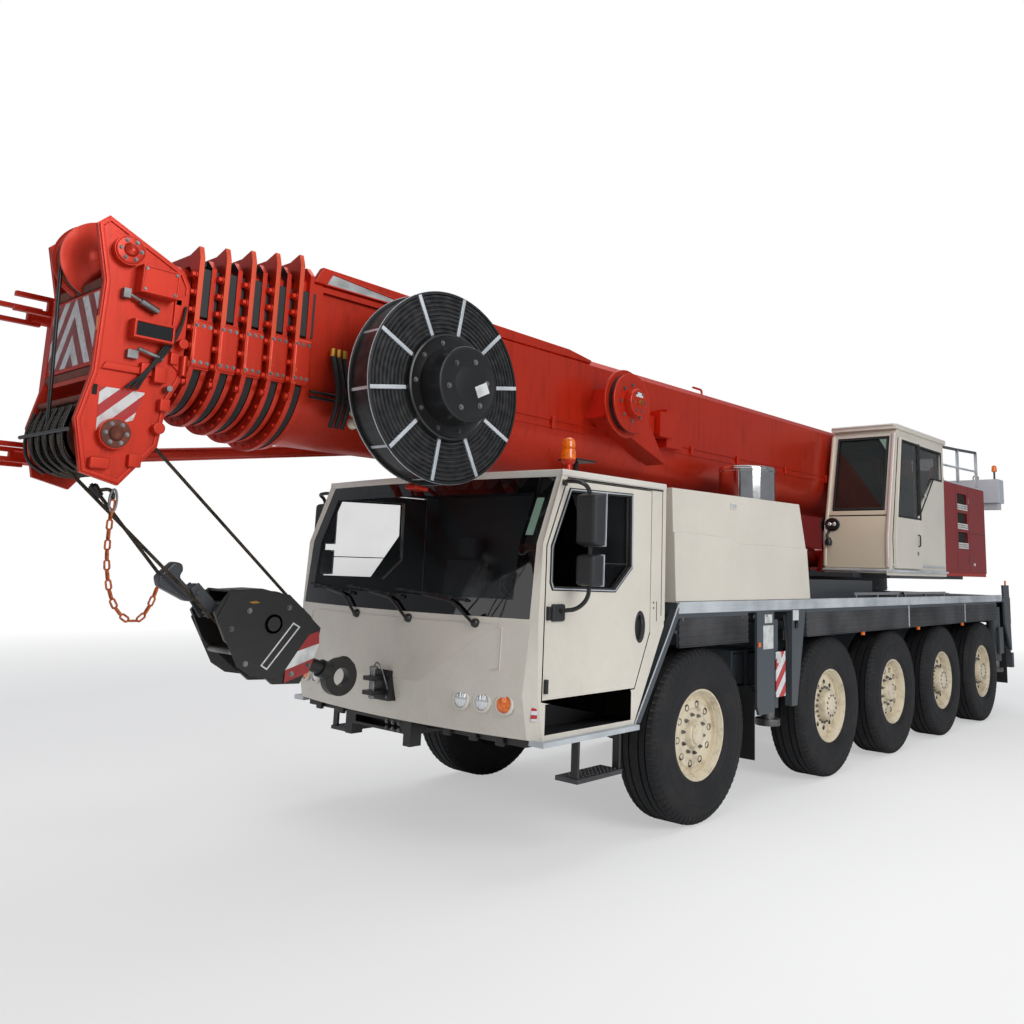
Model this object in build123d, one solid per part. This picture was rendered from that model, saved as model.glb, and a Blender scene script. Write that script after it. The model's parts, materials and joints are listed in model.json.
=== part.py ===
"""Five-axle mobile crane: carrier, superstructure and telescopic boom, one STEP per piece.

Millimetres. +X points to the crane's front, +Y to its left, +Z up, with the ground at Z 0.
Places along X are counted from the first axle while modelling. export_node() then moves every
piece so that the row's origin is on the ground under the middle of the whole crane.
"""
import math
import os

from build123d import *

os.makedirs("parts", exist_ok=True)

# ---------------------------------------------------------------- driving dimensions
FRONT_TIP = 4640            # front end of the stowed jib's forks
TAIL_END = -9020            # rear face of the counterweight
ORIGIN_X = (FRONT_TIP + TAIL_END) / 2

AXLE_X = [0, -2400, -4050, -5700, -7350]
STEERED = [True, True, False, True, True]
TYRE_R, TYRE_HALF_W = 685, 195
WHEEL_Y = 1180              # middle plane of the tyres
KINGPIN_Y = 840
HALF_WIDTH = 1360           # outer face of the body sides
FRAME_HALF_W = 420
FRAME_Z0, FRAME_Z1 = 850, 1450
DECK_Z0, DECK_Z1 = 1636, 1736
DECK_FRONT, DECK_REAR = 380, -8350

CAB_REAR, CAB_FLOOR_Z, CAB_ROOF_Z = 550, 875, 2650
CAB_WALL = 45

SLEW_X = -5100
PLATFORM_Z0, PLATFORM_Z1 = 1960, 2015
PIVOT_X, PIVOT_Z = -7100, 3050
SIDE_PLATE_Y = 480          # inner faces of the superstructure's side plates

# telescopic sections, from the base outwards: half width, top, bottom, front end
BOOM_WALL = 10
SECTION_COUNT = 6
SECTION_HALF_W = [420 - 27 * i for i in range(SECTION_COUNT)]
SECTION_TOP = [3830 - 25 * i for i in range(SECTION_COUNT)]
SECTION_BOTTOM = [2745 + 33 * i for i in range(SECTION_COUNT)]
SECTION_FRONT = [3385 + 150 * i for i in range(SECTION_COUNT)]
SECTION_REAR = [-7350, -6850, -6800, -6750, -6700, -6650]

LUFF_BASE = (-4800, 2190)   # x, z of the luffing cylinder's foot pin
LUFF_EYE = (-900, 2640)     # x, z of its rod eye under the boom
UPPER_SHEAVE = (4390, 3670) # x, z of the head's upper sheave axis
LOWER_SHEAVE = (4360, 2640) # x, z of the head's lower sheave axis
SHEAVE_R = 215
REEL = (2550, 3140)         # x, z of the cable reel's axis
REEL_R = 640


# ---------------------------------------------------------------- helpers
def block(x0, x1, y0, y1, z0, z1):
    """Box between two corners."""
    return Pos((x0 + x1) / 2, (y0 + y1) / 2, (z0 + z1) / 2) * Box(x1 - x0, y1 - y0, z1 - z0)


def side_prism(points, y0, y1):
    """Outline of (x, z) points, extruded from y0 to y1."""
    outline = Polyline(*[(x, y0, z) for x, z in points], close=True)
    return extrude(make_face(outline.edges()), amount=y1 - y0, dir=(0, 1, 0))


def plan_prism(points, z0, z1):
    """Outline of (x, y) points, extruded from z0 to z1."""
    outline = Polyline(*[(x, y, z0) for x, y in points], close=True)
    return extrude(make_face(outline.edges()), amount=z1 - z0, dir=(0, 0, 1))


def cross_prism(points, x0, x1):
    """Outline of (y, z) points, extruded from x0 to x1."""
    outline = Polyline(*[(x0, y, z) for y, z in points], close=True)
    return extrude(make_face(outline.edges()), amount=x1 - x0, dir=(1, 0, 0))


def rod(start, end, radius):
    """Round bar between two points."""
    start, end = Vector(*start), Vector(*end)
    axis = end - start
    return Plane(origin=(start + end) / 2, z_dir=axis) * Cylinder(radius, axis.length)


def flat_sided_bar(start, end, radius, sides=6):
    """Bar of regular section between two points."""
    start, end = Vector(*start), Vector(*end)
    axis = end - start
    section = RegularPolygon(radius, sides, rotation=11)
    return Plane(origin=start, z_dir=axis) * extrude(section, amount=axis.length)


def disc(x, z, y0, y1, radius):
    """Round plate or pin along Y."""
    return rod((x, y0, z), (x, y1, z), radius)


def post(x, y, z0, z1, radius):
    """Round bar along Z."""
    return rod((x, y, z0), (x, y, z1), radius)


def spin_y(points, x, y, z, outward=1):
    """Outline of (offset along the axle, radius) points, turned about a line along Y."""
    outline = Polyline(*[(r, outward * s, 0) for s, r in points], close=True)
    return Pos(x, y, z) * revolve(make_face(outline.edges()), axis=Axis.Y)


def both_sides(shape):
    """A piece and its mirror image on the other side of the crane."""
    return [shape, mirror(shape, about=Plane.XZ)]


def fuse(*shapes):
    """One solid out of overlapping ones."""
    result = shapes[0]
    for shape in shapes[1:]:
        result = result + shape
    return result


def export_node(name, *shapes):
    """Write one node, moved to the row's origin."""
    solids = [solid for shape in shapes for solid in shape.solids()]
    export_step(Pos(-ORIGIN_X, 0, 0) * Compound(solids), f"parts/{name}.step")


# ---------------------------------------------------------------- wheels, knuckles, axles
# outline columns: offset outwards from the tyre's middle plane, radius
TYRE_OUTLINE = [(150, 356), (188, 450), (195, 550), (172, 645), (125, 685),
                (-125, 685), (-172, 645), (-195, 550), (-188, 450), (-150, 356)]
RIM_BACK = [(-150, 325), (35, 325), (62, 135), (-60, 135), (-60, 60), (90, 60), (90, 0)]
DISHED_FRONT = [(128, 0), (128, 105), (85, 140), (72, 300), (120, 330)]
PLANETARY_FRONT = [(178, 0), (178, 128), (168, 138), (98, 145), (95, 178), (78, 300), (120, 330)]
SPINDLE_R, DRUM_R = 52, 205


def wheel(axle_x, side, front):
    """Tyre and rim in one, with a bore for its spindle."""
    return spin_y(TYRE_OUTLINE + RIM_BACK + front, axle_x, side * WHEEL_Y, TYRE_R, side)


def knuckle(axle_x, side):
    """Kingpin barrel, arm, brake drum and spindle."""
    barrel = post(axle_x, KINGPIN_Y, TYRE_R - 115, TYRE_R + 115, 60)
    arm = block(axle_x - 60, axle_x + 60, KINGPIN_Y, 940, TYRE_R - 100, TYRE_R + 100)
    steering_arm = block(axle_x - 260, axle_x, KINGPIN_Y - 25, KINGPIN_Y + 25, TYRE_R - 30, TYRE_R + 30)
    drum = disc(axle_x, TYRE_R, 930, 1090, DRUM_R)
    spindle = disc(axle_x, TYRE_R, 1080, WHEEL_Y + 75, SPINDLE_R)
    left = fuse(barrel, arm, steering_arm, drum, spindle)
    return left if side > 0 else mirror(left, about=Plane.XZ)


def steered_axle(axle_x):
    """Beam with a fork at each end for the kingpins."""
    beam = block(axle_x - 90, axle_x + 90, -750, 750, TYRE_R - 90, TYRE_R + 90)
    housing = disc(axle_x, TYRE_R, -190, 190, 160)
    pieces = [beam, housing]
    for side in (1, -1):
        y0, y1 = sorted((side * 735, side * 765))
        pieces.append(block(axle_x - 65, axle_x + 65, y0, y1, TYRE_R - 165, TYRE_R + 165))
        for z0 in (TYRE_R - 165, TYRE_R + 120):
            ear = block(axle_x - 65, axle_x + 65, min(y0, side * KINGPIN_Y), max(y1, side * KINGPIN_Y),
                        z0, z0 + 45)
            pieces += [ear, post(axle_x, side * KINGPIN_Y, z0, z0 + 45, 65)]
        pieces.append(post(axle_x, side * 330, TYRE_R + 80, FRAME_Z0, 70))
    return fuse(*pieces)


def fixed_axle(axle_x):
    """Straight beam with brake drums and spindles of its own."""
    pieces = [block(axle_x - 90, axle_x + 90, -940, 940, TYRE_R - 90, TYRE_R + 90),
              disc(axle_x, TYRE_R, -190, 190, 160)]
    for side in (1, -1):
        pieces.append(disc(axle_x, TYRE_R, side * 930, side * 1090, DRUM_R))
        pieces.append(disc(axle_x, TYRE_R, side * 1080, side * (WHEEL_Y + 75), SPINDLE_R))
        pieces.append(post(axle_x, side * 330, TYRE_R + 80, FRAME_Z0, 70))
    return fuse(*pieces)


for number, (axle_x, steered) in enumerate(zip(AXLE_X, STEERED), start=1):
    front = DISHED_FRONT if number in (1, 3) else PLANETARY_FRONT
    for side, side_name in ((1, "left"), (-1, "right")):
        export_node(f"wheel_{number}_{side_name}", wheel(axle_x, side, front))
        if steered:
            export_node(f"knuckle_{number}_{side_name}", knuckle(axle_x, side))
export_node("axle_beams", *[steered_axle(x) if s else fixed_axle(x) for x, s in zip(AXLE_X, STEERED)])

# ---------------------------------------------------------------- chassis and outriggers
BEAM_Z0, BEAM_Z1 = 960, 1240
BEAM_SLIDE = 2000
PAD_Z, JACK_STROKE = 600, 580
JACK_Y = 1215
# outrigger columns: name, side, rear face of the beam, front face of the beam
OUTRIGGERS = [("front_left", 1, -1440, -1240), ("front_right", -1, -1180, -980),
              ("rear_left", 1, -8500, -8300), ("rear_right", -1, -8760, -8560)]
BOX_WALL = 20
BEAM_GAP = 10


def outrigger_housing(x0, x1):
    """Cross box through the frame, with a tunnel for one sliding beam."""
    wall = BOX_WALL + BEAM_GAP
    outer = block(x0 - wall, x1 + wall, -1060, 1060, BEAM_Z0 - wall, BEAM_Z1 + wall)
    tunnel = block(x0 - BEAM_GAP, x1 + BEAM_GAP, -1100, 1100, BEAM_Z0 - BEAM_GAP, BEAM_Z1 + BEAM_GAP)
    return outer - tunnel, tunnel


def outrigger_beam(side, x0, x1):
    """Sliding beam with the jack's sleeve at its outer end."""
    y0, y1 = sorted((-side * 1040, side * 1080))
    middle = (x0 + x1) / 2
    sleeve_r = 98
    sleeve = post(middle, side * JACK_Y, 760, 1560, sleeve_r)
    reach = sorted((side * 1070, side * JACK_Y))
    beam = fuse(block(x0, x1, y0, y1, BEAM_Z0, BEAM_Z1), block(x0, x1, *reach, BEAM_Z0, BEAM_Z1), sleeve)
    face = sorted((side * 1300, side * 1330))
    beam = beam + block(x0 + 10, x1 - 10, *sorted((side * JACK_Y, side * 1330)), BEAM_Z0 + 40, BEAM_Z1 - 40)
    beam = beam + block(x0, x1, *face, 870, 1260)
    return beam - post(middle, side * JACK_Y, 740, 1500, 75)


def jack(side, x0, x1):
    """Vertical ram with its round foot plate."""
    middle = (x0 + x1) / 2
    ram = post(middle, side * JACK_Y, PAD_Z + 30, 1480, 65)
    foot = post(middle, side * JACK_Y, PAD_Z, PAD_Z + 60, 115)
    return ram + foot


FRAME_SIDE = [(-8780, FRAME_Z0), (-8780, FRAME_Z1), (580, FRAME_Z1), (850, 990), (1950, 990), (1950, 880),
              (1200, FRAME_Z0)]
frame = side_prism(FRAME_SIDE, -FRAME_HALF_W, FRAME_HALF_W)
frame = frame + block(DECK_REAR + 10, 300, -340, 340, FRAME_Z1 - 10, DECK_Z0)
for name, side, x0, x1 in OUTRIGGERS:
    housing, tunnel = outrigger_housing(x0, x1)
    frame = frame - tunnel + housing
    export_node(f"outrigger_beam_{name}", outrigger_beam(side, x0, x1))
    export_node(f"outrigger_jack_{name}", jack(side, x0, x1))
export_node("chassis_frame", frame)

# ---------------------------------------------------------------- deck, guards and posts
GUARD_T = 25
# mud guard columns: rear end, front end, bottom
GUARDS = [(-730, 350, 1387), (-8090, -1850, 1390)]
deck = plan_prism([(DECK_FRONT, -HALF_WIDTH), (DECK_FRONT, HALF_WIDTH),
                   (DECK_REAR, HALF_WIDTH), (DECK_REAR, -HALF_WIDTH)], DECK_Z0, DECK_Z1)
deck_pieces = [deck, post(SLEW_X, 0, DECK_Z1 - 5, 1790, 860)]
deck_pieces.append(block(-8785, DECK_REAR + 5, -440, 440, FRAME_Z1, DECK_Z1))
for rear, front, bottom in GUARDS:
    deck_pieces += both_sides(block(rear, front, HALF_WIDTH - GUARD_T, HALF_WIDTH, bottom, DECK_Z0 + 5))
FENDER_BAR = [(330, 1640), (350, 1736), (470, 1530), (905, 870), (840, 870), (420, 1510), (340, 1640)]
deck_pieces += both_sides(side_prism(FENDER_BAR, 1290, HALF_WIDTH))
SIDE_PANEL = [(-890, 1640), (-1205, 1640), (-1205, 740), (-930, 740), (-890, 820)]
RIGHT_PANEL_SHIFT = -350
deck_pieces.append(side_prism(SIDE_PANEL, 1335, HALF_WIDTH))
deck_pieces.append(Pos(RIGHT_PANEL_SHIFT, 0, 0) * side_prism(SIDE_PANEL, -HALF_WIDTH, -1335))
SLANT_POST = [(-1560, 1640), (-1840, 1640), (-1650, 760), (-1540, 760)]
deck_pieces += both_sides(side_prism(SLANT_POST, 1290, HALF_WIDTH))
REAR_POST = [(-8480, 1890), (-8790, 1890), (-8830, 900), (-8790, 900), (-8520, 1300)]
RIGHT_REAR_POST = [(-8480, 1890), (-8790, 1890), (-8830, 1290), (-8500, 1290)]
deck_pieces.append(side_prism(REAR_POST, 1332, HALF_WIDTH))
deck_pieces.append(side_prism(RIGHT_REAR_POST, -HALF_WIDTH, -1332))
deck_pieces += [block(-8830, -8780, -HALF_WIDTH, HALF_WIDTH, 1300, 1700)]
deck_pieces += [block(-8900, -8800, -HALF_WIDTH, HALF_WIDTH, 640, 860)]
deck_pieces += both_sides(block(-8830, -8785, 1150, 1340, 850, 1310))
deck_pieces += [block(-8800, -8340, -HALF_WIDTH, HALF_WIDTH, 1640, 1700)]
# storage box behind the engine cover, grab bars along the deck's edge, and the rear ladders
deck_pieces += both_sides(block(-4050, -2060, 760, 1120, DECK_Z1 - 5, 1925))
GRAB_BAR_Z, GRAB_BAR_Y = 1785, 1290
for x0, x1 in ((-4420, -3120), (-6050, -4560)):
    deck_pieces += both_sides(block(x0, x1, GRAB_BAR_Y - 14, GRAB_BAR_Y + 14, GRAB_BAR_Z - 14, GRAB_BAR_Z + 14))
    for x in (x0 + 60, (x0 + x1) / 2, x1 - 60):
        deck_pieces += both_sides(block(x - 18, x + 18, GRAB_BAR_Y - 12, GRAB_BAR_Y + 12, DECK_Z1 - 5, GRAB_BAR_Z))
LADDER_Y0, LADDER_Y1 = 620, 1010
for y in (LADDER_Y0, LADDER_Y1):
    deck_pieces += both_sides(block(-8925, -8895, y - 16, y + 16, 480, 1700))
for z in (500, 800, 1100, 1400, 1684):
    deck_pieces += both_sides(block(-8925, -8825, LADDER_Y0 - 16, LADDER_Y1 + 16, z - 16, z + 16))
export_node("deck_and_guards", fuse(*deck_pieces))

# ---------------------------------------------------------------- driver's cab
# cab section columns: height, front at the middle, front at the corner, half width at the corner,
# front at the side
CAB_SECTIONS = [(CAB_FLOOR_Z, 2095, 1975, 1285, 1905), (1160, 2165, 2035, 1285, 1965),
                (1640, 2160, 2005, 1310, 1985), (2145, 2065, 1960, 1325, 1965),
                (CAB_ROOF_Z, 1860, 1770, 1330, 1785)]


def cab_section(z):
    """Front at the middle, front at the corner, half width there and front at the side, at one height."""
    for low, high in zip(CAB_SECTIONS, CAB_SECTIONS[1:]):
        if z <= high[0]:
            break
    share = (z - low[0]) / (high[0] - low[0])
    return [a + (b - a) * share for a, b in zip(low[1:], high[1:])]


def cab_front_x(y, z):
    """Where the cab's bowed front lies at a place across it and a height."""
    middle, corner, corner_y, _ = cab_section(z)
    return middle - (middle - corner) * (y / corner_y) ** 2


def cab_hull(inset, rear_inset=None):
    """Bowed-front body of the driver's cab, taken in by inset on every side."""
    rear = CAB_REAR + (inset if rear_inset is None else rear_inset)
    levels = []
    for height, middle, corner, corner_y, side in CAB_SECTIONS:
        z = min(max(height, CAB_FLOOR_Z + inset), CAB_ROOF_Z - inset)
        half = HALF_WIDTH - inset
        corner_y -= inset * 0.6
        arc = ThreePointArc((corner - inset, corner_y, z), (middle - inset, 0, z), (corner - inset, -corner_y, z))
        lines = Polyline((corner - inset, -corner_y, z), (side - inset, -half, z), (rear, -half, z),
                         (rear, half, z), (side - inset, half, z), (corner - inset, corner_y, z))
        levels.append(make_face(arc.edges() + lines.edges()))
    return loft(levels, ruled=True)


DOOR_BOTTOM = 1125
DOOR = [(1925, DOOR_BOTTOM), (925, DOOR_BOTTOM), (745, 1520), (745, 2590), (1740, 2590), (1925, 2130)]
DOOR_WINDOW = [(1850, 1850), (1195, 1835), (995, 2010), (1005, 2535), (1700, 2520), (1875, 2115), (1875, 1900)]
REAR_ARCH = [(0, 700), (930, 700), (930, 860), (560, 1560), (560, 1600), (0, 1600)]
# glued windshield: its own edges, and the opening behind it
WINDSHIELD_Z0, WINDSHIELD_Z1, WINDSHIELD_HALF_W = 1645, 2610, 1300
OPENING_Z0, OPENING_Z1, OPENING_HALF_W = 1720, 2540, 1190
GLASS_T = 10


def grown(points, amount):
    """Outline of (x, z) points moved outwards by amount."""
    face = make_face(Polyline(*[(x, z) for x, z in points], close=True).edges())
    wire = offset(face.face().outer_wire(), amount=amount, kind=Kind.INTERSECTION).wire()
    return [(v.X, v.Y) for v in ordered_vertices(wire)]


def ordered_vertices(wire):
    """Corners of a closed wire in the order that its edges follow."""
    return [edge.position_at(0) for edge in wire.order_edges()]


outer = cab_hull(0)
inner = cab_hull(CAB_WALL)
shell = outer - inner
windshield_zone = block(1500, 2300, -WINDSHIELD_HALF_W, WINDSHIELD_HALF_W, WINDSHIELD_Z0, WINDSHIELD_Z1)
shell = shell - ((outer - cab_hull(GLASS_T)) & windshield_zone)
shell = shell - block(1600, 2300, -OPENING_HALF_W, OPENING_HALF_W, OPENING_Z0, OPENING_Z1)
shell = shell - side_prism(REAR_ARCH, -1400, 1400)
arch_skin = side_prism([(930, 875), (560, 1575), (560, 1640), (600, 1640), (950, 960), (1300, 960),
                        (1300, 915), (930, 915)], -HALF_WIDTH + 40, HALF_WIDTH - 40)
shell = shell + arch_skin
shell = shell - block(820, 1990, -FRAME_HALF_W - 10, FRAME_HALF_W + 10, 800, 998)
# step well under each door: a recess with its own inner wall and ceiling
WELL_REAR, WELL_FRONT, WELL_FLOOR, WELL_CEILING, WELL_DEPTH = 960, 1890, 905, 1100, 230
WELL_T = 15
for side in (1, -1):
    inner_y = HALF_WIDTH - WELL_DEPTH
    recess = block(WELL_REAR, WELL_FRONT, *sorted((side * inner_y, side * 1400)), WELL_FLOOR, WELL_CEILING)
    lining = block(WELL_REAR - 25, WELL_FRONT + 12, *sorted((side * (inner_y - WELL_T), side * 1320)),
                   WELL_FLOOR - 25, WELL_CEILING + WELL_T)
    shell = shell + (lining & outer) - recess
    reach = sorted((side * 1300, side * 1400))
    shell = shell - side_prism(grown(DOOR, 8), *reach)
COUPLING_Z0, COUPLING_Z1, COUPLING_HALF_W = 1010, 1215, 115
shell = shell - block(1900, 2300, -COUPLING_HALF_W - 5, COUPLING_HALF_W + 5, COUPLING_Z0 - 5, COUPLING_Z1 + 5)
FRONT_LAMP_R = 58
# front lamp columns: distance from the middle of the cab, height
FRONT_LAMPS = [(780, 1095), (960, 1095), (1140, 1095)]


def front_lamp(y, z, radius):
    """Short cylinder through the cab's front wall."""
    face = cab_front_x(y, z)
    return rod((face - 70, y, z), (face + 6, y, z), radius)


for lamp_y, lamp_z in FRONT_LAMPS:
    for side in (1, -1):
        shell = shell - front_lamp(side * lamp_y, lamp_z, FRONT_LAMP_R + 2)
# raised middle panel of the front wall, between creases
CREASE_PANEL = [(-560, 1180), (390, 1180), (1080, 1600), (-980, 1600)]
crease_zone = cross_prism(CREASE_PANEL, 1900, 2300)
crease_skin = (cab_hull(-4) - outer) & crease_zone
shell = shell + crease_skin - block(1900, 2300, -COUPLING_HALF_W - 5, COUPLING_HALF_W + 5,
                                    COUPLING_Z0 - 5, COUPLING_Z1 + 5)
export_node("cab_shell", max(shell.solids(), key=lambda s: s.volume))

glass = (outer - cab_hull(GLASS_T)) & windshield_zone
export_node("cab_windshield", glass)

DOOR_T = 45
DOOR_HINGE_X, DOOR_HINGE_Y, DOOR_HINGE_R = 1900, 1372, 15
for side, side_name in ((1, "left"), (-1, "right")):
    reach = sorted((side * (HALF_WIDTH - DOOR_T), side * HALF_WIDTH))
    pane = sorted((side * (HALF_WIDTH - 25), side * (HALF_WIDTH - 25 + 8)))
    panel = side_prism(DOOR, *reach) - side_prism(DOOR_WINDOW, *sorted((side * 1300, side * 1400)))
    window = side_prism(DOOR_WINDOW, *pane)
    mirror_y = side * 1545
    arms = []
    for foot, z in (((1745, 2555), 2440), ((1770, 1695), 1950)):
        arms.append(rod((foot[0], side * (HALF_WIDTH - 20), foot[1]), (1700, mirror_y, z), 16))
    heads = [block(1665, 1735, *sorted((mirror_y - 105, mirror_y + 105)), 2130, 2500),
             block(1665, 1735, *sorted((mirror_y - 95, mirror_y + 95)), 1865, 2085),
             post(1700, mirror_y, 1900, 2300, 18)]
    barrels = [post(DOOR_HINGE_X, side * DOOR_HINGE_Y, z, z + 90, DOOR_HINGE_R) for z in (1170, 1640)]
    export_node(f"carrier_door_{side_name}", fuse(panel, window, *arms, *heads, *barrels))

# interior: floor, dash, seats and steering wheel
seat_y = 720
interior = [block(970, 1870, -1290, 1290, 1120, 1150)]
interior.append(side_prism([(1900, 1145), (1620, 1145), (1620, 1500), (1700, 1630), (1940, 1630), (1980, 1500)],
                           -1180, 1180))
interior.append(block(980, 1625, -380, 380, 1145, 1420))
for side in (1, -1):
    cushion = block(800, 1260, side * seat_y - 240, side * seat_y + 240, 1340, 1460)
    base = block(980, 1200, side * seat_y - 180, side * seat_y + 180, 1145, 1345)
    back = side_prism([(780, 1400), (900, 1400), (780, 2050), (680, 2050)], side * seat_y - 230,
                      side * seat_y + 230)
    head = side_prism([(690, 2040), (790, 2040), (765, 2250), (670, 2250)], side * seat_y - 130,
                      side * seat_y + 130)
    interior.append(fuse(base, cushion, back, head))
column = rod((1620, seat_y, 1550), (1430, seat_y, 1760), 35)
steering_wheel = Plane(origin=(1420, seat_y, 1770), z_dir=(-0.62, 0, 0.78)) * Torus(225, 18)
spokes = Plane(origin=(1420, seat_y, 1770), z_dir=(-0.62, 0, 0.78)) * Box(430, 50, 16)
interior[1] = fuse(interior[1], column, steering_wheel, spokes)
interior[0] = fuse(*interior[:3]) - block(1830, 2300, -125, 125, 990, 1225)
export_node("cab_interior", interior[0], *interior[3:])

# ---------------------------------------------------------------- carrier's upper works
# engine cover side outline columns: x, z
COVER_SIDE = [(395, DECK_Z1), (450, 2645), (-1750, 2662), (-1885, 2230), (-1950, DECK_Z1)]
COVER_INNER_Y = 430
cover = side_prism(COVER_SIDE, -HALF_WIDTH, HALF_WIDTH)
cover = cover - block(-2000, 600, -COVER_INNER_Y, COVER_INNER_Y, 2180, 2800)
for side in (1, -1):
    recess = side_prism([(500, 2285), (500, 2750), (-2100, 2750), (-2100, 2224), (-585, 2224), (-428, 2275)],
                        *sorted((side * (HALF_WIDTH - 12), side * (HALF_WIDTH + 5))))
    cover = cover - recess
export_node("engine_cover", cover)

MUFFLER_X, MUFFLER_Y, MUFFLER_R, MUFFLER_TOP = -1680, 800, 290, 3040
muffler = post(MUFFLER_X, MUFFLER_Y, 2450, MUFFLER_TOP, MUFFLER_R)
stub = rod((MUFFLER_X, MUFFLER_Y, 2950), (MUFFLER_X - 480, MUFFLER_Y, 2950), 62)
tail_post = rod((MUFFLER_X - 150, MUFFLER_Y - 60, 2450), (MUFFLER_X - 150, MUFFLER_Y - 60, MUFFLER_TOP + 30), 30)
export_node("exhaust", fuse(muffler, stub, tail_post) - cover)

# coupling: box through the front wall, jaw and pin, and the black bracket below the bumper
coupling = block(1850, 2190, -COUPLING_HALF_W, COUPLING_HALF_W, COUPLING_Z0, COUPLING_Z1)
PIN_R = 22
jaw_upper = block(2180, 2290, -60, 60, 1150, 1180)
jaw_lower = block(2180, 2290, -60, 60, 1050, 1080)
coupling = fuse(coupling, jaw_upper, jaw_lower)
coupling = coupling - post(2245, 0, 1000, 1250, PIN_R)
bracket = fuse(block(1700, 2080, -520, 250, 780, 870), block(1980, 2080, -520, -440, 700, 860),
               block(1980, 2080, 170, 250, 700, 860), block(1950, 1985, -300, 300, 860, 985))
bracket = bracket - block(1960, 2100, -400, 130, 800, 850)
fittings = [fuse(coupling, block(1850, 1945, -115, 115, 990, 1020), bracket)]

# lamps: front round lamps, side markers, beacons, rear clusters
lamps = []
for lamp_y, lamp_z in FRONT_LAMPS:
    lamps += [front_lamp(side * lamp_y, lamp_z, FRONT_LAMP_R) for side in (1, -1)]
for x in (-3220, -4880, -6530):
    lamps += both_sides(block(x - 28, x + 28, 1336, 1362, 1345, 1387))
lamps.append(block(-935, -900, HALF_WIDTH, HALF_WIDTH + 14, 1330, 1370))
BEACON_R = 62
for side in (1, -1):
    lamps += [fuse(post(1330, side * 1000, CAB_ROOF_Z, 2790, 45), post(1330, side * 1000, 2780, 2960, BEACON_R))]
    lamps += [block(-8870, -8830, *sorted((side * 1155, side * 1335)), 1000, 1150)]
    lamps += [post(-8650, side * 1346, 1890, 1960, 14)]
export_node("carrier_lamps", *lamps)

# steps and wipers, in one node with the coupling
for side in (1, -1):
    sill = block(930, 1960, *sorted((side * 1290, side * 1420)), 840, CAB_FLOOR_Z)
    hangers = [block(x, x + 20, *sorted((side * 1330, side * 1390)), 575, 850) for x in (1110, 1560)]
    tread = block(1100, 1590, *sorted((side * 1200, side * 1400)), 560, 590)
    fittings.append(fuse(sill, tread, *hangers))
# wiper columns: pivot y, reach along y
for y, reach in ((-400, -560), (250, -560), (900, -560)):
    face = cab_front_x(y, 1600)
    base = rod((face + 9, y, 1600), (face + 45, y, 1610), 24)
    tip_y = y + reach
    arm = rod((face + 40, y, 1612), (cab_front_x(tip_y, 1760) + 30, tip_y, 1760), 12)
    fittings.append(base + arm)
export_node("coupling_steps_and_wipers", *fittings)

# ---------------------------------------------------------------- superstructure
TOWER = [(-6120, PLATFORM_Z1), (-7780, PLATFORM_Z1), (-7950, 3120), (-8760, 3180), (-8760, 3420),
         (-7300, 3420), (-6850, 3260), (-6500, 2700)]
PLATE_T = 40
platform = [block(-7900, -3900, -950, 950, PLATFORM_Z0, PLATFORM_Z1),
            block(-6000, -4150, 940, 1300, PLATFORM_Z0, PLATFORM_Z1),
            block(-7900, -6080, -1290, 1290, PLATFORM_Z1 - 10, 2055),
            post(SLEW_X, 0, 1800, PLATFORM_Z0 + 5, 820)]
for side in (1, -1):
    y0, y1 = sorted((side * SIDE_PLATE_Y, side * (SIDE_PLATE_Y + PLATE_T)))
    platform.append(side_prism(TOWER, y0, y1))
    platform.append(disc(PIVOT_X, PIVOT_Z, y0, side * (SIDE_PLATE_Y + 55), 140))
    lug = side_prism([(LUFF_BASE[0] - 260, PLATFORM_Z1 - 5), (LUFF_BASE[0] + 240, PLATFORM_Z1 - 5),
                      (LUFF_BASE[0] + 100, 2290), (LUFF_BASE[0] - 100, 2290)],
                     *sorted((side * 160, side * 200)))
    platform.append(lug)
platform.append(disc(LUFF_BASE[0], LUFF_BASE[1], -215, 215, 60))
platform.append(disc(PIVOT_X, PIVOT_Z, -SIDE_PLATE_Y - 60, SIDE_PLATE_Y + 60, 90))
platform.append(block(-8060, -7990, -SIDE_PLATE_Y - 5, SIDE_PLATE_Y + 5, 3160, 3300))

# crane cab
CC_FRONT_LOW, CC_FRONT_HIGH, CC_REAR = -4090, -4400, -6075
CC_Y0, CC_Y1, CC_Z0, CC_Z1 = 500, 1310, PLATFORM_Z1, 3790
CC_WALL = 40
CC_SIDE = [(CC_FRONT_LOW, CC_Z0), (CC_FRONT_LOW - 20, 2450), (CC_FRONT_HIGH, CC_Z1 - 60),
           (CC_FRONT_HIGH - 60, CC_Z1), (CC_REAR - 30, CC_Z1), (CC_REAR, CC_Z0)]
CC_INSIDE = [(CC_FRONT_LOW - CC_WALL, CC_Z0 + CC_WALL), (CC_FRONT_LOW - 20 - CC_WALL, 2450),
             (CC_FRONT_HIGH - CC_WALL, CC_Z1 - 60 - CC_WALL), (CC_REAR + CC_WALL, CC_Z1 - CC_WALL),
             (CC_REAR + CC_WALL, CC_Z0 + CC_WALL)]
CC_DOOR = [(-4230, 2080), (-4230, 2450), (-4480, 3690), (-5080, 3690), (-5080, 2080)]
CC_DOOR_WINDOW = [(-4285, 2500), (-4490, 3650), (-5040, 3650), (-5040, 2760), (-4720, 2500)]
CC_SIDE_WINDOW = [(-5125, 2810), (-5125, 3650), (-6000, 3650), (-5980, 3270), (-5700, 3270)]
CC_DOOR_Y0, CC_DOOR_Y1 = 1318, 1358
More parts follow.
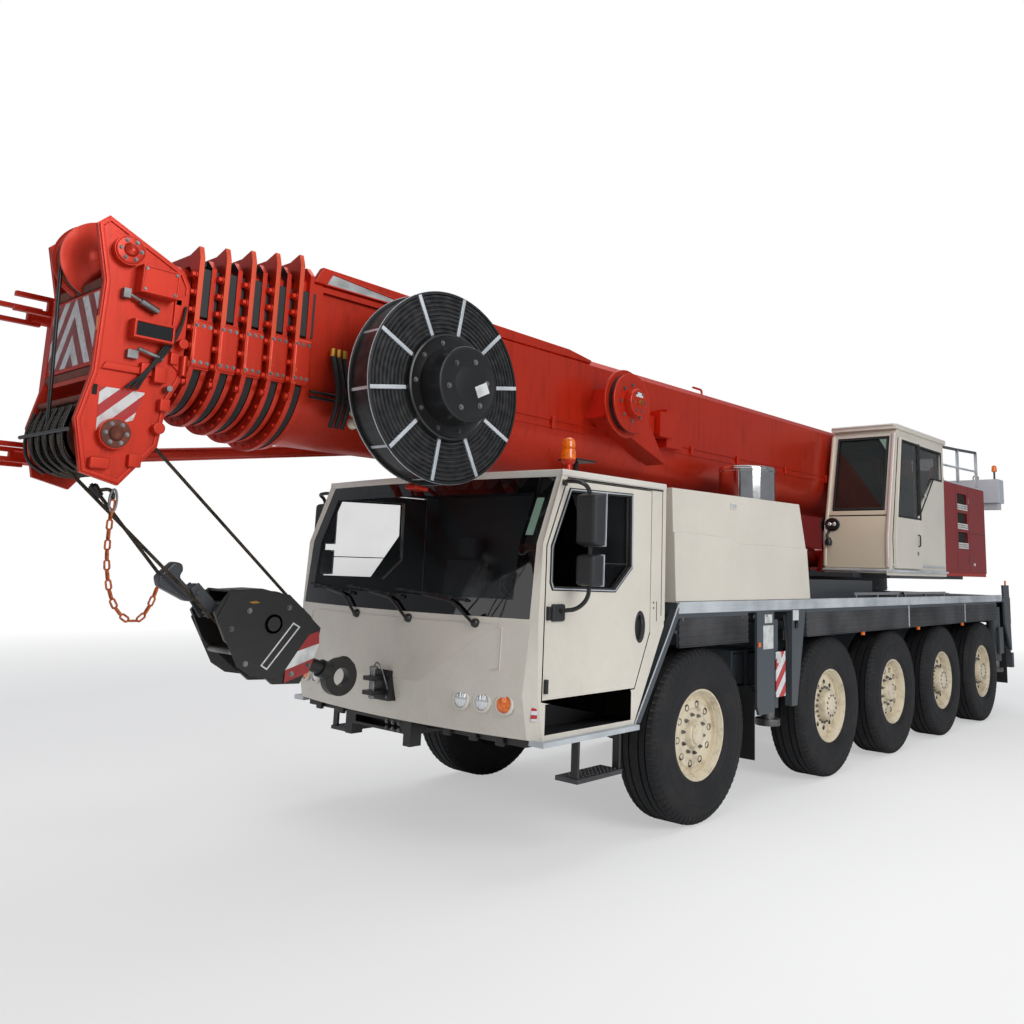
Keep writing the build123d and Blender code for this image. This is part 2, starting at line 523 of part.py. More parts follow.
crane_cab = side_prism(CC_SIDE, CC_Y0, CC_Y1) - side_prism(CC_INSIDE, CC_Y0 + CC_WALL, CC_Y1 - CC_WALL)
front_window = side_prism([(-3900, 2500), (-4300, 3700), (-4600, 3700), (-4300, 2500)], CC_Y0 + 70, CC_Y1 - 70)
crane_cab = crane_cab - front_window
crane_cab = crane_cab - side_prism([(x, z) for x, z in CC_DOOR[1:4]] + [(-5060, 2100), (-4250, 2100)],
                                   CC_Y1 - CC_WALL - 5, CC_Y1 + 5)
crane_cab = crane_cab - side_prism(CC_SIDE_WINDOW, CC_Y1 - CC_WALL - 5, CC_Y1 + 5)
crane_cab = crane_cab - block(-5900, -4800, CC_Y0 - 5, CC_Y0 + CC_WALL + 5, 2700, 3600)
crane_cab = crane_cab - block(-6200, -6000, 700, 1200, 2900, 3600)
roof_lip = block(CC_REAR - 60, CC_FRONT_HIGH + 40, CC_Y0 - 8, CC_Y1 + 30, CC_Z1 - 5, CC_Z1 + 35)
sill = block(CC_REAR, CC_FRONT_LOW + 60, CC_Y1 - 5, CC_Y1 + 6, CC_Z0 - 20, CC_Z0 + 40)
export_node("crane_cab_shell", fuse(crane_cab, roof_lip, sill))

front_pane = side_prism([(CC_FRONT_LOW - 40, 2450), (CC_FRONT_LOW - 30, 2450), (CC_FRONT_HIGH - 10, CC_Z1 - 60),
                         (CC_FRONT_HIGH - 20, CC_Z1 - 60)], CC_Y0 + 70, CC_Y1 - 70) & front_window
side_pane = side_prism(CC_SIDE_WINDOW, CC_Y1 - 25, CC_Y1 - 17)
inner_pane = block(-5900, -4800, CC_Y0 + 10, CC_Y0 + 18, 2700, 3600)
rear_pane = side_prism([(-6080, 2900), (-6072, 2900), (-6084, 3600), (-6092, 3600)], 700, 1200)
export_node("crane_cab_glass", front_pane, side_pane, inner_pane, rear_pane)

door = side_prism(CC_DOOR, CC_DOOR_Y0, CC_DOOR_Y1) - side_prism(CC_DOOR_WINDOW, 1300, 1400)
export_node("crane_cab_door", door + side_prism(CC_DOOR_WINDOW, 1334, 1342))

operator_seat = [block(-5500, -5050, 680, 1130, 2420, 2540), block(-5400, -5150, 780, 1030, 2055, 2425),
                 side_prism([(-5480, 2500), (-5360, 2500), (-5500, 3150), (-5590, 3150)], 690, 1120),
                 side_prism([(-5590, 3140), (-5505, 3140), (-5520, 3330), (-5600, 3330)], 790, 1020)]
consoles = [block(-5300, -4950, 600, 660, 2500, 2620), block(-5300, -4950, 1150, 1210, 2500, 2620)]
armrests = [block(-5280, -5200, 600, 1210, 2440, 2510)]
display = [block(-4420, -4370, 620, 860, 2500, 2760), block(-4420, -4370, 700, 760, 2055, 2505)]
export_node("crane_cab_interior", fuse(*operator_seat, *armrests, *consoles), fuse(*display))

# powerhouse box on the left and equipment box on the right
POWER_Z0, POWER_Z1 = 2055, 3300
powerhouse = block(-7900, -6110, 545, 1300, POWER_Z0, POWER_Z1)
LOUVRE_X0, LOUVRE_X1, LOUVRE_TOP, LOUVRE_PITCH = -7070, -6660, 3170, 272
for level in range(3):
    z1 = LOUVRE_TOP - level * LOUVRE_PITCH
    powerhouse = powerhouse - block(LOUVRE_X0, LOUVRE_X1, 1275, 1310, z1 - 150, z1)
# handrail over the powerhouse roof: posts, then bars from post to post
RAIL_Y, RAIL_R = 1215, 19
# handrail post columns: x, height of the top bar
RAIL_POSTS = [(-6180, 3790), (-7000, 3830), (-7860, 3880)]
for x, top in RAIL_POSTS:
    powerhouse = powerhouse + block(x - 18, x + 18, RAIL_Y - 18, RAIL_Y + 18, POWER_Z1 - 5, top)
for (x0, top0), (x1, top1) in zip(RAIL_POSTS, RAIL_POSTS[1:]):
    powerhouse = powerhouse + flat_sided_bar((x0, RAIL_Y, top0), (x1, RAIL_Y, top1), RAIL_R)
    middle0, middle1 = (top0 + POWER_Z1) / 2, (top1 + POWER_Z1) / 2
    powerhouse = powerhouse + flat_sided_bar((x0, RAIL_Y, middle0), (x1, RAIL_Y, middle1), RAIL_R - 4)
tank = block(-7700, -6200, -1250, -545, POWER_Z0, 2900)
export_node("powerhouse_and_tank", powerhouse, tank)

# winch between the tail beams, and the counterweight across their ends
WINCH_X, WINCH_Z = -8380, 3470
winch = fuse(disc(WINCH_X, WINCH_Z, -400, 400, 210), disc(WINCH_X, WINCH_Z, -430, -395, 290),
             disc(WINCH_X, WINCH_Z, 395, 430, 290))
winch = winch - disc(WINCH_X, WINCH_Z, -500, 500, 62)
export_node("hoist_winch", winch)
platform.append(disc(WINCH_X, WINCH_Z, -SIDE_PLATE_Y - 40, SIDE_PLATE_Y + 40, 55))
for side in (1, -1):
    platform.append(side_prism([(WINCH_X - 200, 3400), (WINCH_X + 200, 3400), (WINCH_X + 90, 3600),
                                (WINCH_X - 90, 3600)],
                               *sorted((side * SIDE_PLATE_Y, side * (SIDE_PLATE_Y + PLATE_T)))))
export_node("slew_platform", fuse(*platform))
export_node("counterweight", fuse(block(TAIL_END, -8760, -1290, 1290, 3180, 3560),
                                  block(-8770, -8720, -SIDE_PLATE_Y, SIDE_PLATE_Y, 3200, 3400)))

# ---------------------------------------------------------------- boom
COLLAR_T = 30
EAR_RISE = 35                # height of a collar's corner above its top edge


def section_face(index, x, grow=0):
    """Cross-section of one boom tube: flat upper walls, round lower half."""
    half = SECTION_HALF_W[index] + grow
    top, bottom = SECTION_TOP[index] + grow, SECTION_BOTTOM[index] - grow
    shoulder = bottom + 1.143 * half
    corner = 60
    arc = ThreePointArc((x, -half, shoulder), (x, 0, bottom), (x, half, shoulder))
    sides = Polyline((x, half, shoulder), (x, half, top - corner), (x, half - corner, top),
                     (x, -half + corner, top), (x, -half, top - corner), (x, -half, shoulder))
    return make_face(arc.edges() + sides.edges())


def section_solid(index, x0, x1, grow=0):
    """Filled length of one boom section."""
    return extrude(section_face(index, x0, grow), amount=x1 - x0, dir=(1, 0, 0))


def boom_tube(index):
    """Hollow boom section with its collar at the front end."""
    rear, front = SECTION_REAR[index], SECTION_FRONT[index]
    tube = section_solid(index, rear, front)
    collar = section_solid(index, front - COLLAR_T, front, 62)
    collar_rear = section_solid(index, front - 120, front - 90, 40)
    pieces = [tube, collar, collar_rear]
    side_half = SECTION_HALF_W[index]
    for side in (1, -1):
        y0, y1 = sorted((side * (side_half - 5), side * (side_half + 52)))
        pieces.append(block(front - 118, front - 4, y0, y1, 3080, 3380))
    flange_top = SECTION_TOP[index] + 62
    for side in (1, -1):
        edge = side * (side_half + 62)
        ear = cross_prism([(edge, flange_top - 200), (edge, flange_top - 40), (edge - side * 28, flange_top + EAR_RISE),
                           (edge - side * 150, flange_top - 5), (edge - side * 150, flange_top - 70)],
                          front - COLLAR_T, front)
        pieces.append(ear)
    solid = fuse(*pieces)
    return solid - section_solid(index, rear - 10, front + 10, -BOOM_WALL)


base = boom_tube(0)
foot_half = SECTION_HALF_W[0]
for side in (1, -1):
    cheek = fuse(side_prism([(-7380, 2830), (-6600, 2745), (-6500, 3500), (-7200, 3500), (-7380, 3300)],
                            *sorted((side * (foot_half - 5), side * (foot_half + 40)))))
    base = base + cheek
    lug = side_prism([(LUFF_EYE[0] - 260, 2770), (LUFF_EYE[0] + 260, 2770), (LUFF_EYE[0] + 90, 2550),
                      (LUFF_EYE[0] - 90, 2550)], *sorted((side * 130, side * 170)))
    base = base + (lug - section_solid(0, -2000, 0, -BOOM_WALL + 2))
base = base - disc(PIVOT_X, PIVOT_Z, -600, 600, 95)
# reel bracket and small drum bracket on the left side
base = base + disc(REEL[0], REEL[1], foot_half - 5, 770, 70)
base = base + side_prism([(REEL[0] - 300, 2960), (REEL[0] + 300, 2960), (REEL[0] + 120, 3330),
                          (REEL[0] - 120, 3330)], foot_half - 5, 520)
DRUM_X, DRUM_Z, SMALL_DRUM_R = 250, 3420, 300
base = base + side_prism([(DRUM_X + 230, 3280), (DRUM_X + 100, 3560), (DRUM_X - 250, 3560), (DRUM_X - 700, 2960)],
                         foot_half - 5, 640)
base = base + disc(DRUM_X, DRUM_Z, 600, 665, 55)
base = base - block(-7100, 3000, -foot_half + BOOM_WALL + 1, foot_half - BOOM_WALL - 1, 3250, 3700)
# ledges along the left side, the slot under the top edge, and the small drum's drive boxes
for z in (3150, 3215):
    for side in (1, -1):
        base = base + block(-6300, 1900, *sorted((side * (foot_half - 4), side * (foot_half + 14))), z - 8, z + 8)
base = base - block(2450, 3170, foot_half - 30, foot_half + 10, 3655, 3735)
# drive box columns: rear, front, outer y, bottom, top
for x0, x1, y1, z0, z1 in ((-640, -430, 590, 3230, 3470), (-880, -610, 540, 3150, 3520), (-420, -290, 530, 3260, 3420)):
    base = base + block(x0, x1, foot_half - 5, y1, z0, z1)
# roller guide for the hoist rope on the boom's top
for x in (-1560, 1500):
    base = base + block(x - 30, x + 30, -150, 150, SECTION_TOP[0] - 5, SECTION_TOP[0] + 60)
export_node("boom_base", base)
for index in range(1, SECTION_COUNT - 1):
    export_node(f"boom_section_{index}", boom_tube(index))

# head section: innermost tube, side plates, cross plates and sheaves
HEAD_PLATE = [(4015, 3000), (4015, 3560), (4060, 3640), (4500, 3850), (4560, 3790), (4490, 3480),
              (4500, 2970), (4560, 2700), (4500, 2420), (4300, 2365), (4110, 2600), (4080, 2860)]
HEAD_Y0, HEAD_Y1 = 320, 350
last = SECTION_COUNT - 1
head = section_solid(last, SECTION_REAR[last], 4200) - section_solid(last, SECTION_REAR[last] - 10, 4100, -BOOM_WALL)
head_pieces = [head]
for side in (1, -1):
    y0, y1 = sorted((side * (HEAD_Y0 - 40), side * HEAD_Y1))
    plate = side_prism(HEAD_PLATE, *sorted((side * HEAD_Y0, side * HEAD_Y1)))
    head_pieces.append(plate)
    head_pieces.append(block(4060, 4150, y0, y1, 3000, 3560))
    for x, z in (UPPER_SHEAVE, LOWER_SHEAVE):
        head_pieces.append(disc(x, z, side * HEAD_Y0, side * (HEAD_Y1 + 45), 85))
head_pieces.append(block(4440, 4490, -HEAD_Y1, HEAD_Y1, 3010, 3440))
head_pieces.append(block(4180, 4480, -HEAD_Y1, HEAD_Y1, 2935, 2965))
for x, z in (UPPER_SHEAVE, LOWER_SHEAVE):
    head_pieces.append(disc(x, z, -HEAD_Y1, HEAD_Y1, 50))
for y in (-200, 0, 200):
    head_pieces.append(disc(*UPPER_SHEAVE, y - 25, y + 25, SHEAVE_R) if y == 0 else
                       disc(*UPPER_SHEAVE, y - 25, y + 25, 90))
for y in (-210, -105, 0, 105, 210):
    head_pieces.append(disc(*LOWER_SHEAVE, y - 30, y + 30, SHEAVE_R - 10))
# boxes on the left plate, and the front rope
head_pieces.append(block(4120, 4330, HEAD_Y1 - 5, HEAD_Y1 + 90, 3440, 3600))
head_pieces.append(block(4110, 4340, HEAD_Y1 - 5, HEAD_Y1 + 70, 3180, 3290))
head_pieces.append(rod((UPPER_SHEAVE[0] + SHEAVE_R - 5, 0, UPPER_SHEAVE[1]),
                       (LOWER_SHEAVE[0] + SHEAVE_R - 15, 0, LOWER_SHEAVE[1]), 11))
export_node("boom_head", fuse(*head_pieces))

# ---------------------------------------------------------------- stowed jib on the right side
JIB_Y0, JIB_Y1 = -885, -545
JIB_REAR, JIB_KNEE, JIB_FRONT = -5600, 1500, 4300
# heights of the chords' axes at the fork end and behind the knee
JIB_TOP, JIB_BOTTOM = 3480, 2575
JIB_KNEE_TOP, JIB_KNEE_BOTTOM = 3430, 2960
JIB_TIP_TOP, JIB_TIP_BOTTOM = 3540, 3290
CHORD_R = 38


def chord_z(x, top):
    """Height of a jib chord's axis at x."""
    fork, knee, tip = ((JIB_TOP, JIB_KNEE_TOP, JIB_TIP_TOP) if top
                       else (JIB_BOTTOM, JIB_KNEE_BOTTOM, JIB_TIP_BOTTOM))
    if x > JIB_KNEE:
        return fork + (knee - fork) * (JIB_FRONT - x) / (JIB_FRONT - JIB_KNEE)
    return knee + (tip - knee) * (JIB_KNEE - x) / (JIB_KNEE - JIB_REAR)


jib = []
for y in (JIB_Y0, JIB_Y1):
    for top in (True, False):
        knee = (JIB_KNEE, y, chord_z(JIB_KNEE, top))
        jib.append(flat_sided_bar((JIB_REAR, y, chord_z(JIB_REAR, top)), knee, CHORD_R, 12))
        jib.append(flat_sided_bar(knee, (JIB_FRONT, y, chord_z(JIB_FRONT, top)), CHORD_R, 12))
        jib.append(block(JIB_KNEE - 45, JIB_KNEE + 45, y - 42, y + 42, knee[2] - 42, knee[2] + 42))
    fork_root = 4380
    for z in (JIB_TOP, JIB_BOTTOM):
        jib.append(flat_sided_bar((JIB_FRONT - 20, y, z), (fork_root + 60, y, z), 47, 12))
        for dz in (-45, 45):
            jib.append(block(fork_root, FRONT_TIP, y - 18, y + 18, z + dz - 14, z + dz + 14))
        jib.append(block(fork_root, fork_root + 80, y - 18, y + 18, z - 55, z + 55))
    jib.append(block(JIB_FRONT - 28, JIB_FRONT + 28, y - 28, y + 28, JIB_BOTTOM, JIB_TOP))
JIB_BAYS = 8
LATTICE_FRONT, LATTICE_REAR = JIB_FRONT - 55, JIB_REAR + 70
bay = (LATTICE_FRONT - LATTICE_REAR) / JIB_BAYS
for number in range(JIB_BAYS):
    x0, x1 = LATTICE_FRONT - number * bay, LATTICE_FRONT - (number + 1) * bay
    low_first = number % 2 == 0
    for y in (JIB_Y0, JIB_Y1):
        jib.append(flat_sided_bar((x0, y, chord_z(x0, not low_first)), (x1, y, chord_z(x1, low_first)), 22))
    for top in (True, False):
        jib.append(flat_sided_bar((x1, JIB_Y0, chord_z(x1, top)), (x1, JIB_Y1, chord_z(x1, top)), 22))
        jib.append(flat_sided_bar((x0, JIB_Y0, chord_z(x0, top)), (x1, JIB_Y1, chord_z(x1, top)), 18))
for x in (2600, -4200):
    jib.append(block(x - 60, x + 60, JIB_Y1 - 10, -SECTION_HALF_W[0], 3235, 3315))
    jib.append(block(x - 60, x + 60, JIB_Y1 - 30, JIB_Y1 + 30, chord_z(x, False), chord_z(x, True)))
export_node("stowed_jib", fuse(*jib))

# ---------------------------------------------------------------- luffing cylinder
BARREL_R, ROD_R = 130, 85
luff_dx, luff_dz = LUFF_EYE[0] - LUFF_BASE[0], LUFF_EYE[1] - LUFF_BASE[1]
LUFF_LENGTH = math.hypot(luff_dx, luff_dz)
BARREL_LENGTH = 3520


def along_luff(distance):
    """Point on the cylinder's axis, at a distance from its foot pin."""
    share = distance / LUFF_LENGTH
    return (LUFF_BASE[0] + luff_dx * share, 0, LUFF_BASE[1] + luff_dz * share)


barrel = fuse(rod(along_luff(150), along_luff(BARREL_LENGTH), BARREL_R),
              rod(along_luff(BARREL_LENGTH - 120), along_luff(BARREL_LENGTH), BARREL_R + 12),
              disc(*LUFF_BASE, -140, 140, 120), rod(along_luff(40), along_luff(200), 95))
barrel = barrel - rod(along_luff(240), along_luff(BARREL_LENGTH + 20), ROD_R + 6)
barrel = barrel - disc(*LUFF_BASE, -300, 300, 62)
export_node("luff_barrel", barrel)
export_node("luff_rod", fuse(rod(along_luff(300), along_luff(LUFF_LENGTH - 60), ROD_R),
                             disc(*LUFF_EYE, -115, 115, 95)) - disc(*LUFF_EYE, -300, 300, 45))

# ---------------------------------------------------------------- cable reel and small drum
SPOKES = 10
reel = [disc(*REEL, 795, 800, REEL_R - 40), disc(*REEL, 990, 996, REEL_R - 30), disc(*REEL, 800, 990, REEL_R - 60),
        disc(*REEL, 990, 1040, 360), disc(*REEL, 1030, 1200, 250)]
for y in (790, 985):
    reel.append(disc(*REEL, y, y + 16, REEL_R) - disc(*REEL, y - 5, y + 25, REEL_R - 22))
for number in range(SPOKES):
    spoke = block(REEL[0] + 340, REEL[0] + REEL_R - 10, 985, 1008, REEL[1] - 14, REEL[1] + 14)
    turned = Pos(REEL[0], 0, REEL[1]) * Rot(0, 360 * (number + 0.25) / SPOKES, 0) * Pos(-REEL[0], 0, -REEL[1]) * spoke
    reel.append(turned)
    arm = block(REEL[0] + 300, REEL[0] + REEL_R - 10, 788, 806, REEL[1] - 14, REEL[1] + 14)
    reel.append(Pos(REEL[0], 0, REEL[1]) * Rot(0, 360 * (number + 0.25) / SPOKES, 0)
                * Pos(-REEL[0], 0, -REEL[1]) * arm)
export_node("cable_reel", fuse(*reel) - disc(*REEL, 700, 900, 76))
small = fuse(disc(DRUM_X, DRUM_Z, 680, 710, SMALL_DRUM_R), disc(DRUM_X, DRUM_Z, 700, 760, SMALL_DRUM_R - 60),
             disc(DRUM_X, DRUM_Z, 755, 780, SMALL_DRUM_R - 40), disc(DRUM_X, DRUM_Z, 775, 850, 120))
export_node("small_drum", small - disc(DRUM_X, DRUM_Z, 640, 700, 60))

# ---------------------------------------------------------------- hook block and its ropes
BLOCK_PLATE = [(3470, 1800), (3070, 1765), (2820, 1545), (2840, 1400), (2950, 1195), (3145, 1205), (3490, 1490),
               (3575, 1665)]
block_pieces = []
for side in (1, -1):
    block_pieces.append(side_prism(BLOCK_PLATE, *sorted((side * 130, side * 155))))
BLOCK_AXIS = (3175, 1582)
BLOCK_SHEAVE_R = 205
block_pieces.append(disc(*BLOCK_AXIS, -170, 170, 60))
for y in (-80, 0, 80):
    block_pieces.append(disc(*BLOCK_AXIS, y - 28, y + 28, BLOCK_SHEAVE_R))
HOOK_X, HOOK_Z = 2540, 1195
shank = rod((3000, 0, 1380), (2690, 0, 1262), 45)
crosshead = block(2900, 3010, -140, 140, 1330, 1420)
ring = disc(HOOK_X, HOOK_Z, -32, 32, 128) - disc(HOOK_X, HOOK_Z, -50, 50, 62)
swivel = rod((2700, 0, 1265), (2630, 0, 1235), 60)
block_pieces += [shank, crosshead, ring, swivel]
LINK_PIN = (3530, 1640)
block_pieces.append(disc(*LINK_PIN, -155, 155, 16))
export_node("hook_block", fuse(*block_pieces))

# falls of the hoist rope, and the dead end with its socket and link
ROPE_R = 11
ROPE_CLEAR = 3
ropes = []
fall_x, fall_z = LOWER_SHEAVE[0] - BLOCK_AXIS[0], LOWER_SHEAVE[1] - BLOCK_AXIS[1]
fall = math.hypot(fall_x, fall_z)
for side in (1, -1):
    across_x, across_z = -side * fall_z / fall, side * fall_x / fall
    low, high = BLOCK_SHEAVE_R + ROPE_R, SHEAVE_R - 10 + ROPE_R + ROPE_CLEAR
    ropes.append(rod((BLOCK_AXIS[0] + across_x * low, 80, BLOCK_AXIS[1] + across_z * low),
                     (LOWER_SHEAVE[0] + across_x * high, 105, LOWER_SHEAVE[1] + across_z * high), ROPE_R))
SOCKET = (3850, 1770)
DEAD_END = (4300, 2385)
CHAIN_TOP = (4215, 100, 2300)
ropes.append(fuse(rod((SOCKET[0], 0, SOCKET[1]), (DEAD_END[0], 0, DEAD_END[1]), ROPE_R),
                  rod((DEAD_END[0] - 40, 0, DEAD_END[1] - 55), (DEAD_END[0], 0, DEAD_END[1]), 30),
                  rod((DEAD_END[0] - 25, 0, DEAD_END[1] - 40), CHAIN_TOP, 14),
                  rod((3880, 0, 1800), (3700, 0, 1690), 45),
                  rod((3720, 0, 1695), (LINK_PIN[0] + 26, 0, LINK_PIN[1] + 8), 24)))
export_node("hook_ropes", *ropes)

# ---------------------------------------------------------------- sling chain, hanging slack
CHAIN_R = 20
# route of the chain from its upper shackle to the rope socket: x, y, z
CHAIN_ROUTE = [CHAIN_TOP, (4222, 104, 2110), (4205, 96, 1900), (4150, 84, 1712), (4030, 62, 1600),
               (3915, 36, 1640), (3880, 20, 1752)]


def cord_tube(points, radius):
    """Round tube along straight runs joined by the largest tangent arcs that fit."""
    radii = []
    for before, corner, after in zip(points, points[1:], points[2:]):
        run_in, run_out = Vector(*corner) - Vector(*before), Vector(*after) - Vector(*corner)
        half_turn = math.radians(run_in.get_angle(run_out)) / 2
        radii.append(0.45 * min(run_in.length, run_out.length) / math.tan(half_turn))
    print("cord radii", [round(r) for r in radii])
    path = FilletPolyline(*points, radius=radii)
    start = Plane(origin=points[0], z_dir=path % 0)
    tube = sweep(start * Circle(radius), path=path)
    print("cord length", round(path.length), "volume share", tube.volume / (math.pi * radius**2 * path.length))
    return tube


export_node("sling_chain", cord_tube(CHAIN_ROUTE, CHAIN_R))
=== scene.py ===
"""Dresses the packed mobile crane: finishes, fittings, tread, ropes, glass and lamps around the CAD frame.

Metres. +X points to the crane's front, +Y to its left, +Z up, with the ground at Z 0.
Places along X are counted from the first axle, and at() moves them into the frame.
"""
import json
import math
import sys

import bmesh
import bpy
from mathutils import Matrix, Vector
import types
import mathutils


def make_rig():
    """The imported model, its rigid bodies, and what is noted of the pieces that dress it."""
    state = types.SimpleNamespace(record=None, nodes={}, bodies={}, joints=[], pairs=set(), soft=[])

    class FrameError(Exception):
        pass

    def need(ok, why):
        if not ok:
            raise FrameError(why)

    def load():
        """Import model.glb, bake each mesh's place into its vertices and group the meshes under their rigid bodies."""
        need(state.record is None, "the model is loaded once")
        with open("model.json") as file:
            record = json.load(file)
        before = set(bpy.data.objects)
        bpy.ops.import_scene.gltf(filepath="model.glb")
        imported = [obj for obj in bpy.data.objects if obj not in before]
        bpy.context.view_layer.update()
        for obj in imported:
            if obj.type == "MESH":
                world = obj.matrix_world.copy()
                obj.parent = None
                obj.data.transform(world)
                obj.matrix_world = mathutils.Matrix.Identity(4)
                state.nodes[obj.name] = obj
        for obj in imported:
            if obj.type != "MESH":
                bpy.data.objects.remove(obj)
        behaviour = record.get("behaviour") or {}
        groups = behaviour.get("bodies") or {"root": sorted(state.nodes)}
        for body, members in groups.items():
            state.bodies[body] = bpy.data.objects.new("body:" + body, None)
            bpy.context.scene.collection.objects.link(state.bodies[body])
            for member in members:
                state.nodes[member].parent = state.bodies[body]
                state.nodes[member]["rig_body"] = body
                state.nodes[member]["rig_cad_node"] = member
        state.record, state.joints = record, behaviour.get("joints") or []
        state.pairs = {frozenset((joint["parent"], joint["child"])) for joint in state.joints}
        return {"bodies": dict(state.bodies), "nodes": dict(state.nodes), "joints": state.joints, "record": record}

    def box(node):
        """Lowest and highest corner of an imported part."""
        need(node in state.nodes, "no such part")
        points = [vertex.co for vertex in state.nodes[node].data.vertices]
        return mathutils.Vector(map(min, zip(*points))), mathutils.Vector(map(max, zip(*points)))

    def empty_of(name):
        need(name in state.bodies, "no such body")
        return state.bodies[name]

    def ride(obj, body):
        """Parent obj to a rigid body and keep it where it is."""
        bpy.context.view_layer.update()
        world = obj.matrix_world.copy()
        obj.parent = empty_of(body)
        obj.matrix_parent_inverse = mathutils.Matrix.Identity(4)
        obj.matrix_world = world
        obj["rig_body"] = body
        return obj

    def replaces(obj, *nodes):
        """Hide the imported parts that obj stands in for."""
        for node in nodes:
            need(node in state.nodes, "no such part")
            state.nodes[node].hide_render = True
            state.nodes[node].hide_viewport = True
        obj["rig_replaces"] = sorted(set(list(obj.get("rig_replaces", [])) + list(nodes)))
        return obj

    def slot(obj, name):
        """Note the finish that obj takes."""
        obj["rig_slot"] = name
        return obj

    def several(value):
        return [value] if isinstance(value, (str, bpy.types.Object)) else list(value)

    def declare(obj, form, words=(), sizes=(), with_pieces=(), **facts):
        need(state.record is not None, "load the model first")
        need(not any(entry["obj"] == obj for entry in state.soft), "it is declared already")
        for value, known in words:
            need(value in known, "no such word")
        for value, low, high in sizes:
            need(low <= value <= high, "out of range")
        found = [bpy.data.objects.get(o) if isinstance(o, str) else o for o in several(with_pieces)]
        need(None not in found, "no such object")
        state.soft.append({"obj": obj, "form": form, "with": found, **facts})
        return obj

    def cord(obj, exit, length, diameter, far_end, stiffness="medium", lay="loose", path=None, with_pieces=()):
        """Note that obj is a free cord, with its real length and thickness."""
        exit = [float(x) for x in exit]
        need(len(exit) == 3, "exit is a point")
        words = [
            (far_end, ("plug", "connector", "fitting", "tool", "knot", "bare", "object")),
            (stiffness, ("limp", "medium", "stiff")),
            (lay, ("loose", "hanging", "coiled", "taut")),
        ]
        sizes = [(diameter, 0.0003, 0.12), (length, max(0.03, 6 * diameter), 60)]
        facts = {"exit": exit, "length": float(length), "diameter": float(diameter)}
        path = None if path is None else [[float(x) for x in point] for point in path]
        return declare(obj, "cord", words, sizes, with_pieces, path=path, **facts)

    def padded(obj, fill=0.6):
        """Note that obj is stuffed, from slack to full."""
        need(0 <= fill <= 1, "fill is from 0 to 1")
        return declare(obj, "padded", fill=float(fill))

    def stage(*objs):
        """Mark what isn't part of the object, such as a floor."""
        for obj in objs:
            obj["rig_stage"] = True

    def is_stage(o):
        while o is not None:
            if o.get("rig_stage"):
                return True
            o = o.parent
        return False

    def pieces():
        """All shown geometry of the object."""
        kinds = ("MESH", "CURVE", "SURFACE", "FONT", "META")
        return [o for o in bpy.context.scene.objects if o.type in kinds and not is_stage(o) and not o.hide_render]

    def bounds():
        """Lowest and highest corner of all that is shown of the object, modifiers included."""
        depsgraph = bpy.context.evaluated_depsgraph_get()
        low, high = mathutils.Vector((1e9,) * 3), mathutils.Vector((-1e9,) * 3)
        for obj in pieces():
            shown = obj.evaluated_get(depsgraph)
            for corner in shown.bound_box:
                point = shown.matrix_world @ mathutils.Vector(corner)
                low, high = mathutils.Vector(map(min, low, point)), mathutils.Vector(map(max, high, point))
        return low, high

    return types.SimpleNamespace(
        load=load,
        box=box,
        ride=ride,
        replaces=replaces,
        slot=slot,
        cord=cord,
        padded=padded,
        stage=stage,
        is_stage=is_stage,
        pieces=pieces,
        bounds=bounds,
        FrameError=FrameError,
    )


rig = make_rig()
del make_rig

bl_info = {
    "name": "Mobile Crane Dresser",
    "version": (1, 0, 0),
    "blender": (4, 5, 0),
    "location": "3D View > Sidebar > Crane",
    "description": "Builds the visual pieces of a five-axle mobile crane around its packed frame",
    "category": "Object",
}

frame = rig.load()
CAD_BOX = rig.bounds()
NODES = frame["nodes"]


AHEAD, LEFT, UP = (1, 0, 0), (0, 1, 0), (0, 0, 1)


# ------------------------------------------------------------------------------------------------
# places
def middle(node):
    """Middle of a CAD node's box."""
    low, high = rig.box(node)
    return (low + high) / 2


AXLE_1 = middle("wheel_1_left").x


def at(x, y, z):
    """A point given from the first axle, in the frame."""
    return Vector((AXLE_1 + x, y, z))


def along(points, y):
    """(x, z) points from the first axle, as points in the frame at one y."""
    return [at(x, y, z) for x, z in points]


# ------------------------------------------------------------------------------------------------
# modelling by hand, as operators
def clear():
    """Leave edit mode and select nothing."""
    if bpy.context.mode != "OBJECT":
        bpy.ops.object.mode_set(mode="OBJECT")
    bpy.ops.object.select_all(action="DESELECT")


def pick(*pieces):
    """Select only these, with the first one active."""
    clear()
    for piece in pieces:
        piece.select_set(True)
    bpy.context.view_layer.objects.active = pieces[0]
    return pieces[0]


def settle(piece):
    """Put the piece's place, turn and scale into its mesh."""
    pick(piece)
    bpy.ops.object.transform_apply(location=True, rotation=True, scale=True)
    return piece


def edit(piece, mode="FACE"):
    """Edit mode with nothing selected; returns the edit mesh."""
    pick(piece)
    bpy.ops.object.mode_set(mode="EDIT")
    bpy.ops.mesh.select_mode(type=mode)
    bpy.ops.mesh.select_all(action="DESELECT")
    return bmesh.from_edit_mesh(piece.data)


def choose_faces(piece, test):
    """Edit mode with the faces selected whose centre and normal pass the test."""
    mesh = edit(piece, "FACE")
    for face in mesh.faces:
        face.select_set(test(face.calc_center_median(), face.normal))
    mesh.select_flush_mode()
    bmesh.update_edit_mesh(piece.data)


def modify(piece, kind, **settings):
    """Add a modifier and apply it."""
    pick(piece)
    modifier = piece.modifiers.new(kind.title(), kind)
    for name, value in settings.items():
        setattr(modifier, name, value)
    bpy.ops.object.modifier_apply(modifier=modifier.name)
    return piece


